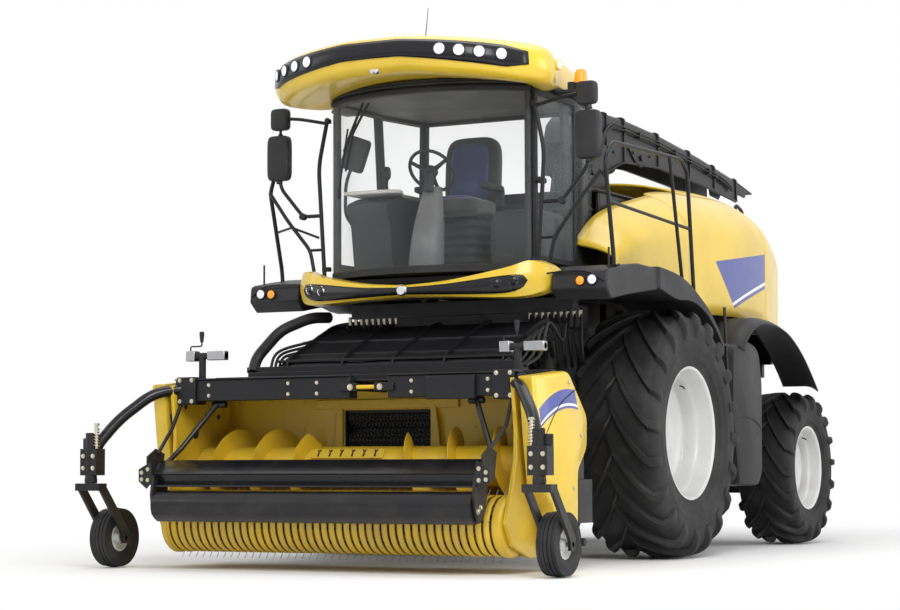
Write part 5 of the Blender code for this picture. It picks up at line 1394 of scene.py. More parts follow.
@dataclass
class PressFrame:
    """The crop press: folded plate, end brackets, struts and the eight-sided roller."""

    y: float = -3.235
    roller_z: float = 0.475
    roller_r: float = 0.12
    half: float = 1.33

    def hood(self) -> Form:
        """Return the folded plate over the roller."""
        y = self.y
        return plate("X", -1.366, 1.366, [(y + 0.14, 0.8), (y + 0.1, 0.812), (y + 0.085, 0.812),
            (y - 0.075, 0.712), (y - 0.06, 0.705), (y - 0.02, 0.712), (y + 0.0, 0.64), (y - 0.055, 0.628),
            (y - 0.06, 0.614), (y + 0.03, 0.62), (y + 0.03, 0.66), (y + 0.02, 0.715), (y + 0.1, 0.78)])

    def roller(self) -> Form:
        """Return the roller: eight flats with softened corners between two end discs."""
        corners = np.radians(22.5 + 8 + 45.0 * np.arange(8))
        ring = []
        for a in corners:
            for d in (-0.045, 0.045):
                ring.append((self.y + self.roller_r * math.cos(a + d),
                    self.roller_z + self.roller_r * math.sin(a + d)))
        return plate("X", -self.half, self.half, ring)

    def build(self) -> None:
        """Make the press frame's pieces."""
        y = self.y
        place("press_plate", self.hood(), Finish.BLACK_GLOSS, "windguard", bevel=0.003,
            stands_for=["windguard"])
        place("press_roller", self.roller(), Finish.BLACK_GLOSS, "crop_roller", bevel=0.002,
            stands_for=["crop_roller"])
        caps = lathe((0.0, y, self.roller_z), "X", [(self.half - 0.002, 0.0), (self.half - 0.002, 0.112),
            (self.half + 0.003, 0.112), (self.half + 0.004, 0.05), (self.half + 0.0055, 0.0)], 40)
        place("roller_caps", caps.both(), Finish.BLACK, "crop_roller")
        ends = plate("X", self.half + 0.007, self.half + 0.027, [(y + 0.12, 0.8), (y + 0.02, 0.79),
            (y - 0.065, 0.7), (y - 0.09, 0.56), (y - 0.075, 0.45), (y - 0.03, 0.375), (y + 0.04, 0.385),
            (y + 0.09, 0.48), (y + 0.13, 0.65)])
        wing = plate("Y", y - 0.075, y - 0.06, [(1.345, 0.66), (1.365, 0.8), (1.47, 0.745), (1.47, 0.655),
            (1.4, 0.6)])
        tab = plate("X", 1.395, 1.41, [(y - 0.06, 0.62), (y - 0.06, 0.84), (y + 0.05, 0.9), (y + 0.16, 0.86),
            (y + 0.12, 0.66)])
        struts = sweep(np.array([(1.335, y + 0.1, 0.79), (1.31, y + 0.25, 0.9), (1.11, -2.8, 1.235)]), 0.02, 12)
        brace = sweep(np.array([(1.39, y + 0.06, 0.86), (1.42, -2.95, 1.05), (1.41, -2.83, 1.26)]), 0.014, 10)
        pivot = drum((0.0, -2.78, 1.232), "X", 1.04, 1.16, 0.026, 16)
        place("press_ends", joined([ends, wing, tab]).both(), Finish.BLACK, "windguard", bevel=0.004)
        place("press_struts", joined([struts, pivot]).both(), Finish.BLACK_GLOSS, "windguard", sharp=60)
        place("press_braces", brace.both(), Finish.BLACK, "header", sharp=60)
        heads = bolts([(x, y - 0.075, z) for x, z in ((1.385, 0.745), (1.385, 0.665), (1.44, 0.72),
            (1.44, 0.67))], "Y", -0.012, 0.012)
        heads = (heads + bolts([(1.357, y + 0.03, 0.68), (1.357, y - 0.04, 0.45), (1.357, y, self.roller_z)],
            "X", 0.014, 0.016))
        place("press_bolts", heads.both(), Finish.ZINC, "windguard")


@dataclass
class Feeder:
    """The intake house: its cover sheets, the toothed feed rolls and the hoses at its sides."""

    front: float = -2.0897

    def build(self) -> None:
        """Make the intake's pieces."""
        line = curve([(-2.03, 1.5), (-2.01, 1.58), (-1.7, 1.72), (-1.42, 1.84), (-1.26, 1.87), (-1.2, 1.8)], 5)
        x = np.linspace(-1.02, 1.02, 18)
        shape = 0.012 * np.cos(x * 9.0)
        points = spread(x[None], line[:, :1], line[:, 1:] + shape[None] * 0.4)
        place("intake_cover", grid(points), Finish.BLACK, "header", sheet=0.006, offset=0.0)
        ribs = [ribbon(np.column_stack([np.full(len(line), s), line[:, 0], line[:, 1] + 0.012]), 0.045, 0.014,
            (1, 0, 0)) for s in (-0.95, -0.45, 0.0, 0.45, 0.95)]
        ribs += [brick((-1.05, 1.05), (y0, y0 + 0.03), (z0, z0 + 0.022)) for y0, z0 in ((-2.05, 1.575),
            (-1.92, 1.625), (-1.66, 1.74))]
        ribs += [brick((-1.25, 1.15), (-2.16, -2.03), (1.44, 1.5)), brick((-1.3, 1.1), (-2.1, -2.0),
            (1.5, 1.545))]
        place("intake_ribs", joined(ribs), Finish.BLACK, "header", bevel=0.004)
        rolls = []
        teeth = np.arange(24)
        for y, z in ((-2.045, 1.135), (-1.975, 1.03), (-2.045, 0.955)):
            a = 2.0 * math.pi * np.arange(40) / 40
            r = np.where(np.arange(40) % 4 < 2, 0.058, 0.045)
            ring = [(y + rr * math.cos(t), z + rr * math.sin(t)) for rr, t in zip(r, a)]
            slices = []
            for k in teeth:
                low = -0.365 + 0.0304 * k
                slices.append(plate("X", low, low + 0.019, ring).spun((0.0, y, z), "X", 0.12 * (k % 2)))
            rolls.append(joined(slices) + drum((0.0, y, z), "X", -0.37, 0.37, 0.04, 16))
        place("feed_roll_teeth", rolls[1], Finish.IRON, "feed_roll", stands_for=["feed_roll"])
        place("feed_roll_upper", rolls[0], Finish.IRON, "header")
        place("feed_roll_lower", rolls[2], Finish.IRON, "header")
        self.hoses()

    def flexible(self, name: str, form: Form) -> None:
        """Place hoses that start on the header and end under the cab, and bend between the two."""
        place(name, form, Finish.HOSE, "header", sharp=60, bend=("machine", (0.0, -2.0, 1.56),
            (0.0, -1.55, 1.9)))

    def hoses(self) -> None:
        """Make the big bent pipe on the right and the bundles of hydraulic hose on both sides."""
        big = filleted([(-1.24, -2.1, 1.5), (-1.26, -2.02, 1.62), (-1.1, -1.92, 1.84), (-0.95, -1.7, 1.95),
            (-0.9, -1.5, 1.96)], 0.09, 7)
        self.flexible("drive_pipe", sweep(big, 0.045, 18))
        bundle = []
        for k in range(5):
            x = 0.98 + 0.045 * k
            bundle.append(sweep(curve([(x, -2.1, 1.46 + 0.01 * k), (x + 0.02, -2.0 + 0.03 * k, 1.6),
                (x + 0.03, -1.75, 1.72 + 0.03 * k), (x, -1.45, 1.72), (x - 0.04, -1.3, 1.86)], 7), 0.012, 8))
        self.flexible("header_hoses_left", joined(bundle))
        bundle = [sweep(curve([(-0.98 - 0.04 * k, -2.08, 1.47), (-1.02 - 0.03 * k, -1.95, 1.6 + 0.02 * k),
            (-0.98, -1.7, 1.66 + 0.03 * k), (-0.96, -1.45, 1.8)], 7), 0.012, 8) for k in range(4)]
        self.flexible("header_hoses_right", joined(bundle))


# Cab

def pillow(centre: Point, size: Point, power: float = 0.35, rows: int = 24, columns: int = 48) -> Form:
    """Return a crowned block: a ball whose sines and cosines are raised to a power below one, which squares it."""
    round_x, round_y = squared(np.linspace(-math.pi, math.pi, columns, endpoint=False), power)
    out, up = squared(np.linspace(-math.pi / 2, math.pi / 2, rows)[:, None], power)
    points = spread(size[0] / 2 * out * round_x, size[1] / 2 * out * round_y, size[2] / 2 * up)
    return grid(points + np.asarray(centre), wrap_v=True)


@dataclass
class CabShell:
    """The hollow cab: sill, pillars, header ring, floor, panes, door and wipers."""

    half: float = 0.9
    front: float = -1.45
    nose: float = -1.8
    back: float = -0.1
    floor: float = 2.26
    top: float = 3.738
    door_back: float = -0.66

    def arc(self, inset: float = 0.0, count: int = 25) -> Array:
        """Return the windscreen's plan: x = half * sin a / sin 50, and y falls to the nose as cos a grows."""
        a = np.radians(np.linspace(-50.0, 50.0, count))
        low = math.cos(math.radians(50.0))
        bow = (np.cos(a) - low) / (1.0 - low)
        return np.stack([(self.half - inset) * np.sin(a) / math.sin(math.radians(50.0)),
            self.front + inset * 0.6 + (self.nose - self.front + inset * 0.4) * bow], -1)

    def plan(self, inset: float = 0.0) -> Array:
        """Return the whole plan, front arc first."""
        rear = np.array([(self.half - inset, self.door_back), (0.8 - inset, self.back - inset),
            (-0.8 + inset, self.back - inset), (-self.half + inset, self.door_back)])
        return np.vstack([self.arc(inset), rear])

    def ring(self, low: float, high: float, outer: float, inner: float) -> Form:
        """Return a frame that follows the plan between two heights and two insets."""
        rows = [np.column_stack([self.plan(inset), np.full(29, z)]) for inset,
            z in ((outer, low), (outer, high), (inner, high), (inner, low))]
        return grid(np.stack(rows), wrap_u=True, wrap_v=True)

    def build(self) -> None:
        """Make the cab's pieces."""
        ground = plate("Z", self.floor, self.floor + 0.04, self.plan(0.02))
        place("cab_floor", ground, Finish.GREY, stands_for=["cab_body"])
        place("cab_sill", self.ring(self.floor, self.floor + 0.06, 0.0, 0.07), Finish.DARK_TRIM, bevel=0.004)
        place("cab_header", self.ring(3.685, self.top, 0.0, 0.08), Finish.DARK_TRIM, bevel=0.004)
        liner = plate("Z", 3.712, 3.734, self.plan(0.06))
        place("cab_headliner", liner, Finish.MID_GREY)
        self.pillars()
        self.panes()
        self.door()
        self.wipers()

    def pillars(self) -> None:
        """Make the slim front pillars, the wide door pillars, the rear corners and the rear wall."""
        def post(x: float, y: float, top_x: float, top_y: float, wide: float, deep: float) -> Form:
            """Return a leaning post with a rounded section."""
            z = np.linspace(self.floor + 0.02, 3.72, 12)
            t = (z - z[0]) / (z[-1] - z[0])
            a = circle(16)
            cx, cy = x + (top_x - x) * t, y + (top_y - y) * t
            square = squared(a, 0.5)
            points = spread(cx[:, None] + wide / 2 * square[0], cy[:, None] + deep / 2 * square[1], z[:, None])
            return grid(points, wrap_v=True, caps=True)

        front = post(0.868, self.front + 0.03, 0.868, self.front + 0.03, 0.05, 0.07)
        door = post(0.862, self.door_back + 0.03, 0.862, self.door_back - 0.1, 0.06, 0.085)
        rear = post(0.765, self.back - 0.05, 0.745, self.back - 0.05, 0.07, 0.08)
        place("cab_pillars", (front + rear).both(), Finish.DARK_TRIM)
        place("door_pillars", door.both(), Finish.GREY)
        wall = (brick((-0.74, 0.74), (self.back - 0.07, self.back - 0.03), (self.floor + 0.02, 2.86))
            + brick((-0.74, 0.74), (self.back - 0.08, self.back - 0.02), (2.84, 2.9)))
        place("cab_rear_wall", wall, Finish.GREY, bevel=0.008)
        trim = [plate("X", s * 0.84, s * 0.87, [(self.door_back, self.floor + 0.04),
            (self.back - 0.06, self.floor + 0.04), (self.back - 0.06, 2.52), (self.door_back, 2.6)])
            for s in (1, -1)]
        side = brick((-0.885, -0.855), (self.front + 0.05, self.door_back), (self.floor + 0.04, 2.4))
        place("cab_side_trim", joined(trim + [side]), Finish.GREY, bevel=0.006)

    def panes(self) -> None:
        """Make the bowed windscreen and the flat panes, which are bonded over the frame."""
        plan = self.arc(-0.004, 33)
        z = np.linspace(self.floor + 0.05, 3.715, 14)
        points = spread(plan[None, :, 0], plan[None, :, 1], z[:, None])
        place("windscreen", grid(points), Finish.GLASS, sheet=0.006, stands_for=["windshield"])
        band = spread(plan[None, :, 0] * 1.002, plan[None, :, 1] - 0.002, np.array([[3.682], [3.73]]))
        place("windscreen_band", grid(band), Finish.DARK_TRIM, sheet=0.003)
        wrap = np.array([(-0.904, self.front + 0.03), (-0.904, self.door_back), (-0.804, self.back + 0.004),
            (0.804, self.back + 0.004), (0.904, self.door_back + 0.012)])
        points = spread(wrap[None, :, 0], wrap[None, :, 1], np.array([[2.36], [3.7]]))
        place("side_panes", grid(points), Finish.GLASS, sheet=0.006, offset=1.0, sharp=20,
            stands_for=["windows_bonded"])

    def door(self) -> None:
        """Make the left door: black frame, pane, handle and hinges."""
        y0, y1, z0, z1, x = self.front + 0.02, self.door_back - 0.005, 2.35, 3.7, 0.918
        outer = np.array([(y0, z0), (y1, z0), (y1, z1), (y0, z1)])
        inner = np.array([(y0 + 0.045, z0 + 0.045), (y1 - 0.045, z0 + 0.045), (y1 - 0.045, z1 - 0.045),
            (y0 + 0.045, z1 - 0.045)])
        rows = [np.column_stack([np.full(4, px), line]) for px, line in ((x - 0.014, outer), (x + 0.014, outer),
            (x + 0.014, inner), (x - 0.014, inner))]
        place("door_frame", grid(np.stack(rows), wrap_u=True, wrap_v=True), Finish.DARK_TRIM, "cab_door",
            bevel=0.004, stands_for=["cab_door"])
        pane = plate("X", x - 0.003, x + 0.003, [(y0 + 0.03, z0 + 0.03), (y1 - 0.03, z0 + 0.03),
            (y1 - 0.03, z1 - 0.03), (y0 + 0.03, z1 - 0.03)])
        place("door_pane", pane, Finish.GLASS, "cab_door")
        handle = (pillow((x + 0.032, y0 + 0.06, 2.98), (0.045, 0.16, 0.05), 0.6) + brick((x, x + 0.03),
            (y0 + 0.02, y0 + 0.07), (2.96, 3.0)))
        place("door_handle", handle, Finish.DARK_TRIM, "cab_door")
        hinges = [drum((x + 0.006, y1 - 0.005, 0.0), "Z", z, z + 0.09, 0.014, 12) for z in (2.55, 3.35)]
        place("door_hinges", joined(hinges), Finish.DARK_TRIM, "cab_door")

    def wipers(self) -> None:
        """Make the two wipers that hang from the header over the screen's right half."""
        forms = []
        for top, low, reach in (((-0.42, 3.64), (-0.66, 3.28), 0.36), ((-0.36, 3.63), (-0.55, 3.4), 0.28)):
            x = np.linspace(top[0], low[0], 6)
            z = np.linspace(top[1], low[1], 6)
            y = np.interp(x, self.arc()[:, 0], self.arc()[:, 1]) - 0.035
            forms.append(sweep(np.column_stack([x, y, z]), 0.011, 8))
            bx = np.linspace(low[0] + 0.04, low[0] - 0.1, 8)
            bz = np.linspace(low[1] + reach / 2, low[1] - reach, 8)
            by = np.interp(bx, self.arc()[:, 0], self.arc()[:, 1]) - 0.02
            forms.append(sweep(np.column_stack([bx, by, bz]), 0.008, 8))
        place("wipers", joined(forms), Finish.DARK_TRIM)


@dataclass
class CabInside:
    """The seat, its suspension, the console, the screen and the steering column."""

    floor: float = 2.3
    seat_x: float = -0.03
    pad_fill: float = 0.8

    def build(self) -> None:
        """Make what stands in the cab."""
        self.seat()
        self.console()
        self.steering()

    def seat(self) -> None:
        """Make the seat: dark shell, blue pads, arm rests and the ribbed suspension."""
        x = self.seat_x
        shell = pillow((x, -0.635, 3.17), (0.5, 0.13, 0.62), 0.45).spun((x, -0.62, 2.88), "X", math.radians(-4))
        place("seat_shell", shell, Finish.DARK_CLOTH, sharp=60, stands_for=["seat_console"])
        back = pillow((x, -0.695, 3.15), (0.37, 0.1, 0.54), 0.5).spun((x, -0.66, 2.88), "X", math.radians(-4))
        waist = 1.0 - 0.1 * np.cos((back.points[:, 2:] - 3.15) * 6.0)
        back = Form(np.hstack([x + (back.points[:, :1] - x) * waist, back.points[:, 1:]]), back.faces)
        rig.padded(place("seat_back_pad", back, Finish.BLUE_CLOTH, sharp=60), fill=self.pad_fill)
        cushion = pillow((x, -0.88, 2.86), (0.52, 0.5, 0.15), 0.45)
        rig.padded(place("seat_cushion", cushion, Finish.DARK_CLOTH, sharp=60), fill=self.pad_fill)
        crown = pillow((x, -0.89, 2.905), (0.36, 0.42, 0.1), 0.5)
        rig.padded(place("seat_cushion_insert", crown, Finish.BLUE_CLOTH, sharp=60), fill=self.pad_fill)
        turn = circle(40)[None]
        z = np.linspace(self.floor + 0.03, 2.78, 33)[:, None]
        swell = 1.0 - 0.07 * (0.5 + 0.5 * np.cos((z - self.floor) * 2.0 * math.pi / 0.075))
        across, along = squared(turn, 0.5)
        points = spread(x + across * 0.22 * swell, -0.8 + along * 0.19 * swell, z)
        place("seat_suspension", grid(points, wrap_v=True, caps=True), Finish.DARK_TRIM)
        arms = [pillow((at, -0.87, 3.02), (0.075, 0.36, 0.06), 0.5) for at in (0.27, -0.335)]
        arms += [brick((at - 0.02, at + 0.02), (-0.73, -0.68), (2.88, 3.02)) for at in (0.27, -0.335)]
        place("seat_arms", joined(arms), Finish.DARK_TRIM)

    def console(self) -> None:
        """Make the right console with its light top, the lever, and the screen on its bent stalk."""
        body = plate("X", -0.79, -0.42,
            filleted([(0, y, z) for y, z in [(-1.28, self.floor + 0.01), (-1.34, 2.7), (-1.42, 2.88),
            (-1.22, 2.95), (-0.58, 2.95), (-0.56, self.floor + 0.01)]], 0.05, 4)[:, 1:])
        place("console_body", body, Finish.GREY, bevel=0.01)
        top = plate("Z", 2.955, 2.985, filleted([(-0.8, -1.44, 0), (-0.42, -1.44, 0), (-0.3, -1.36, 0),
            (-0.36, -1.22, 0), (-0.44, -1.1, 0), (-0.44, -0.6, 0), (-0.8, -0.6, 0)], 0.05, 4)[:, :2])
        place("console_top", top, Finish.LIGHT_GREY, bevel=0.008)
        lever = (sweep(curve([(-0.52, -1.2, 2.98), (-0.52, -1.22, 3.05), (-0.5, -1.24, 3.1)]), 0.013, 10)
            + pillow((-0.5, -1.25, 3.14), (0.06, 0.07, 0.11), 0.7))
        place("drive_lever", lever, Finish.DARK_TRIM)
        stalk = sweep(filleted([(-0.8, -1.1, 2.62), (-0.83, -1.36, 2.8), (-0.8, -1.4, 3.06),
            (-0.74, -1.4, 3.2)], 0.08, 6), 0.014, 10)
        screen = pillow((-0.7, -1.41, 3.29), (0.21, 0.06, 0.28), 0.25).spun((-0.7, -1.4, 3.29), "Y",
            math.radians(20))
        place("screen_stalk", stalk, Finish.DARK_TRIM)
        place("screen_case", screen, Finish.DARK_TRIM)
        glass = brick((-0.78, -0.62), (-1.372, -1.368), (3.18, 3.4)).spun((-0.7, -1.4, 3.29), "Y",
            math.radians(20))
        place("screen_glass", glass, Finish.BLACK_GLOSS, bevel=0.001)
        box = pillow((0.56, -0.8, 2.56), (0.44, 0.62, 0.5), 0.3)
        place("cab_side_box", box, Finish.GREY)
        mat = brick((-0.42, 0.8), (-1.5, -1.02), (self.floor, self.floor + 0.016))
        place("floor_mat", mat, Finish.DARK_TRIM, bevel=0.004)

    def steering(self) -> None:
        """Make the tapered column and the three-spoke wheel, whose rim is a torus."""
        z = np.linspace(self.floor + 0.005, 2.98, 14)
        t = (z - z[0]) / (z[-1] - z[0])
        turn = circle(24)
        wide = 0.13 - 0.06 * t + 0.02 * np.sin(math.pi * t)
        deep = 0.12 - 0.07 * t
        across, along = squared(turn, 0.6)
        points = spread(wide[:, None] * across, (-1.5 + 0.12 * t**1.5)[:, None] + deep[:, None] * along,
            z[:, None])
        place("steering_tower", grid(points, wrap_v=True, caps=True), Finish.MID_GREY,
            stands_for=["steering_column"])
        centre = (0.01, -1.42, 3.11)
        a = circle(48)[:, None]
        b = circle(12)[None]
        r = 0.19 + 0.014 * np.cos(b)
        points = spread(r * np.cos(a), r * np.sin(a), 0.014 * np.sin(b)) + np.asarray(centre)
        wheel = grid(points, wrap_u=True, wrap_v=True)
        for angle in (90.0, 210.0, 330.0):
            end = np.array([math.cos(math.radians(angle)), math.sin(math.radians(angle)), 0.0])
            path = (np.array([end * 0.04 + (0, 0, -0.02), end * 0.11 + (0, 0, -0.015), end * 0.186])
                + np.asarray(centre))
            wheel = wheel + ribbon(path, np.array([0.045, 0.032, 0.028]), 0.012, (0, 0, 1))
        hub = drum((0.01, -1.42, 0.0), "Z", 3.06, 3.115, 0.055, 24)
        whole = (wheel + hub).spun(centre, "X", math.radians(-50))
        place("steering_wheel", whole, Finish.DARK_TRIM, sharp=50)
        shaft = sweep(np.array([(0.005, -1.47, 2.94), (0.01, -1.455, 3.08)]), 0.04, 16)
        place("steering_shaft", shaft, Finish.DARK_TRIM)


def aimed(form: Form, spot: Point, facing: Point) -> Form:
    """Turn a form that faces -Y at the origin towards a direction, and move it to a spot."""
    turn = np.array(Vector((0.0, -1.0, 0.0)).rotation_difference(Vector(facing).normalized()).to_matrix())
    return Form(form.points @ turn.T + spot, list(form.faces))


@dataclass
class Lamp:
    """One round lamp: bezel, bright bowl and lens."""

    spot: Point
    facing: Point
    radius: float = 0.047

    def parts(self) -> tuple[Form, Form, Form]:
        """Return bezel, bowl and lens."""
        r = self.radius
        bezel = lathe((0, 0, 0), "Y", [(0.01, r * 0.95), (-0.012, r * 0.98), (-0.016, r * 1.08),
            (-0.01, r * 1.18), (0.012, r * 1.2)], 32, closed=True)
        bowl = lathe((0, 0, 0), "Y", [(-0.011, r * 0.96), (0.004, r * 0.86), (0.014, r * 0.62),
            (0.02, r * 0.34), (0.006, r * 0.3), (0.0, r * 0.22), (-0.002, 0.0)], 32)
        lens = lathe((0, 0, 0), "Y", [(-0.013, r * 0.97), (-0.017, r * 0.8), (-0.021, r * 0.45), (-0.022, 0.0)],
            32)
        return tuple(aimed(form, self.spot, self.facing) for form in (bezel, bowl, lens))


def place_lamps(name: str, lamps: Sequence[Lamp], bezel: Finish = Finish.DARK_TRIM,
        bowl: Finish = Finish.CHROME, lens: Finish = Finish.LENS) -> None:
    """Make the pieces of a group of lamps.

    Args:
        name: start of the pieces' names.
        lamps: the lamps.
        bezel: finish of the rims.
        bowl: finish of the bowls.
        lens: finish of the lenses.
    """
    sets = list(zip(*(lamp.parts() for lamp in lamps)))
    place(f"{name}_bezels", joined(sets[0]), bezel)
    place(f"{name}_bowls", joined(sets[1]), bowl)
    place(f"{name}_lenses", joined(sets[2]), lens)


@dataclass
class Roof:
    """The domed roof with its black visor, lamps, beacon and antenna."""

    PLAN = [(0.0, -2.4), (0.35, -2.39), (0.62, -2.34), (0.88, -2.22), (1.08, -2.02), (1.205, -1.78),
        (1.15, -1.5), (0.98, -1.1), (0.86, -0.6), (0.74, -0.14), (0.6, -0.04), (0.36, 0.0), (0.0, 0.01)]
    LEVELS = [
        # place, z, inset, share of the front's overhang, drop of the corners
        (-0.6, 3.79, 0.45, 0.60, 0.03), (-0.3, 3.755, 0.16, 0.88, 0.08), (0.0, 3.775, 0.05, 0.955, 0.10),
        (0.3, 3.83, 0.01, 0.985, 0.10), (0.6, 3.90, 0.0, 1.0, 0.10), (1.0, 3.985, 0.02, 0.985, 0.09),
        (1.25, 4.03, 0.09, 0.93, 0.07),
        (1.6, 4.055, 0.30, 0.76, 0.03), (2.0, 4.068, 0.60, 0.45, 0.0), (2.4, 4.072, 0.95, 0.10, 0.0)]

    def skin(self, plan: Array, level: Array) -> Array:
        """Place points of the roof's skin.

        From the plan's edge a point moves in by the level's inset in x and towards the roof's
        middle in y, and sinks at the front corners.

        Args:
            plan: (x, y) of the edge, x at least 0.
            level: places in the table of levels.

        Returns:
            Points, as many as both have.
        """
        z, inset, share, drop = np.moveaxis(between(self.LEVELS, level), -1, 0)
        x, y = plan[..., 0], plan[..., 1]
        ahead = np.clip((-0.9 - y) / 0.6, 0.0, 1.0)
        ahead = ahead * ahead * (3 - 2 * ahead)
        sag = drop * np.maximum(0.0, x - 0.25)
        px = x * (1.0 - inset * np.minimum(1.0, x) / np.maximum(x, 1e-6) * 0.95)
        py = -0.9 + (y + 0.9) * (ahead * share + (1 - ahead) * (1.0 - inset * 0.4))
        return np.stack([np.maximum(px, 0.0), py, z - sag * (0.25 + 0.75 * ahead)], -1)

    def shell(self) -> Form:
        """Return the roof's shell."""
        plan = curve(self.PLAN, 6)[None]
        level = np.linspace(-0.6, 2.4, 40)[:, None]
        half = self.skin(np.broadcast_to(plan, (40, *plan.shape[1:])),
            np.broadcast_to(level, (40, plan.shape[1])))
        other = half[:, -2:0:-1] * (-1.0, 1.0, 1.0)
        return grid(np.concatenate([half, other], 1), wrap_v=True, caps=True)

    def front(self, x: Array, level: Array) -> Array:
        """Return points of the front skin at signed x, found on the plan's front run."""
        plan = curve(self.PLAN[:7], 8)
        y = np.interp(np.abs(x), plan[:, 0], plan[:, 1])
        points = self.skin(np.stack([np.abs(x), y], -1), level)
        return points * np.stack([np.where(x < 0, -1.0, 1.0), np.ones_like(x), np.ones_like(x)], -1)

    def visor(self) -> Form:
        """Return the black band on the roof's front, which tapers towards its ends."""
        x = np.linspace(-1.13, 1.13, 61)
        v = np.linspace(0.0, 1.0, 7)[:, None]
        end = np.clip((1.13 - np.abs(x)) / 0.12, 0.0, 1.0)
        low = 0.36 + 0.18 * (1.0 - end) + 0.06 * np.cos(x * 2.5)
        high = 1.03 - 0.12 * (1.0 - end)
        level = low + (high - low) * v
        points = self.front(np.broadcast_to(x, level.shape), level)
        out = unit(np.stack([points[..., 0] * 0.35, points[..., 1] + 1.2, np.zeros_like(level)], -1))
        return grid(points + out * 0.004)

    def lamp_at(self, x: float, radius: float, level: float = 0.7) -> Lamp:
        """Return a lamp that stands on the front skin at x."""
        spot = self.front(np.array([x, x + 0.02, x - 0.02]), np.full(3, level))
        along = spot[1] - spot[2]
        facing = np.array([along[1], -along[0], 0.0])
        facing *= math.copysign(1.0, -facing[1]) / np.linalg.norm(facing)
        centre = spot[0] + facing * 0.004
        return Lamp(tuple(centre), tuple(facing), radius)

    def build(self) -> None:
        """Make the roof's pieces."""
        place("roof_shell", self.shell(), Finish.YELLOW, sharp=60, stands_for=["roof"])
        place("roof_visor", self.visor(), Finish.BLACK_GLOSS, sheet=0.004, offset=1.0, sharp=60)
        lamps = [self.lamp_at(s * x, 0.043) for x in (0.58, 0.72, 0.855, 0.985) for s in (1, -1)]
        place_lamps("roof_lamps", lamps)
        corner = [self.lamp_at(s * 1.165, 0.036, 0.78) for s in (1, -1)]
        place_lamps("roof_corner_lamps", corner, Finish.YELLOW)
        under = drum((0.0, -2.3, 3.8), "Y", 0.03, -0.045, 0.048, 32, 0.25)
        place("roof_badge_bare", under, Finish.CHROME)
        seam = np.array([(x, y, 3.742) for x, y in CabShell().plan(-0.012)])
        seam = np.vstack([seam, seam[:1]])
        place("roof_seal", sweep(seam, 0.012, 8), Finish.DARK_TRIM)
        gutter = plate("Z", 3.74, 3.775, CabShell().plan(-0.015))
        place("roof_gutter", gutter, Finish.DARK_TRIM, bevel=0.008)
        mast = sweep(np.array([(0.0, -1.53, 4.045), (0.0, -1.5, 4.18), (0.0, -1.455, 4.42)]),
            np.array([0.008, 0.004, 0.0025]), 8)
        base = drum((0.0, -1.535, 0.0), "Z", 4.03, 4.07, 0.018, 16)
        place("antenna", mast + base, Finish.DARK_TRIM)
        for name, s in SIDES:
            bracket = (brick((0.86, 1.1), (-1.02, -0.88), (3.7, 3.735)) + brick((1.02, 1.08), (-1.02, -0.95),
                (3.73, 3.8)) + drum((1.12, -0.98, 0.0), "Z", 3.735, 3.79, 0.05, 20) + brick((0.86, 1.16),
                (-1.03, -0.93), (3.715, 3.74)))
            place(f"beacon_bracket_{name}", bracket.sided(s), Finish.DARK_TRIM, bevel=0.005)
            dome = lathe((1.12, -0.98, 0.0), "Z", [(3.79, 0.0), (3.79, 0.05), (3.8, 0.052), (3.87, 0.048),
                (3.895, 0.035), (3.905, 0.0)], 24)
            place(f"beacon_{name}", dome.sided(s), Finish.AMBER)


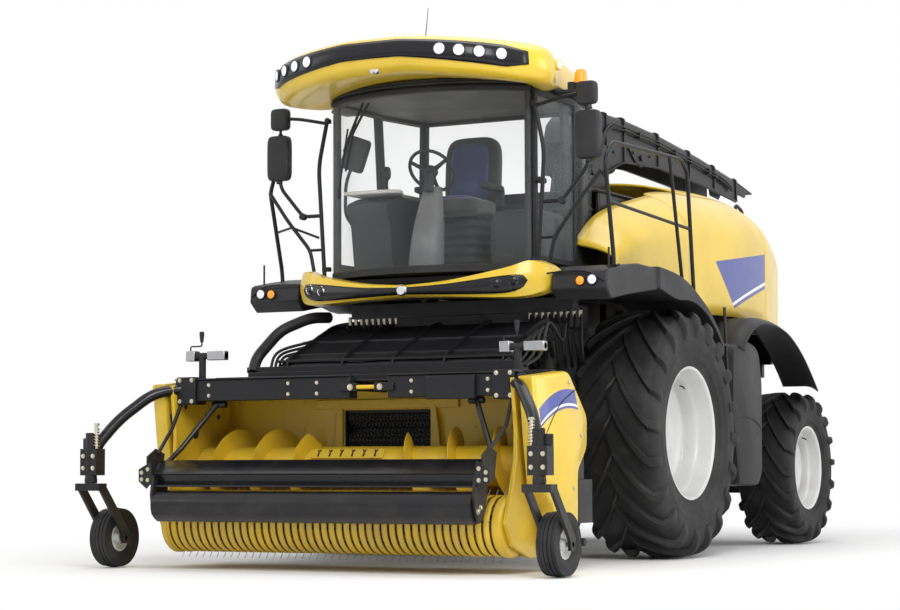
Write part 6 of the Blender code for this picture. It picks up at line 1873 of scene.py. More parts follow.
@dataclass
class Nose:
    """The bowed fascia under the windscreen: yellow frame, black inset, lamps and a bare disc."""

    TABLE = [
        # x, front y, bottom z, top z
        (0.0, -1.875, 2.075, 2.160), (0.40, -1.855, 2.060, 2.190), (0.83, -1.775, 2.045, 2.270),
        (1.00, -1.690, 2.060, 2.325),
        (1.10, -1.590, 2.110, 2.290), (1.135, -1.500, 2.160, 2.240)]

    def skin(self, x: Array, v: Array) -> Array:
        """Place points of the fascia: z runs up with v, and y bulges forward by a half sine of v."""
        front, low, high = np.moveaxis(between(self.TABLE, np.abs(x)), -1, 0)
        bulge = 0.03 * np.sin(math.pi * np.clip(v, 0.0, 1.0))
        return np.stack([x, front - bulge, low + (high - low) * v], -1)

    def build(self) -> None:
        """Make the fascia's pieces."""
        x = np.linspace(-1.135, 1.135, 81)
        v = np.linspace(0.0, 1.0, 11)[:, None]
        face = self.skin(np.broadcast_to(x, (11, 81)), np.broadcast_to(v, (11, 81)))
        top = face[-1:] + (0.0, 0.14, 0.012)
        low = face[:1] + (0.0, 0.14, -0.004)
        rim = np.concatenate([low, face, top])
        rim = np.concatenate([rim, rim[-1:] + (0.0, 0.06, -0.03), rim[:1] + (0.0, 0.06, 0.03)])
        place("nose_fascia", grid(rim, wrap_u=True), Finish.YELLOW, sharp=50, stands_for=["nose"])
        x = np.linspace(-1.0, 1.0, 71)
        end = np.sqrt(np.clip(1.0 - (np.abs(x) / 1.0)**10, 0.0, 1.0))
        middle = 0.46 - 0.04 * np.abs(x)
        share = (0.3 + 0.02 * np.abs(x)) * end
        v = np.linspace(-1.0, 1.0, 9)[:, None]
        level = middle + share * v
        band = self.skin(np.broadcast_to(x, level.shape), level) - (0.0, 0.004, 0.0)
        place("nose_band", grid(band), Finish.BLACK_GLOSS, sheet=0.004, offset=1.0, sharp=60)
        lamps = []
        for s in (1, -1):
            for lx, level in ((0.905, 0.5), (0.775, 0.49)):
                spot = self.skin(np.array([s * lx]), np.array([level]))[0]
                lamps.append(Lamp((spot[0], spot[1] - 0.001, spot[2]), (s * 0.35, -1.0, 0.0), 0.034))
        place_lamps("nose_lamps", lamps, Finish.CHROME, Finish.BLACK_GLOSS, Finish.BLACK_GLOSS)
        place("nose_badge_bare", drum((0.0, -1.885, 2.12), "Y", 0.0, -0.036, 0.046, 32, 0.25), Finish.CHROME)
        under = (brick((-1.0, 1.0), (-1.66, -1.4), (2.1, 2.2)) + brick((-0.95, 0.95), (-1.6, -0.4),
            (2.18, 2.255)))
        place("cab_underside", under, Finish.BLACK, bevel=0.01)


# Body

@dataclass
class Body:
    """The yellow body: side panels, gull-wing engine doors, hood, rear grille and top deck."""

    TABLE = [
        # y, half width, bottom z, shoulder z, crown z
        (-0.60, 1.24, 2.318, 2.40, 2.62), (-0.15, 1.25, 2.297, 2.55, 2.95), (0.60, 1.25, 2.10, 2.66, 3.18),
        (1.30, 1.25, 2.08, 2.74, 3.32), (2.20, 1.25, 2.09, 2.78, 3.38), (3.05, 1.20, 2.06, 2.78, 3.41),
        (3.70, 1.06, 1.80, 2.72, 3.32), (4.10, 0.95, 1.75, 2.62, 3.14), (4.36, 0.80, 1.75, 2.45, 2.88)]

    def skin(self, y: Array, turn: Array) -> Array:
        """Place points of the body's skin.

        From -1 to 0 the turn runs up the side, and above 0 it is an angle in degrees on an
        ellipse from the shoulder to the crown.

        Args:
            y: distance behind the front axle.
            turn: place across the skin.

        Returns:
            Points on the left side.
        """
        half, low, shoulder, crown = np.moveaxis(between(self.TABLE, y), -1, 0)
        angle = np.radians(np.maximum(turn, 0.0))
        side = np.minimum(turn, 0.0)
        z = shoulder + (crown - shoulder) * np.sin(angle) + (shoulder - low) * side
        return np.stack([half * np.cos(angle) - 0.012 * side * side * half, y + np.zeros_like(z), z], -1)

    def sheet(self, low: float, high: float, stations: int, turns: Array, both: bool = False) -> Form:
        """Return a panel between two stations; both joins the two sides over the crown."""
        y = np.linspace(low, high, stations)[:, None]
        points = self.skin(np.broadcast_to(y, (stations, len(turns))),
            np.broadcast_to(turns, (stations, len(turns))))
        if both:
            points = np.concatenate([points, points[:, -2::-1] * (-1.0, 1.0, 1.0)], 1)
        return grid(points)

    def build(self) -> None:
        """Make the body's pieces."""
        lower = np.linspace(-1.0, 0.0, 7)[:-1]
        for name, s in SIDES:
            panel = self.sheet(-0.6, 0.997, 24, np.concatenate([lower, np.linspace(0.0, 46.0, 12)]))
            place(f"body_side_{name}", panel.sided(s), Finish.YELLOW, sheet=0.022, sharp=50,
                stands_for=[f"side_panel_{name}"])
            door = self.sheet(1.006, 3.044, 40, np.concatenate([lower, np.linspace(0.0, 49.2, 14)]))
            place(f"gull_door_{name}", door.sided(s), Finish.YELLOW_HOOD, f"engine_door_{name}", sheet=0.022,
                sharp=50, stands_for=[f"engine_door_{name}"])
        top = self.sheet(1.9, 3.05, 16, np.linspace(50.0, 90.0, 12), both=True)
        rear = self.sheet(3.05, 4.36, 24, np.concatenate([lower, np.linspace(0.0, 90.0, 26)]), both=True)
        place("rear_hood", joined([top, rear]), Finish.YELLOW, sheet=0.022, sharp=50, stands_for=["hood"])
        self.deck()
        self.grille()

    def deck(self) -> None:
        """Make the dark deck between cab and hood, on which the spout's turret stands."""
        plane = brick((-0.86, 0.86), (-0.05, 1.95), (2.74, 2.77))
        shroud = [brick((-0.3, 0.3), (1.74, 1.92), (2.76, 3.0)), brick((-0.62, -0.36), (0.3, 0.95),
            (2.76, 2.98)), brick((0.36, 0.7), (0.45, 1.1), (2.76, 2.94)), brick((-0.75, -0.42), (1.25, 1.75),
            (2.76, 3.02))]
        raised = [brick((-0.82, 0.82), (0.02, 0.92), (3.04, 3.075)), brick((0.36, 0.82), (0.92, 1.75),
            (3.04, 3.075)), brick((-0.82, -0.56), (0.92, 1.75), (3.04, 3.075))]
        raised += [brick((s * 0.8 - 0.02, s * 0.8 + 0.02), (0.04, 1.73), (2.76, 3.045)) for s in (1, -1)]
        place("top_deck", joined([plane] + shroud + raised), Finish.BLACK, bevel=0.015)
        hook = sweep(filleted([(0.62, 3.78, 3.18), (0.62, 3.82, 3.33), (0.62, 4.0, 3.28), (0.62, 4.07, 3.05)],
            0.05, 5), 0.017, 12)
        place("hood_grab_rail", hook, Finish.BLACK, sharp=60)
        pipes = [sweep(filleted([(0.42 + 0.06 * k, 0.2, 2.78), (0.42 + 0.06 * k, 0.25, 3.02 + 0.02 * k),
            (0.4 + 0.05 * k, 0.7, 3.05), (0.38, 1.2, 2.98)], 0.08, 5), 0.016, 8) for k in range(3)]
        pipes.append(sweep(filleted([(-0.55, 1.85, 2.8), (-0.55, 1.85, 3.1), (-0.55, 1.6, 3.18)], 0.05, 5),
            0.045, 16))
        place("deck_pipes", joined(pipes), Finish.HOSE, sharp=60)

    def grille(self) -> None:
        """Make the black rear grille with its louvres, lamps and grab rail."""
        half, bottom, shoulder, crown = 0.8, 1.75, 2.45, 2.88
        a = np.radians(np.linspace(0.0, 180.0, 33))
        edge = [(half * math.cos(t), shoulder + (crown - shoulder) * math.sin(t)) for t in a]
        back = plate("Y", 4.361, 4.378, [(half, bottom)] + edge + [(-half, bottom)])
        place("grille_plate", back, Finish.BLACK, bevel=0.004, stands_for=["rear_grille"])
        louvres = [brick((-half + 0.1, half - 0.1), (4.37, 4.4), (z, z + 0.016)).spun((0, 4.385, z), "X",
            math.radians(-25)) for z in np.linspace(1.88, 2.6, 17)]
        louvres += [brick((s * 0.735 - 0.02, s * 0.735 + 0.02), (4.372, 4.402), (1.8, 2.46)) for s in (1, -1)]
        louvres.append(brick((-half + 0.05, half - 0.05), (4.372, 4.402), (1.79, 1.84)))
        place("grille_louvres", joined(louvres), Finish.DARK_TRIM, bevel=0.003)
        rail = sweep(filleted([(0.55, 4.37, 2.62), (0.55, 4.445, 2.66), (0.55, 4.445, 2.8), (-0.55, 4.445, 2.8),
            (-0.55, 4.445, 2.66), (-0.55, 4.37, 2.62)], 0.04, 5), 0.015, 12)
        place("rear_rail", rail, Finish.BLACK, sharp=60)
        post = [brick((s * 0.47 - 0.03, s * 0.47 + 0.03), (4.2003, 4.38), (1.225, 1.85)) for s in (1, -1)]
        post.append(brick((-0.7, 0.7), (4.3, 4.375), (1.62, 1.76)))
        place("rear_posts", joined(post), Finish.BLACK, bevel=0.006)
        for name, s in SIDES:
            tail = pillow((0.6, 4.385, 1.69), (0.16, 0.03, 0.09), 0.3)
            place(f"tail_lamp_{name}", tail.sided(s), Finish.RED)


DECK_TOP = [(-1.596, 2.245), (-0.996, 2.337), (-0.168, 2.296), (0.38, 2.105), (0.64, 1.945), (0.84, 1.77)]


@dataclass
class Fenders:
    """The front decks with their lamps, the rear fenders, the side shields and the ladder."""

    arch: float = 1.085
    axle: float = 1.015

    def front(self) -> Form:
        """Return the left front fender: its crown line is curved and its underside is an arc about the axle."""
        top = between(DECK_TOP, np.linspace(-0.6, 0.84, 22))
        top = np.column_stack([np.linspace(-0.6, 0.84, 22), top[:, 0]])
        a = np.radians(np.linspace(50.0, -8.0, 18))
        under = np.column_stack([self.arch * np.sin(a), self.axle + self.arch * np.cos(a)])
        low = [(-0.3, 2.1), (-0.6, 2.16)]
        line = np.vstack([top, under, low])
        rings = []
        middle = line.mean(0)
        for x, share in ((0.95, 1.0), (1.56, 1.0), (1.6, 0.995), (1.62, 0.975)):
            rings.append(np.column_stack([np.full(len(line), x), middle + (line - middle) * share]))
        return grid(np.stack(rings), wrap_v=True, caps=True)

    def build(self) -> None:
        """Make the fenders' pieces."""
        housing = plate("X", 1.135, 1.6,
            filleted([(0, y, z) for y, z in [(-1.6, 2.1), (-1.585, 2.235), (-1.3, 2.286), (-0.996, 2.33),
            (-0.58, 2.32), (-0.58, 2.15), (-1.2, 2.07), (-1.5, 2.02)]], 0.04, 4)[:, 1:])
        inner = plate("X", 0.95, 1.14, [(-1.33, 2.2), (-1.33, 2.284), (-0.996, 2.33), (-0.58, 2.32),
            (-0.58, 2.18)])
        rear_line = curve([(1.5, 1.8), (1.6, 1.91), (1.8, 2.02), (2.04, 2.069), (2.4, 2.055), (2.72, 1.985),
            (3.05, 1.83), (3.3, 1.66), (3.5, 1.5)], 5)
        for name, s in SIDES:
            place(f"front_fender_{name}", self.front().sided(s), Finish.FENDER, sharp=45, bevel=0.006,
                stands_for=[f"fender_front_{name}"])
            place(f"deck_housing_{name}", (housing + inner).sided(s), Finish.FENDER, bevel=0.012)
            x = np.linspace(1.2, 1.55, 12)
            bow = np.concatenate([np.zeros(8), [0.004, 0.012, 0.03, 0.055]])
            arch = spread(x[None], rear_line[:, :1], rear_line[:, 1:] - bow[None])
            place(f"rear_fender_{name}", grid(arch).sided(s), Finish.FENDER, sheet=0.012, offset=0.0, sharp=60,
                stands_for=[f"fender_rear_{name}"])
            stays = (brick((0.5, 1.3), (2.44, 2.5), (1.95, 1.99)) + brick((0.526, 0.585), (2.44, 2.5),
                (1.25, 1.98)))
            place(f"rear_fender_stay_{name}", stays.sided(s), Finish.BLACK, bevel=0.005)
            self.shield(name, s)
        lamps = [Lamp((s * 1.485, -1.603, 2.165), (0.0, -1.0, 0.0), 0.036) for s in (1, -1)]
        place_lamps("deck_lamps", lamps)
        amber = [Lamp((s * 1.385, -1.603, 2.16), (0.0, -1.0, 0.0), 0.034) for s in (1, -1)]
        place_lamps("indicator_lamps", amber, Finish.DARK_TRIM, Finish.AMBER, Finish.AMBER)
        trim = sweep(curve([(0.99, -1.6, 2.215), (1.2, -1.606, 2.232), (1.45, -1.606, 2.225),
            (1.58, -1.6, 2.15)], 8), 0.007, 8)
        place("deck_trim", trim.both(), Finish.BLACK_GLOSS, sharp=60)
        pins = drum((1.555, -1.45, 0.0), "Z", 2.25, 2.42, 0.008, 10)
        place("marker_pins", pins.both(), Finish.DARK_TRIM)
        self.engine_bay()

    def shield(self, name: str, s: int) -> None:
        """Make the side shield between the wheels and the ladder in front of it."""
        outline = filleted([(0, y, z) for y, z in [(1.5, 0.58), (1.98, 0.56), (2.06, 0.64), (2.08, 1.5),
            (2.0, 1.8), (1.72, 1.86), (1.4, 1.8), (1.36, 1.2)]], 0.08, 4)[:, 1:]
        middle = outline.mean(0)
        rings = [np.column_stack([np.full(len(outline), x), middle + (outline - middle) * share]) for x,
            share in ((1.17, 1.0), (1.44, 1.0), (1.485, 0.985), (1.5, 0.93))]
        place(f"side_shield_{name}", grid(np.stack(rings), wrap_v=True, caps=True).sided(s), Finish.FENDER,
            sharp=50, stands_for=[f"locker_{name}"])
        seam = sweep(curve([(1.497, 1.42, 1.16), (1.501, 1.7, 1.17), (1.5, 1.95, 1.12), (1.495, 2.05, 1.05)],
            8), 0.006, 8)
        place(f"shield_seam_{name}", seam.sided(s), Finish.DARK_TRIM, sharp=60)
        rails = [sweep(filleted([(1.24 + dx, 1.2, 2.12), (1.26 + dx, 1.22, 1.3), (1.26 + dx, 1.16, 0.62)], 0.05,
            4), 0.014, 8) for dx in (0.0, 0.24)]
        steps = [brick((1.25, 1.5), (1.14, 1.26), (z, z + 0.022)) for z in (0.66, 0.94, 1.22, 1.5, 1.78)]
        place(f"ladder_{name}", joined(rails + steps).sided(s), Finish.BLACK, bevel=0.003)

    def engine_bay(self) -> None:
        """Make what shows under the cab and behind the wheels: cross tubes, hoses, filter bodies and blocks."""
        forms = [brick((-1.02, 1.02), (-1.28, -1.16), (2.1, 2.17)), brick((-0.95, 0.95), (-0.9, -0.5),
            (1.86, 2.05)), drum((0.72, -0.76, 0.0), "Z", 1.52, 1.86, 0.09, 24), drum((-0.72, -0.76, 0.0), "Z",
            1.52, 1.86, 0.09, 24), brick((-1.02, 1.02), (-0.94, -0.84), (1.98, 2.1))]
        place("under_cab_blocks", joined(forms), Finish.IRON, bevel=0.012)
        hoses = []
        for k in range(9):
            x = 0.62 + 0.055 * k
            hoses.append(sweep(curve([(x, -0.88, 2.0), (x + 0.03, -0.94, 1.8 - 0.03 * (k % 3)),
                (x + 0.02, -0.88, 1.58 + 0.03 * (k % 4)), (x - 0.05, -0.7, 1.55)], 7), 0.013, 8))
        place("under_cab_hoses", joined(hoses).both(), Finish.HOSE, sharp=60)
        fittings = [drum((0.62 + 0.055 * k, -0.89, 0.0), "Z", 1.93, 1.99, 0.018, 6) for k in range(9)]
        place("hose_fittings", joined(fittings).both(), Finish.ZINC)


# Rails and mirrors

@dataclass
class Rails:
    """The deck's handrail and, alike on both sides, the front rails and the mirrors on their arms."""

    x: float = 1.53
    front: float = -1.46
    tube: float = 0.017

    def bar(self, points: Sequence[Point], radius: float, bend: float = 0.06) -> Form:
        """Return a round bar through the points with its corners bent to a radius."""
        return sweep(filleted(points, bend, 6), radius, 12)

    def handrail(self) -> Form:
        """Return the left deck's handrail with its posts and its middle rail."""
        x = self.x
        return (self.bar([(x, -1.3, 2.25), (x, -1.3, 2.36), (x, -1.45, 3.1), (x, -1.3, 3.25), (x, 0.1, 3.28),
            (x, 0.24, 3.18), (x, 0.36, 2.18), (x, 0.36, 2.09)], self.tube)
            + self.bar([(x + 0.003, -0.15, 3.268), (x + 0.003, 0.1, 2.25), (x + 0.003, 0.1, 2.17)],
            self.tube * 0.9, 0.04) + self.bar([(x - 0.004, -1.385, 2.783), (x - 0.004, 0.292, 2.717)],
            self.tube * 0.8))

    def feet(self) -> Form:
        """Return the handrail's foot plates."""
        x = self.x
        return joined(brick((x - 0.045, x + 0.045), (y - 0.05, y + 0.05), (z, z + 0.012))
            + bolts([(x + 0.028, y + 0.03, z + 0.012), (x - 0.028, y - 0.03, z + 0.012)], "Z", 0.01, 0.009)
            for y, z in ((-1.3, 2.285), (0.1, 2.205), (0.36, 2.115)))

    def arms(self) -> Form:
        """Return one side's grab rail, inclined front rail, mirror arm and upper mirror arm."""
        y = self.front
        return (self.bar([(0.966, y, 2.3), (1.022, y, 3.205), (0.936, y, 3.6)], self.tube, 0.1)
            + self.bar([(1.055, y, 2.29), (1.102, y, 2.519), (1.305, y - 0.02, 2.768), (1.5, y + 0.01, 3.016)],
            self.tube * 0.9) + self.bar([(1.0, y, 2.8), (1.171, y, 2.8), (1.388, y, 3.05), (1.4, y, 3.2)],
            self.tube * 0.9) + self.bar([(0.975, y, 2.52), (1.1, y, 2.52)], self.tube * 0.7)
            + self.bar([(0.945, y, 3.555), (1.2, y, 3.61), (1.35, y, 3.625)], 0.014)
            + self.bar([(1.39, y, 3.44), (1.39, y, 3.56)], 0.012))

    def right_post(self) -> Form:
        """Return the right deck's front post with its cross bars, drawn on the left."""
        return (self.bar([(1.53, -1.2, 2.27), (1.54, -1.2, 2.4), (1.515, -1.42, 3.02), (1.46, -1.45, 3.13),
            (1.4, -1.455, 3.13)], self.tube, 0.05) + self.bar([(1.532, -1.3, 2.7), (1.27, -1.475, 2.715),
            (1.02, -1.46, 2.62)], self.tube * 0.6, 0.03))

    def clamps(self) -> Form:
        """Return the cab brackets and the mirror's clamps."""
        y = self.front
        blocks = (brick((0.918, 0.98), (y - 0.02, y + 0.03), (2.34, 2.375)) + brick((0.918, 0.955),
            (y - 0.02, y + 0.03), (3.555, 3.59)))
        knobs = [drum((1.4, y, 0.0), "Z", 3.085, 3.125, 0.026, 16), drum((1.171, y, 2.8), "Y", -0.025, 0.025,
            0.028, 16), drum((1.39, y, 0.0), "Z", 3.47, 3.5, 0.02, 16)]
        return blocks + joined(knobs)

    def housings(self) -> Form:
        """Return the shells of the large and the small mirror."""
        y = self.front
        return (pillow((1.4, y, 3.297), (0.205, 0.09, 0.376), 0.32) + pillow((1.39, y, 3.62),
            (0.165, 0.08, 0.182), 0.38))

    def faces(self) -> Form:
        """Return the mirror glasses, which look to the rear."""
        y = self.front + 0.0455
        big = pillow((1.4, y, 3.297), (0.176, 0.006, 0.345), 0.3, 16, 32)
        return big + pillow((1.39, y - 0.005, 3.62), (0.14, 0.006, 0.155), 0.34, 16, 32)

    def build(self) -> None:
        """Make the rails' pieces."""
        place("deck_handrail", self.handrail(), Finish.BLACK, sharp=60, stands_for=["handrail_left"])
        place("deck_handrail_feet", self.feet(), Finish.BLACK, bevel=0.003)
        place("right_deck_post", self.right_post().mirrored(), Finish.BLACK, sharp=60)
        for name, s in SIDES:
            place(f"front_rail_{name}", self.arms().sided(s), Finish.BLACK, sharp=60,
                stands_for=[f"mirror_rail_{name}"])
            place(f"rail_clamps_{name}", self.clamps().sided(s), Finish.DARK_TRIM, bevel=0.004)
            place(f"mirror_shell_{name}", self.housings().sided(s), Finish.FENDER, sharp=60)
            place(f"mirror_glass_{name}", self.faces().sided(s), Finish.CHROME, sharp=60)


# Spout

SPOUT_LINE = [
    # y, top z, depth
    (1.02, 3.66, 0.30), (1.08, 3.84, 0.48), (1.24, 3.95, 0.58), (1.62, 3.985, 0.56), (2.05, 3.99, 0.42),
    (2.87, 3.955, 0.34), (4.0, 3.86, 0.28), (5.05, 3.74, 0.24),
]


@dataclass
class Spout:
    """The turning foot, the arched arm with its ribs and pipes, the end flap and the lift cylinder."""

    half: float = 0.17
    wall: float = 0.012
    foot_y: float = 1.3
    foot_z: float = 3.02
    radius: float = 0.3
    pivot_z: float = 3.42

    def section(self, y: Array, grow: float = 0.0, share: float = 1.0) -> Array:
        """Return U sections along the arm: a top and two walls, the inner line set in by the wall.

        Args:
            y: the stations.
            grow: how far the section stands outside the arm's own.
            share: the part of the depth that it covers.

        Returns:
            stations x points x 3.
        """
        rows = np.stack([np.interp(y, [r[0] for r in SPOUT_LINE], [r[k] for r in SPOUT_LINE]) for k in (1, 2)],
            -1)
        w, t = self.half + grow, self.wall + grow
        outer = np.array([(-w, -1.0, 0.0), (-w, 0.0, -0.035), (-w + 0.01, 0.0, -0.01), (-w + 0.035, 0.0, 0.0)])
        inner = np.array([(-w + t, -1.0, 0.0), (-w + t, 0.0, -t - 0.003), (-w + t + 0.003, 0.0, -t)])
        line = np.vstack([outer, outer[::-1] * (-1, 1, 1), inner * (-1, 1, 1), inner[::-1]])
        z = rows[:, :1] + grow + line[None, :, 1] * rows[:, 1:] * share + line[None, :, 2]
        return spread(line[None, :, 0], y[:, None], z)

    def arm(self) -> Form:
        """Return the arm's shell."""
        return grid(self.section(np.linspace(1.02, 5.05, 70)), wrap_v=True, caps=True)

    def ribs(self) -> Form:
        """Return the straps round the arm and the flanges along its lower edges."""
        straps = [grid(self.section(np.array([y - 0.014, y + 0.014]), 0.014), wrap_v=True, caps=True)
            for y in (1.66, 2.07, 2.9, 3.72, 4.4, 5.035)]
        at = np.linspace(1.55, 5.03, 40)
        low = np.interp(at, [r[0] for r in SPOUT_LINE], [r[1] - r[2] for r in SPOUT_LINE])
        edges = [ribbon(np.column_stack([np.full(40, t * (self.half + 0.012)), at, low + 0.008]),
            np.full(40, 0.028), 0.008, (0, 0, 1.0)) for t in (1, -1)]
        return joined(straps + edges)

    def lugs(self) -> Form:
        """Return the triangular lugs of the arm, one pair at the foot and one at the cylinder."""
        w = self.half
        foot = plate("X", w, w + 0.014, [(1.16, 3.38), (1.3, 3.32), (1.44, 3.4), (1.9, 3.62), (1.95, 3.7),
            (1.16, 3.66)])
        middle = plate("X", w, w + 0.014, [(2.3, 3.62), (2.45, 3.57), (2.6, 3.62), (2.78, 3.72), (2.14, 3.74)])
        pin = (drum((0.0, self.foot_y, self.pivot_z), "X", w + 0.014, w + 0.042, 0.052, 20)
            + drum((0.0, 2.45, 3.66), "X", w + 0.014, w + 0.034, 0.03, 16))
        heads = bolts([(w + 0.014, y, z) for y, z in ((1.22, 3.58), (1.5, 3.58), (1.8, 3.64), (2.26, 3.69),
            (2.66, 3.7))], "X", 0.012, 0.014)
        one = foot + middle + pin + heads
        return one + one.mirrored()

    def pipes(self) -> Form:
        """Return the flap cylinder's two pipes and its hoses along the arm's left wall."""
        made = []
        for k in range(2):
            x, drop = self.half + 0.022 + 0.002 * k, 0.085 + 0.03 * k
            at = np.linspace(1.75, 4.5, 16)
            top = np.interp(at, [r[0] for r in SPOUT_LINE], [r[1] for r in SPOUT_LINE])
            made.append(sweep(np.column_stack([np.full(16, x), at, top - drop]), 0.008, 8))
            made.append(sweep(curve([(x, 1.75, 3.987 - drop), (x + 0.01, 1.58, 3.89 - drop),
                (x + 0.02, 1.42, 3.7 - drop), (x - 0.02, 1.35, 3.5), (x - 0.05, 1.33, 3.3), (0.2, 1.3, 3.16)],
                6), 0.011, 8))
            made.append(sweep(curve([(x, 4.5, 3.803 - drop), (x, 4.7, 3.77 - drop), (x, 4.86, 3.72 - drop)], 6),
                0.011, 8))
        clips = [brick((self.half, self.half + 0.034), (y - 0.015, y + 0.015), (z - 0.13, z - 0.07)) for y,
            z in ((2.4, 3.975), (3.3, 3.918), (4.2, 3.837))]
        return joined(made + clips)

    def foot(self) -> Form:
        """Return the toothed ring, its bolts, the duct above it and the two ears."""
        y, z, r = self.foot_y, self.foot_z, self.radius
        a = circle(216)
        rim = r - 0.01 * (np.arange(216) % 4 < 2)
        ring = np.stack([np.column_stack([rim * np.sin(a), y + rim * np.cos(a), np.full(216, z + h)])
            for h in (0.0005, 0.045)])
        cap = lathe((0.0, y, z), "Z", [(0.045, r - 0.012), (0.055, r - 0.02), (0.075, r - 0.035),
            (0.1, r - 0.05), (0.1, 0.0)], 48)
        heads = bolts([(0.26 * math.sin(t), y + 0.26 * math.cos(t), z + 0.072) for t in circle(16)], "Z", 0.014,
            0.012)
        duct = []
        for level, front, back, width in ((3.1, -0.2, 0.2, 0.125), (3.3, -0.2, 0.19, 0.13),
                (3.48, -0.19, 0.16, 0.13), (3.6, -0.14, 0.13, 0.13), (3.645, -0.08, 0.09, 0.12)):
            duct.append([(t * (width - c), y + at, level) for t, at, c in ((1, front, 0.03),
                (1, front + 0.03, 0.0), (1, back - 0.03, 0.0), (1, back, 0.03), (-1, back, 0.03),
                (-1, back - 0.03, 0.0), (-1, front + 0.03, 0.0), (-1, front, 0.03))])
        ear = plate("X", 0.122, 0.15, [(y - 0.22, z + 0.06), (y - 0.1, self.pivot_z + 0.07),
            (y - 0.04, self.pivot_z + 0.1), (y + 0.04, self.pivot_z + 0.1), (y + 0.1, self.pivot_z + 0.07),
            (1.68, 3.38), (1.68, 3.27), (y + 0.22, z + 0.06)])
        return (grid(ring, wrap_v=True, caps=True) + cap + heads + grid(np.array(duct), wrap_v=True, caps=True)
            + ear + ear.mirrored())

    def motor(self) -> Form:
        """Return the motor that turns the foot, on the machine beside the ring."""
        x, y = -0.43, self.foot_y - 0.05
        return (drum((x, y, 0.0), "Z", 2.96, 3.16, 0.065, 20) + drum((x, y, 0.0), "Z", 3.16, 3.2, 0.045, 16)
            + brick((x - 0.09, x + 0.09), (y - 0.09, y + 0.09), (2.93, 2.965)))

    def flap(self) -> Form:
        """Return the end flap with its cheeks and its stiffening ribs."""
        w = self.half - self.wall - 0.006
        start = 5.0503
        leaf = plate("X", -w, w, [(start, 3.74), (5.58, 3.655), (5.575, 3.64), (start, 3.728)])
        cheek = plate("X", w - 0.012, w, [(start, 3.735), (5.45, 3.67), (5.35, 3.58), (start + 0.05, 3.6)])
        rib = plate("X", -0.004, 0.004, [(5.12, 3.728), (5.12, 3.742), (5.5, 3.685), (5.5, 3.668)])
        return leaf + cheek + cheek.mirrored() + rib.moved(0.07, 0.0, 0.0) + rib.moved(-0.07, 0.0, 0.0)

    def cylinder(self) -> tuple[Form, Form]:
        """Return the lift cylinder's barrel, with its neck and ports, and its rod with the eye."""
        base, eye = np.array([0.0, 1.62, 3.33]), np.array([0.0, 2.45, 3.66])
        along = (eye - base) / np.linalg.norm(eye - base)
        stations = np.array([0.0, 0.03, 0.04, 0.53, 0.54, 0.579])
        barrel = (sweep(base + stations[:, None] * along, np.array([0.034, 0.034, 0.04, 0.04, 0.046, 0.046]),
            20) + drum(tuple(base), "X", -0.115, 0.115, 0.018, 16) + drum(tuple(base), "X", -0.03, 0.03, 0.045,
            20))
        for reach in (0.07, 0.5):
            port = base + along * reach
            barrel = barrel + sweep(np.stack([port, port + (0.0, 0.0, -0.065)]), 0.011, 8)
        rod = (sweep(np.stack([base + along * 0.5803, eye - along * 0.03]), 0.02, 16) + drum(tuple(eye), "X",
            -0.03, 0.03, 0.036, 20) + drum(tuple(eye), "X", -0.155, 0.155, 0.016, 16))
        return barrel, rod

    def build(self) -> None:
        """Make the spout's pieces."""
        place("spout_foot", self.foot(), Finish.BLACK, "spout_turret", bevel=0.003, stands_for=["spout_turret"])
        place("spout_motor", self.motor(), Finish.BLACK, bevel=0.004)
        place("spout_shell", self.arm(), Finish.BLACK, "spout_arm", sharp=50, stands_for=["spout_arm"])
        place("spout_ribs", self.ribs(), Finish.BLACK, "spout_arm", sharp=50)
        place("spout_lugs", self.lugs(), Finish.BLACK, "spout_arm", bevel=0.003)
        place("spout_pipes", self.pipes(), Finish.HOSE, "spout_arm", sharp=60)
        place("spout_end_flap", self.flap(), Finish.BLACK, "spout_flap", bevel=0.002, stands_for=["spout_flap"])
        barrel, rod = self.cylinder()
        place("spout_cylinder", barrel, Finish.BLACK, "spout_barrel", sharp=50,
            stands_for=["spout_lift_barrel"])
        place("spout_cylinder_rod", rod, Finish.CHROME, "spout_rod", sharp=50, stands_for=["spout_lift_rod"])


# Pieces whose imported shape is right

BARE_NODES = {"chassis_frame": Finish.BLACK, "front_axle": Finish.BLACK, "rear_axle": Finish.BLACK,
    "knuckle_left": Finish.BLACK, "knuckle_right": Finish.BLACK, "engine_block": Finish.IRON,
    "crop_channel": Finish.BLACK, "feeder_house": Finish.BLACK, "lift_barrels": Finish.BLACK,
    "lift_rods": Finish.CHROME}


def dress_nodes(nodes: dict[str, bpy.types.Object]) -> None:
    """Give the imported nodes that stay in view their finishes."""
    for name, finish in BARE_NODES.items():
        for socket in nodes[name].material_slots:
            socket.material = finish_material(finish)
        LOG.info("%s: dressed", name)


# Studio

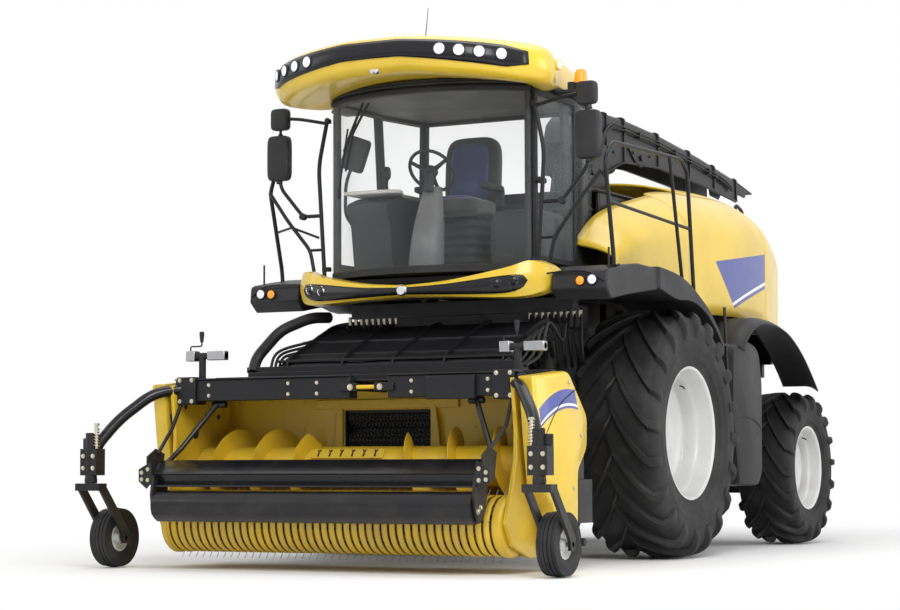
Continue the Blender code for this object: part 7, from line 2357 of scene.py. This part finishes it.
@dataclass
class Studio:
    """The camera, the soft lights, the pale floor and the white surround."""

    spot: Point = (8.298, -17.877, 0.808)
    azimuth: float = 27.873
    pitch: float = 4.016
    roll: float = -0.236
    lens: float = 88.07
    sensor: float = 36.0
    reach: float = 200.0
    grey: float = 0.5

    def camera(self) -> None:
        """Set up the camera: its columns are right, up and backwards, turned by azimuth, pitch and roll."""
        a, p, r = (math.radians(turn) for turn in (self.azimuth, self.pitch, self.roll))
        ahead = np.array([-math.sin(a) * math.cos(p), math.cos(a) * math.cos(p), math.sin(p)])
        right = np.array([math.cos(a), math.sin(a), 0.0])
        up = np.cross(right, ahead)
        columns = [math.cos(r) * right + math.sin(r) * up, math.cos(r) * up - math.sin(r) * right, -ahead]
        data = bpy.data.cameras.new("camera")
        data.lens = self.lens
        data.sensor_width = self.sensor
        data.clip_end = self.reach
        made = bpy.data.objects.new("camera", data)
        bpy.context.scene.collection.objects.link(made)
        made.matrix_world = Matrix.Translation(self.spot) @ Matrix(np.column_stack(columns).tolist()).to_4x4()
        bpy.context.scene.camera = made

    def lamp(self, name: str, spot: Point, target: Point, size: float, power: float) -> None:
        """Add one square soft light that looks at a target."""
        data = bpy.data.lights.new(name, "AREA")
        data.size = size
        data.energy = power
        made = bpy.data.objects.new(name, data)
        bpy.context.scene.collection.objects.link(made)
        look = Vector(target) - Vector(spot)
        made.matrix_world = Matrix.Translation(spot) @ look.to_track_quat("-Z", "Y").to_matrix().to_4x4()

    def surround(self) -> None:
        """Light the object with even grey, and show white to the camera and to reflections."""
        world = bpy.data.worlds.new("surround")
        bpy.context.scene.world = world
        world.use_nodes = True
        tree = world.node_tree
        shader = tree.nodes["Background"]
        path = tree.nodes.new("ShaderNodeLightPath")
        camera, glossy, passed = (Wire(tree, path.outputs[f"Is {kind} Ray"]) for kind in ("Camera", "Glossy",
            "Transmission"))
        seen = camera.math("MAXIMUM", camera.math("MAXIMUM", camera, glossy), passed)
        strength = seen * (1.0 - self.grey) + self.grey
        shader.inputs["Color"].default_value = (1.0, 1.0, 1.0, 1.0)
        tree.links.new(strength.out, shader.inputs["Strength"])

    def floor(self) -> None:
        """Lay the floor: it takes the object's shadow and fades to white with the distance from the middle."""
        mesh = bpy.data.meshes.new("floor")
        mesh.from_pydata([(-60, -60, -0.001), (60, -60, -0.001), (60, 60, -0.001), (-60, 60, -0.001)], [],
            [(0, 1, 2, 3)])
        made = bpy.data.objects.new("floor", mesh)
        bpy.context.scene.collection.objects.link(made)
        coat = Coat("floor", (0.93, 0.93, 0.93), 0.75)
        coat.feed("Roughness", coat.noise(3.0, 2.0) * 0.1 + 0.7)
        split = coat.tree.nodes.new("ShaderNodeSeparateXYZ")
        coat.tree.links.new(coat.place().out, split.inputs[0])
        x, y = (Wire(coat.tree, out) for out in list(split.outputs)[:2])
        reach = x * x * 2.2 + y * y
        far = reach.math("SQRT", reach).step(4.4, 8.5)
        seen = coat.node("ShaderNodeLightPath", {}, {}, "Is Camera Ray")
        white = coat.node("ShaderNodeEmission", {}, {"Color": (1.0, 1.0, 1.0, 1.0), "Strength": 1.0})
        mixed = coat.node("ShaderNodeMixShader", {}, {0: far * seen, 1: Wire(coat.tree, coat.shader.outputs[0]),
            2: white})
        coat.tree.links.new(mixed.out, coat.tree.nodes["Material Output"].inputs["Surface"])
        mesh.materials.append(coat.made)
        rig.stage(made)

    def build(self) -> None:
        """Make the camera, the lights, the floor and the surround."""
        self.camera()
        self.surround()
        self.floor()
        self.lamp("key", (7.0, -11.0, 8.5), (0.3, -2.0, 1.6), 6.0, 1000.0)
        self.lamp("fill", (-10.0, -8.0, 5.0), (0.0, -1.0, 1.6), 7.0, 200.0)
        self.lamp("side", (12.0, 3.0, 5.0), (0.0, 1.0, 1.8), 7.0, 420.0)
        self.lamp("top", (0.0, 0.0, 12.0), (0.0, 0.0, 0.0), 9.0, 520.0)
        bpy.context.scene.view_settings.view_transform = "Standard"


# The machine

def main() -> None:
    """Load the frame and build every part of the machine on it."""
    logging.basicConfig(level=logging.INFO, format="%(name)s %(message)s")
    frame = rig.load()
    cad_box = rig.bounds()
    Studio().build()
    dress_nodes(frame["nodes"])
    for name, s in SIDES:
        Wheel(f"front_{name}", s, y=0.0, radius=1.015, width=0.71, x=1.33, bead=0.533, lugs=20).build()
        Wheel(f"rear_{name}", s, y=3.306, radius=0.718, width=0.525, x=1.28, bead=0.381, lugs=18).build()
        GaugeWheel(name, s).build()
    for part in (Pickup(), CrossAuger(), HeaderShell(), TopBeam(), PressFrame(), Feeder(), CabShell(),
            CabInside(), Roof(), Nose(), Body(), Fenders(), Rails(), Spout()):
        part.build()
    with open("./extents.json", "w", encoding="utf-8") as out:
        json.dump({"cad": [list(corner) for corner in cad_box],
            "visual": [list(corner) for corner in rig.bounds()]}, out)


if __name__ == "__main__":
    main()
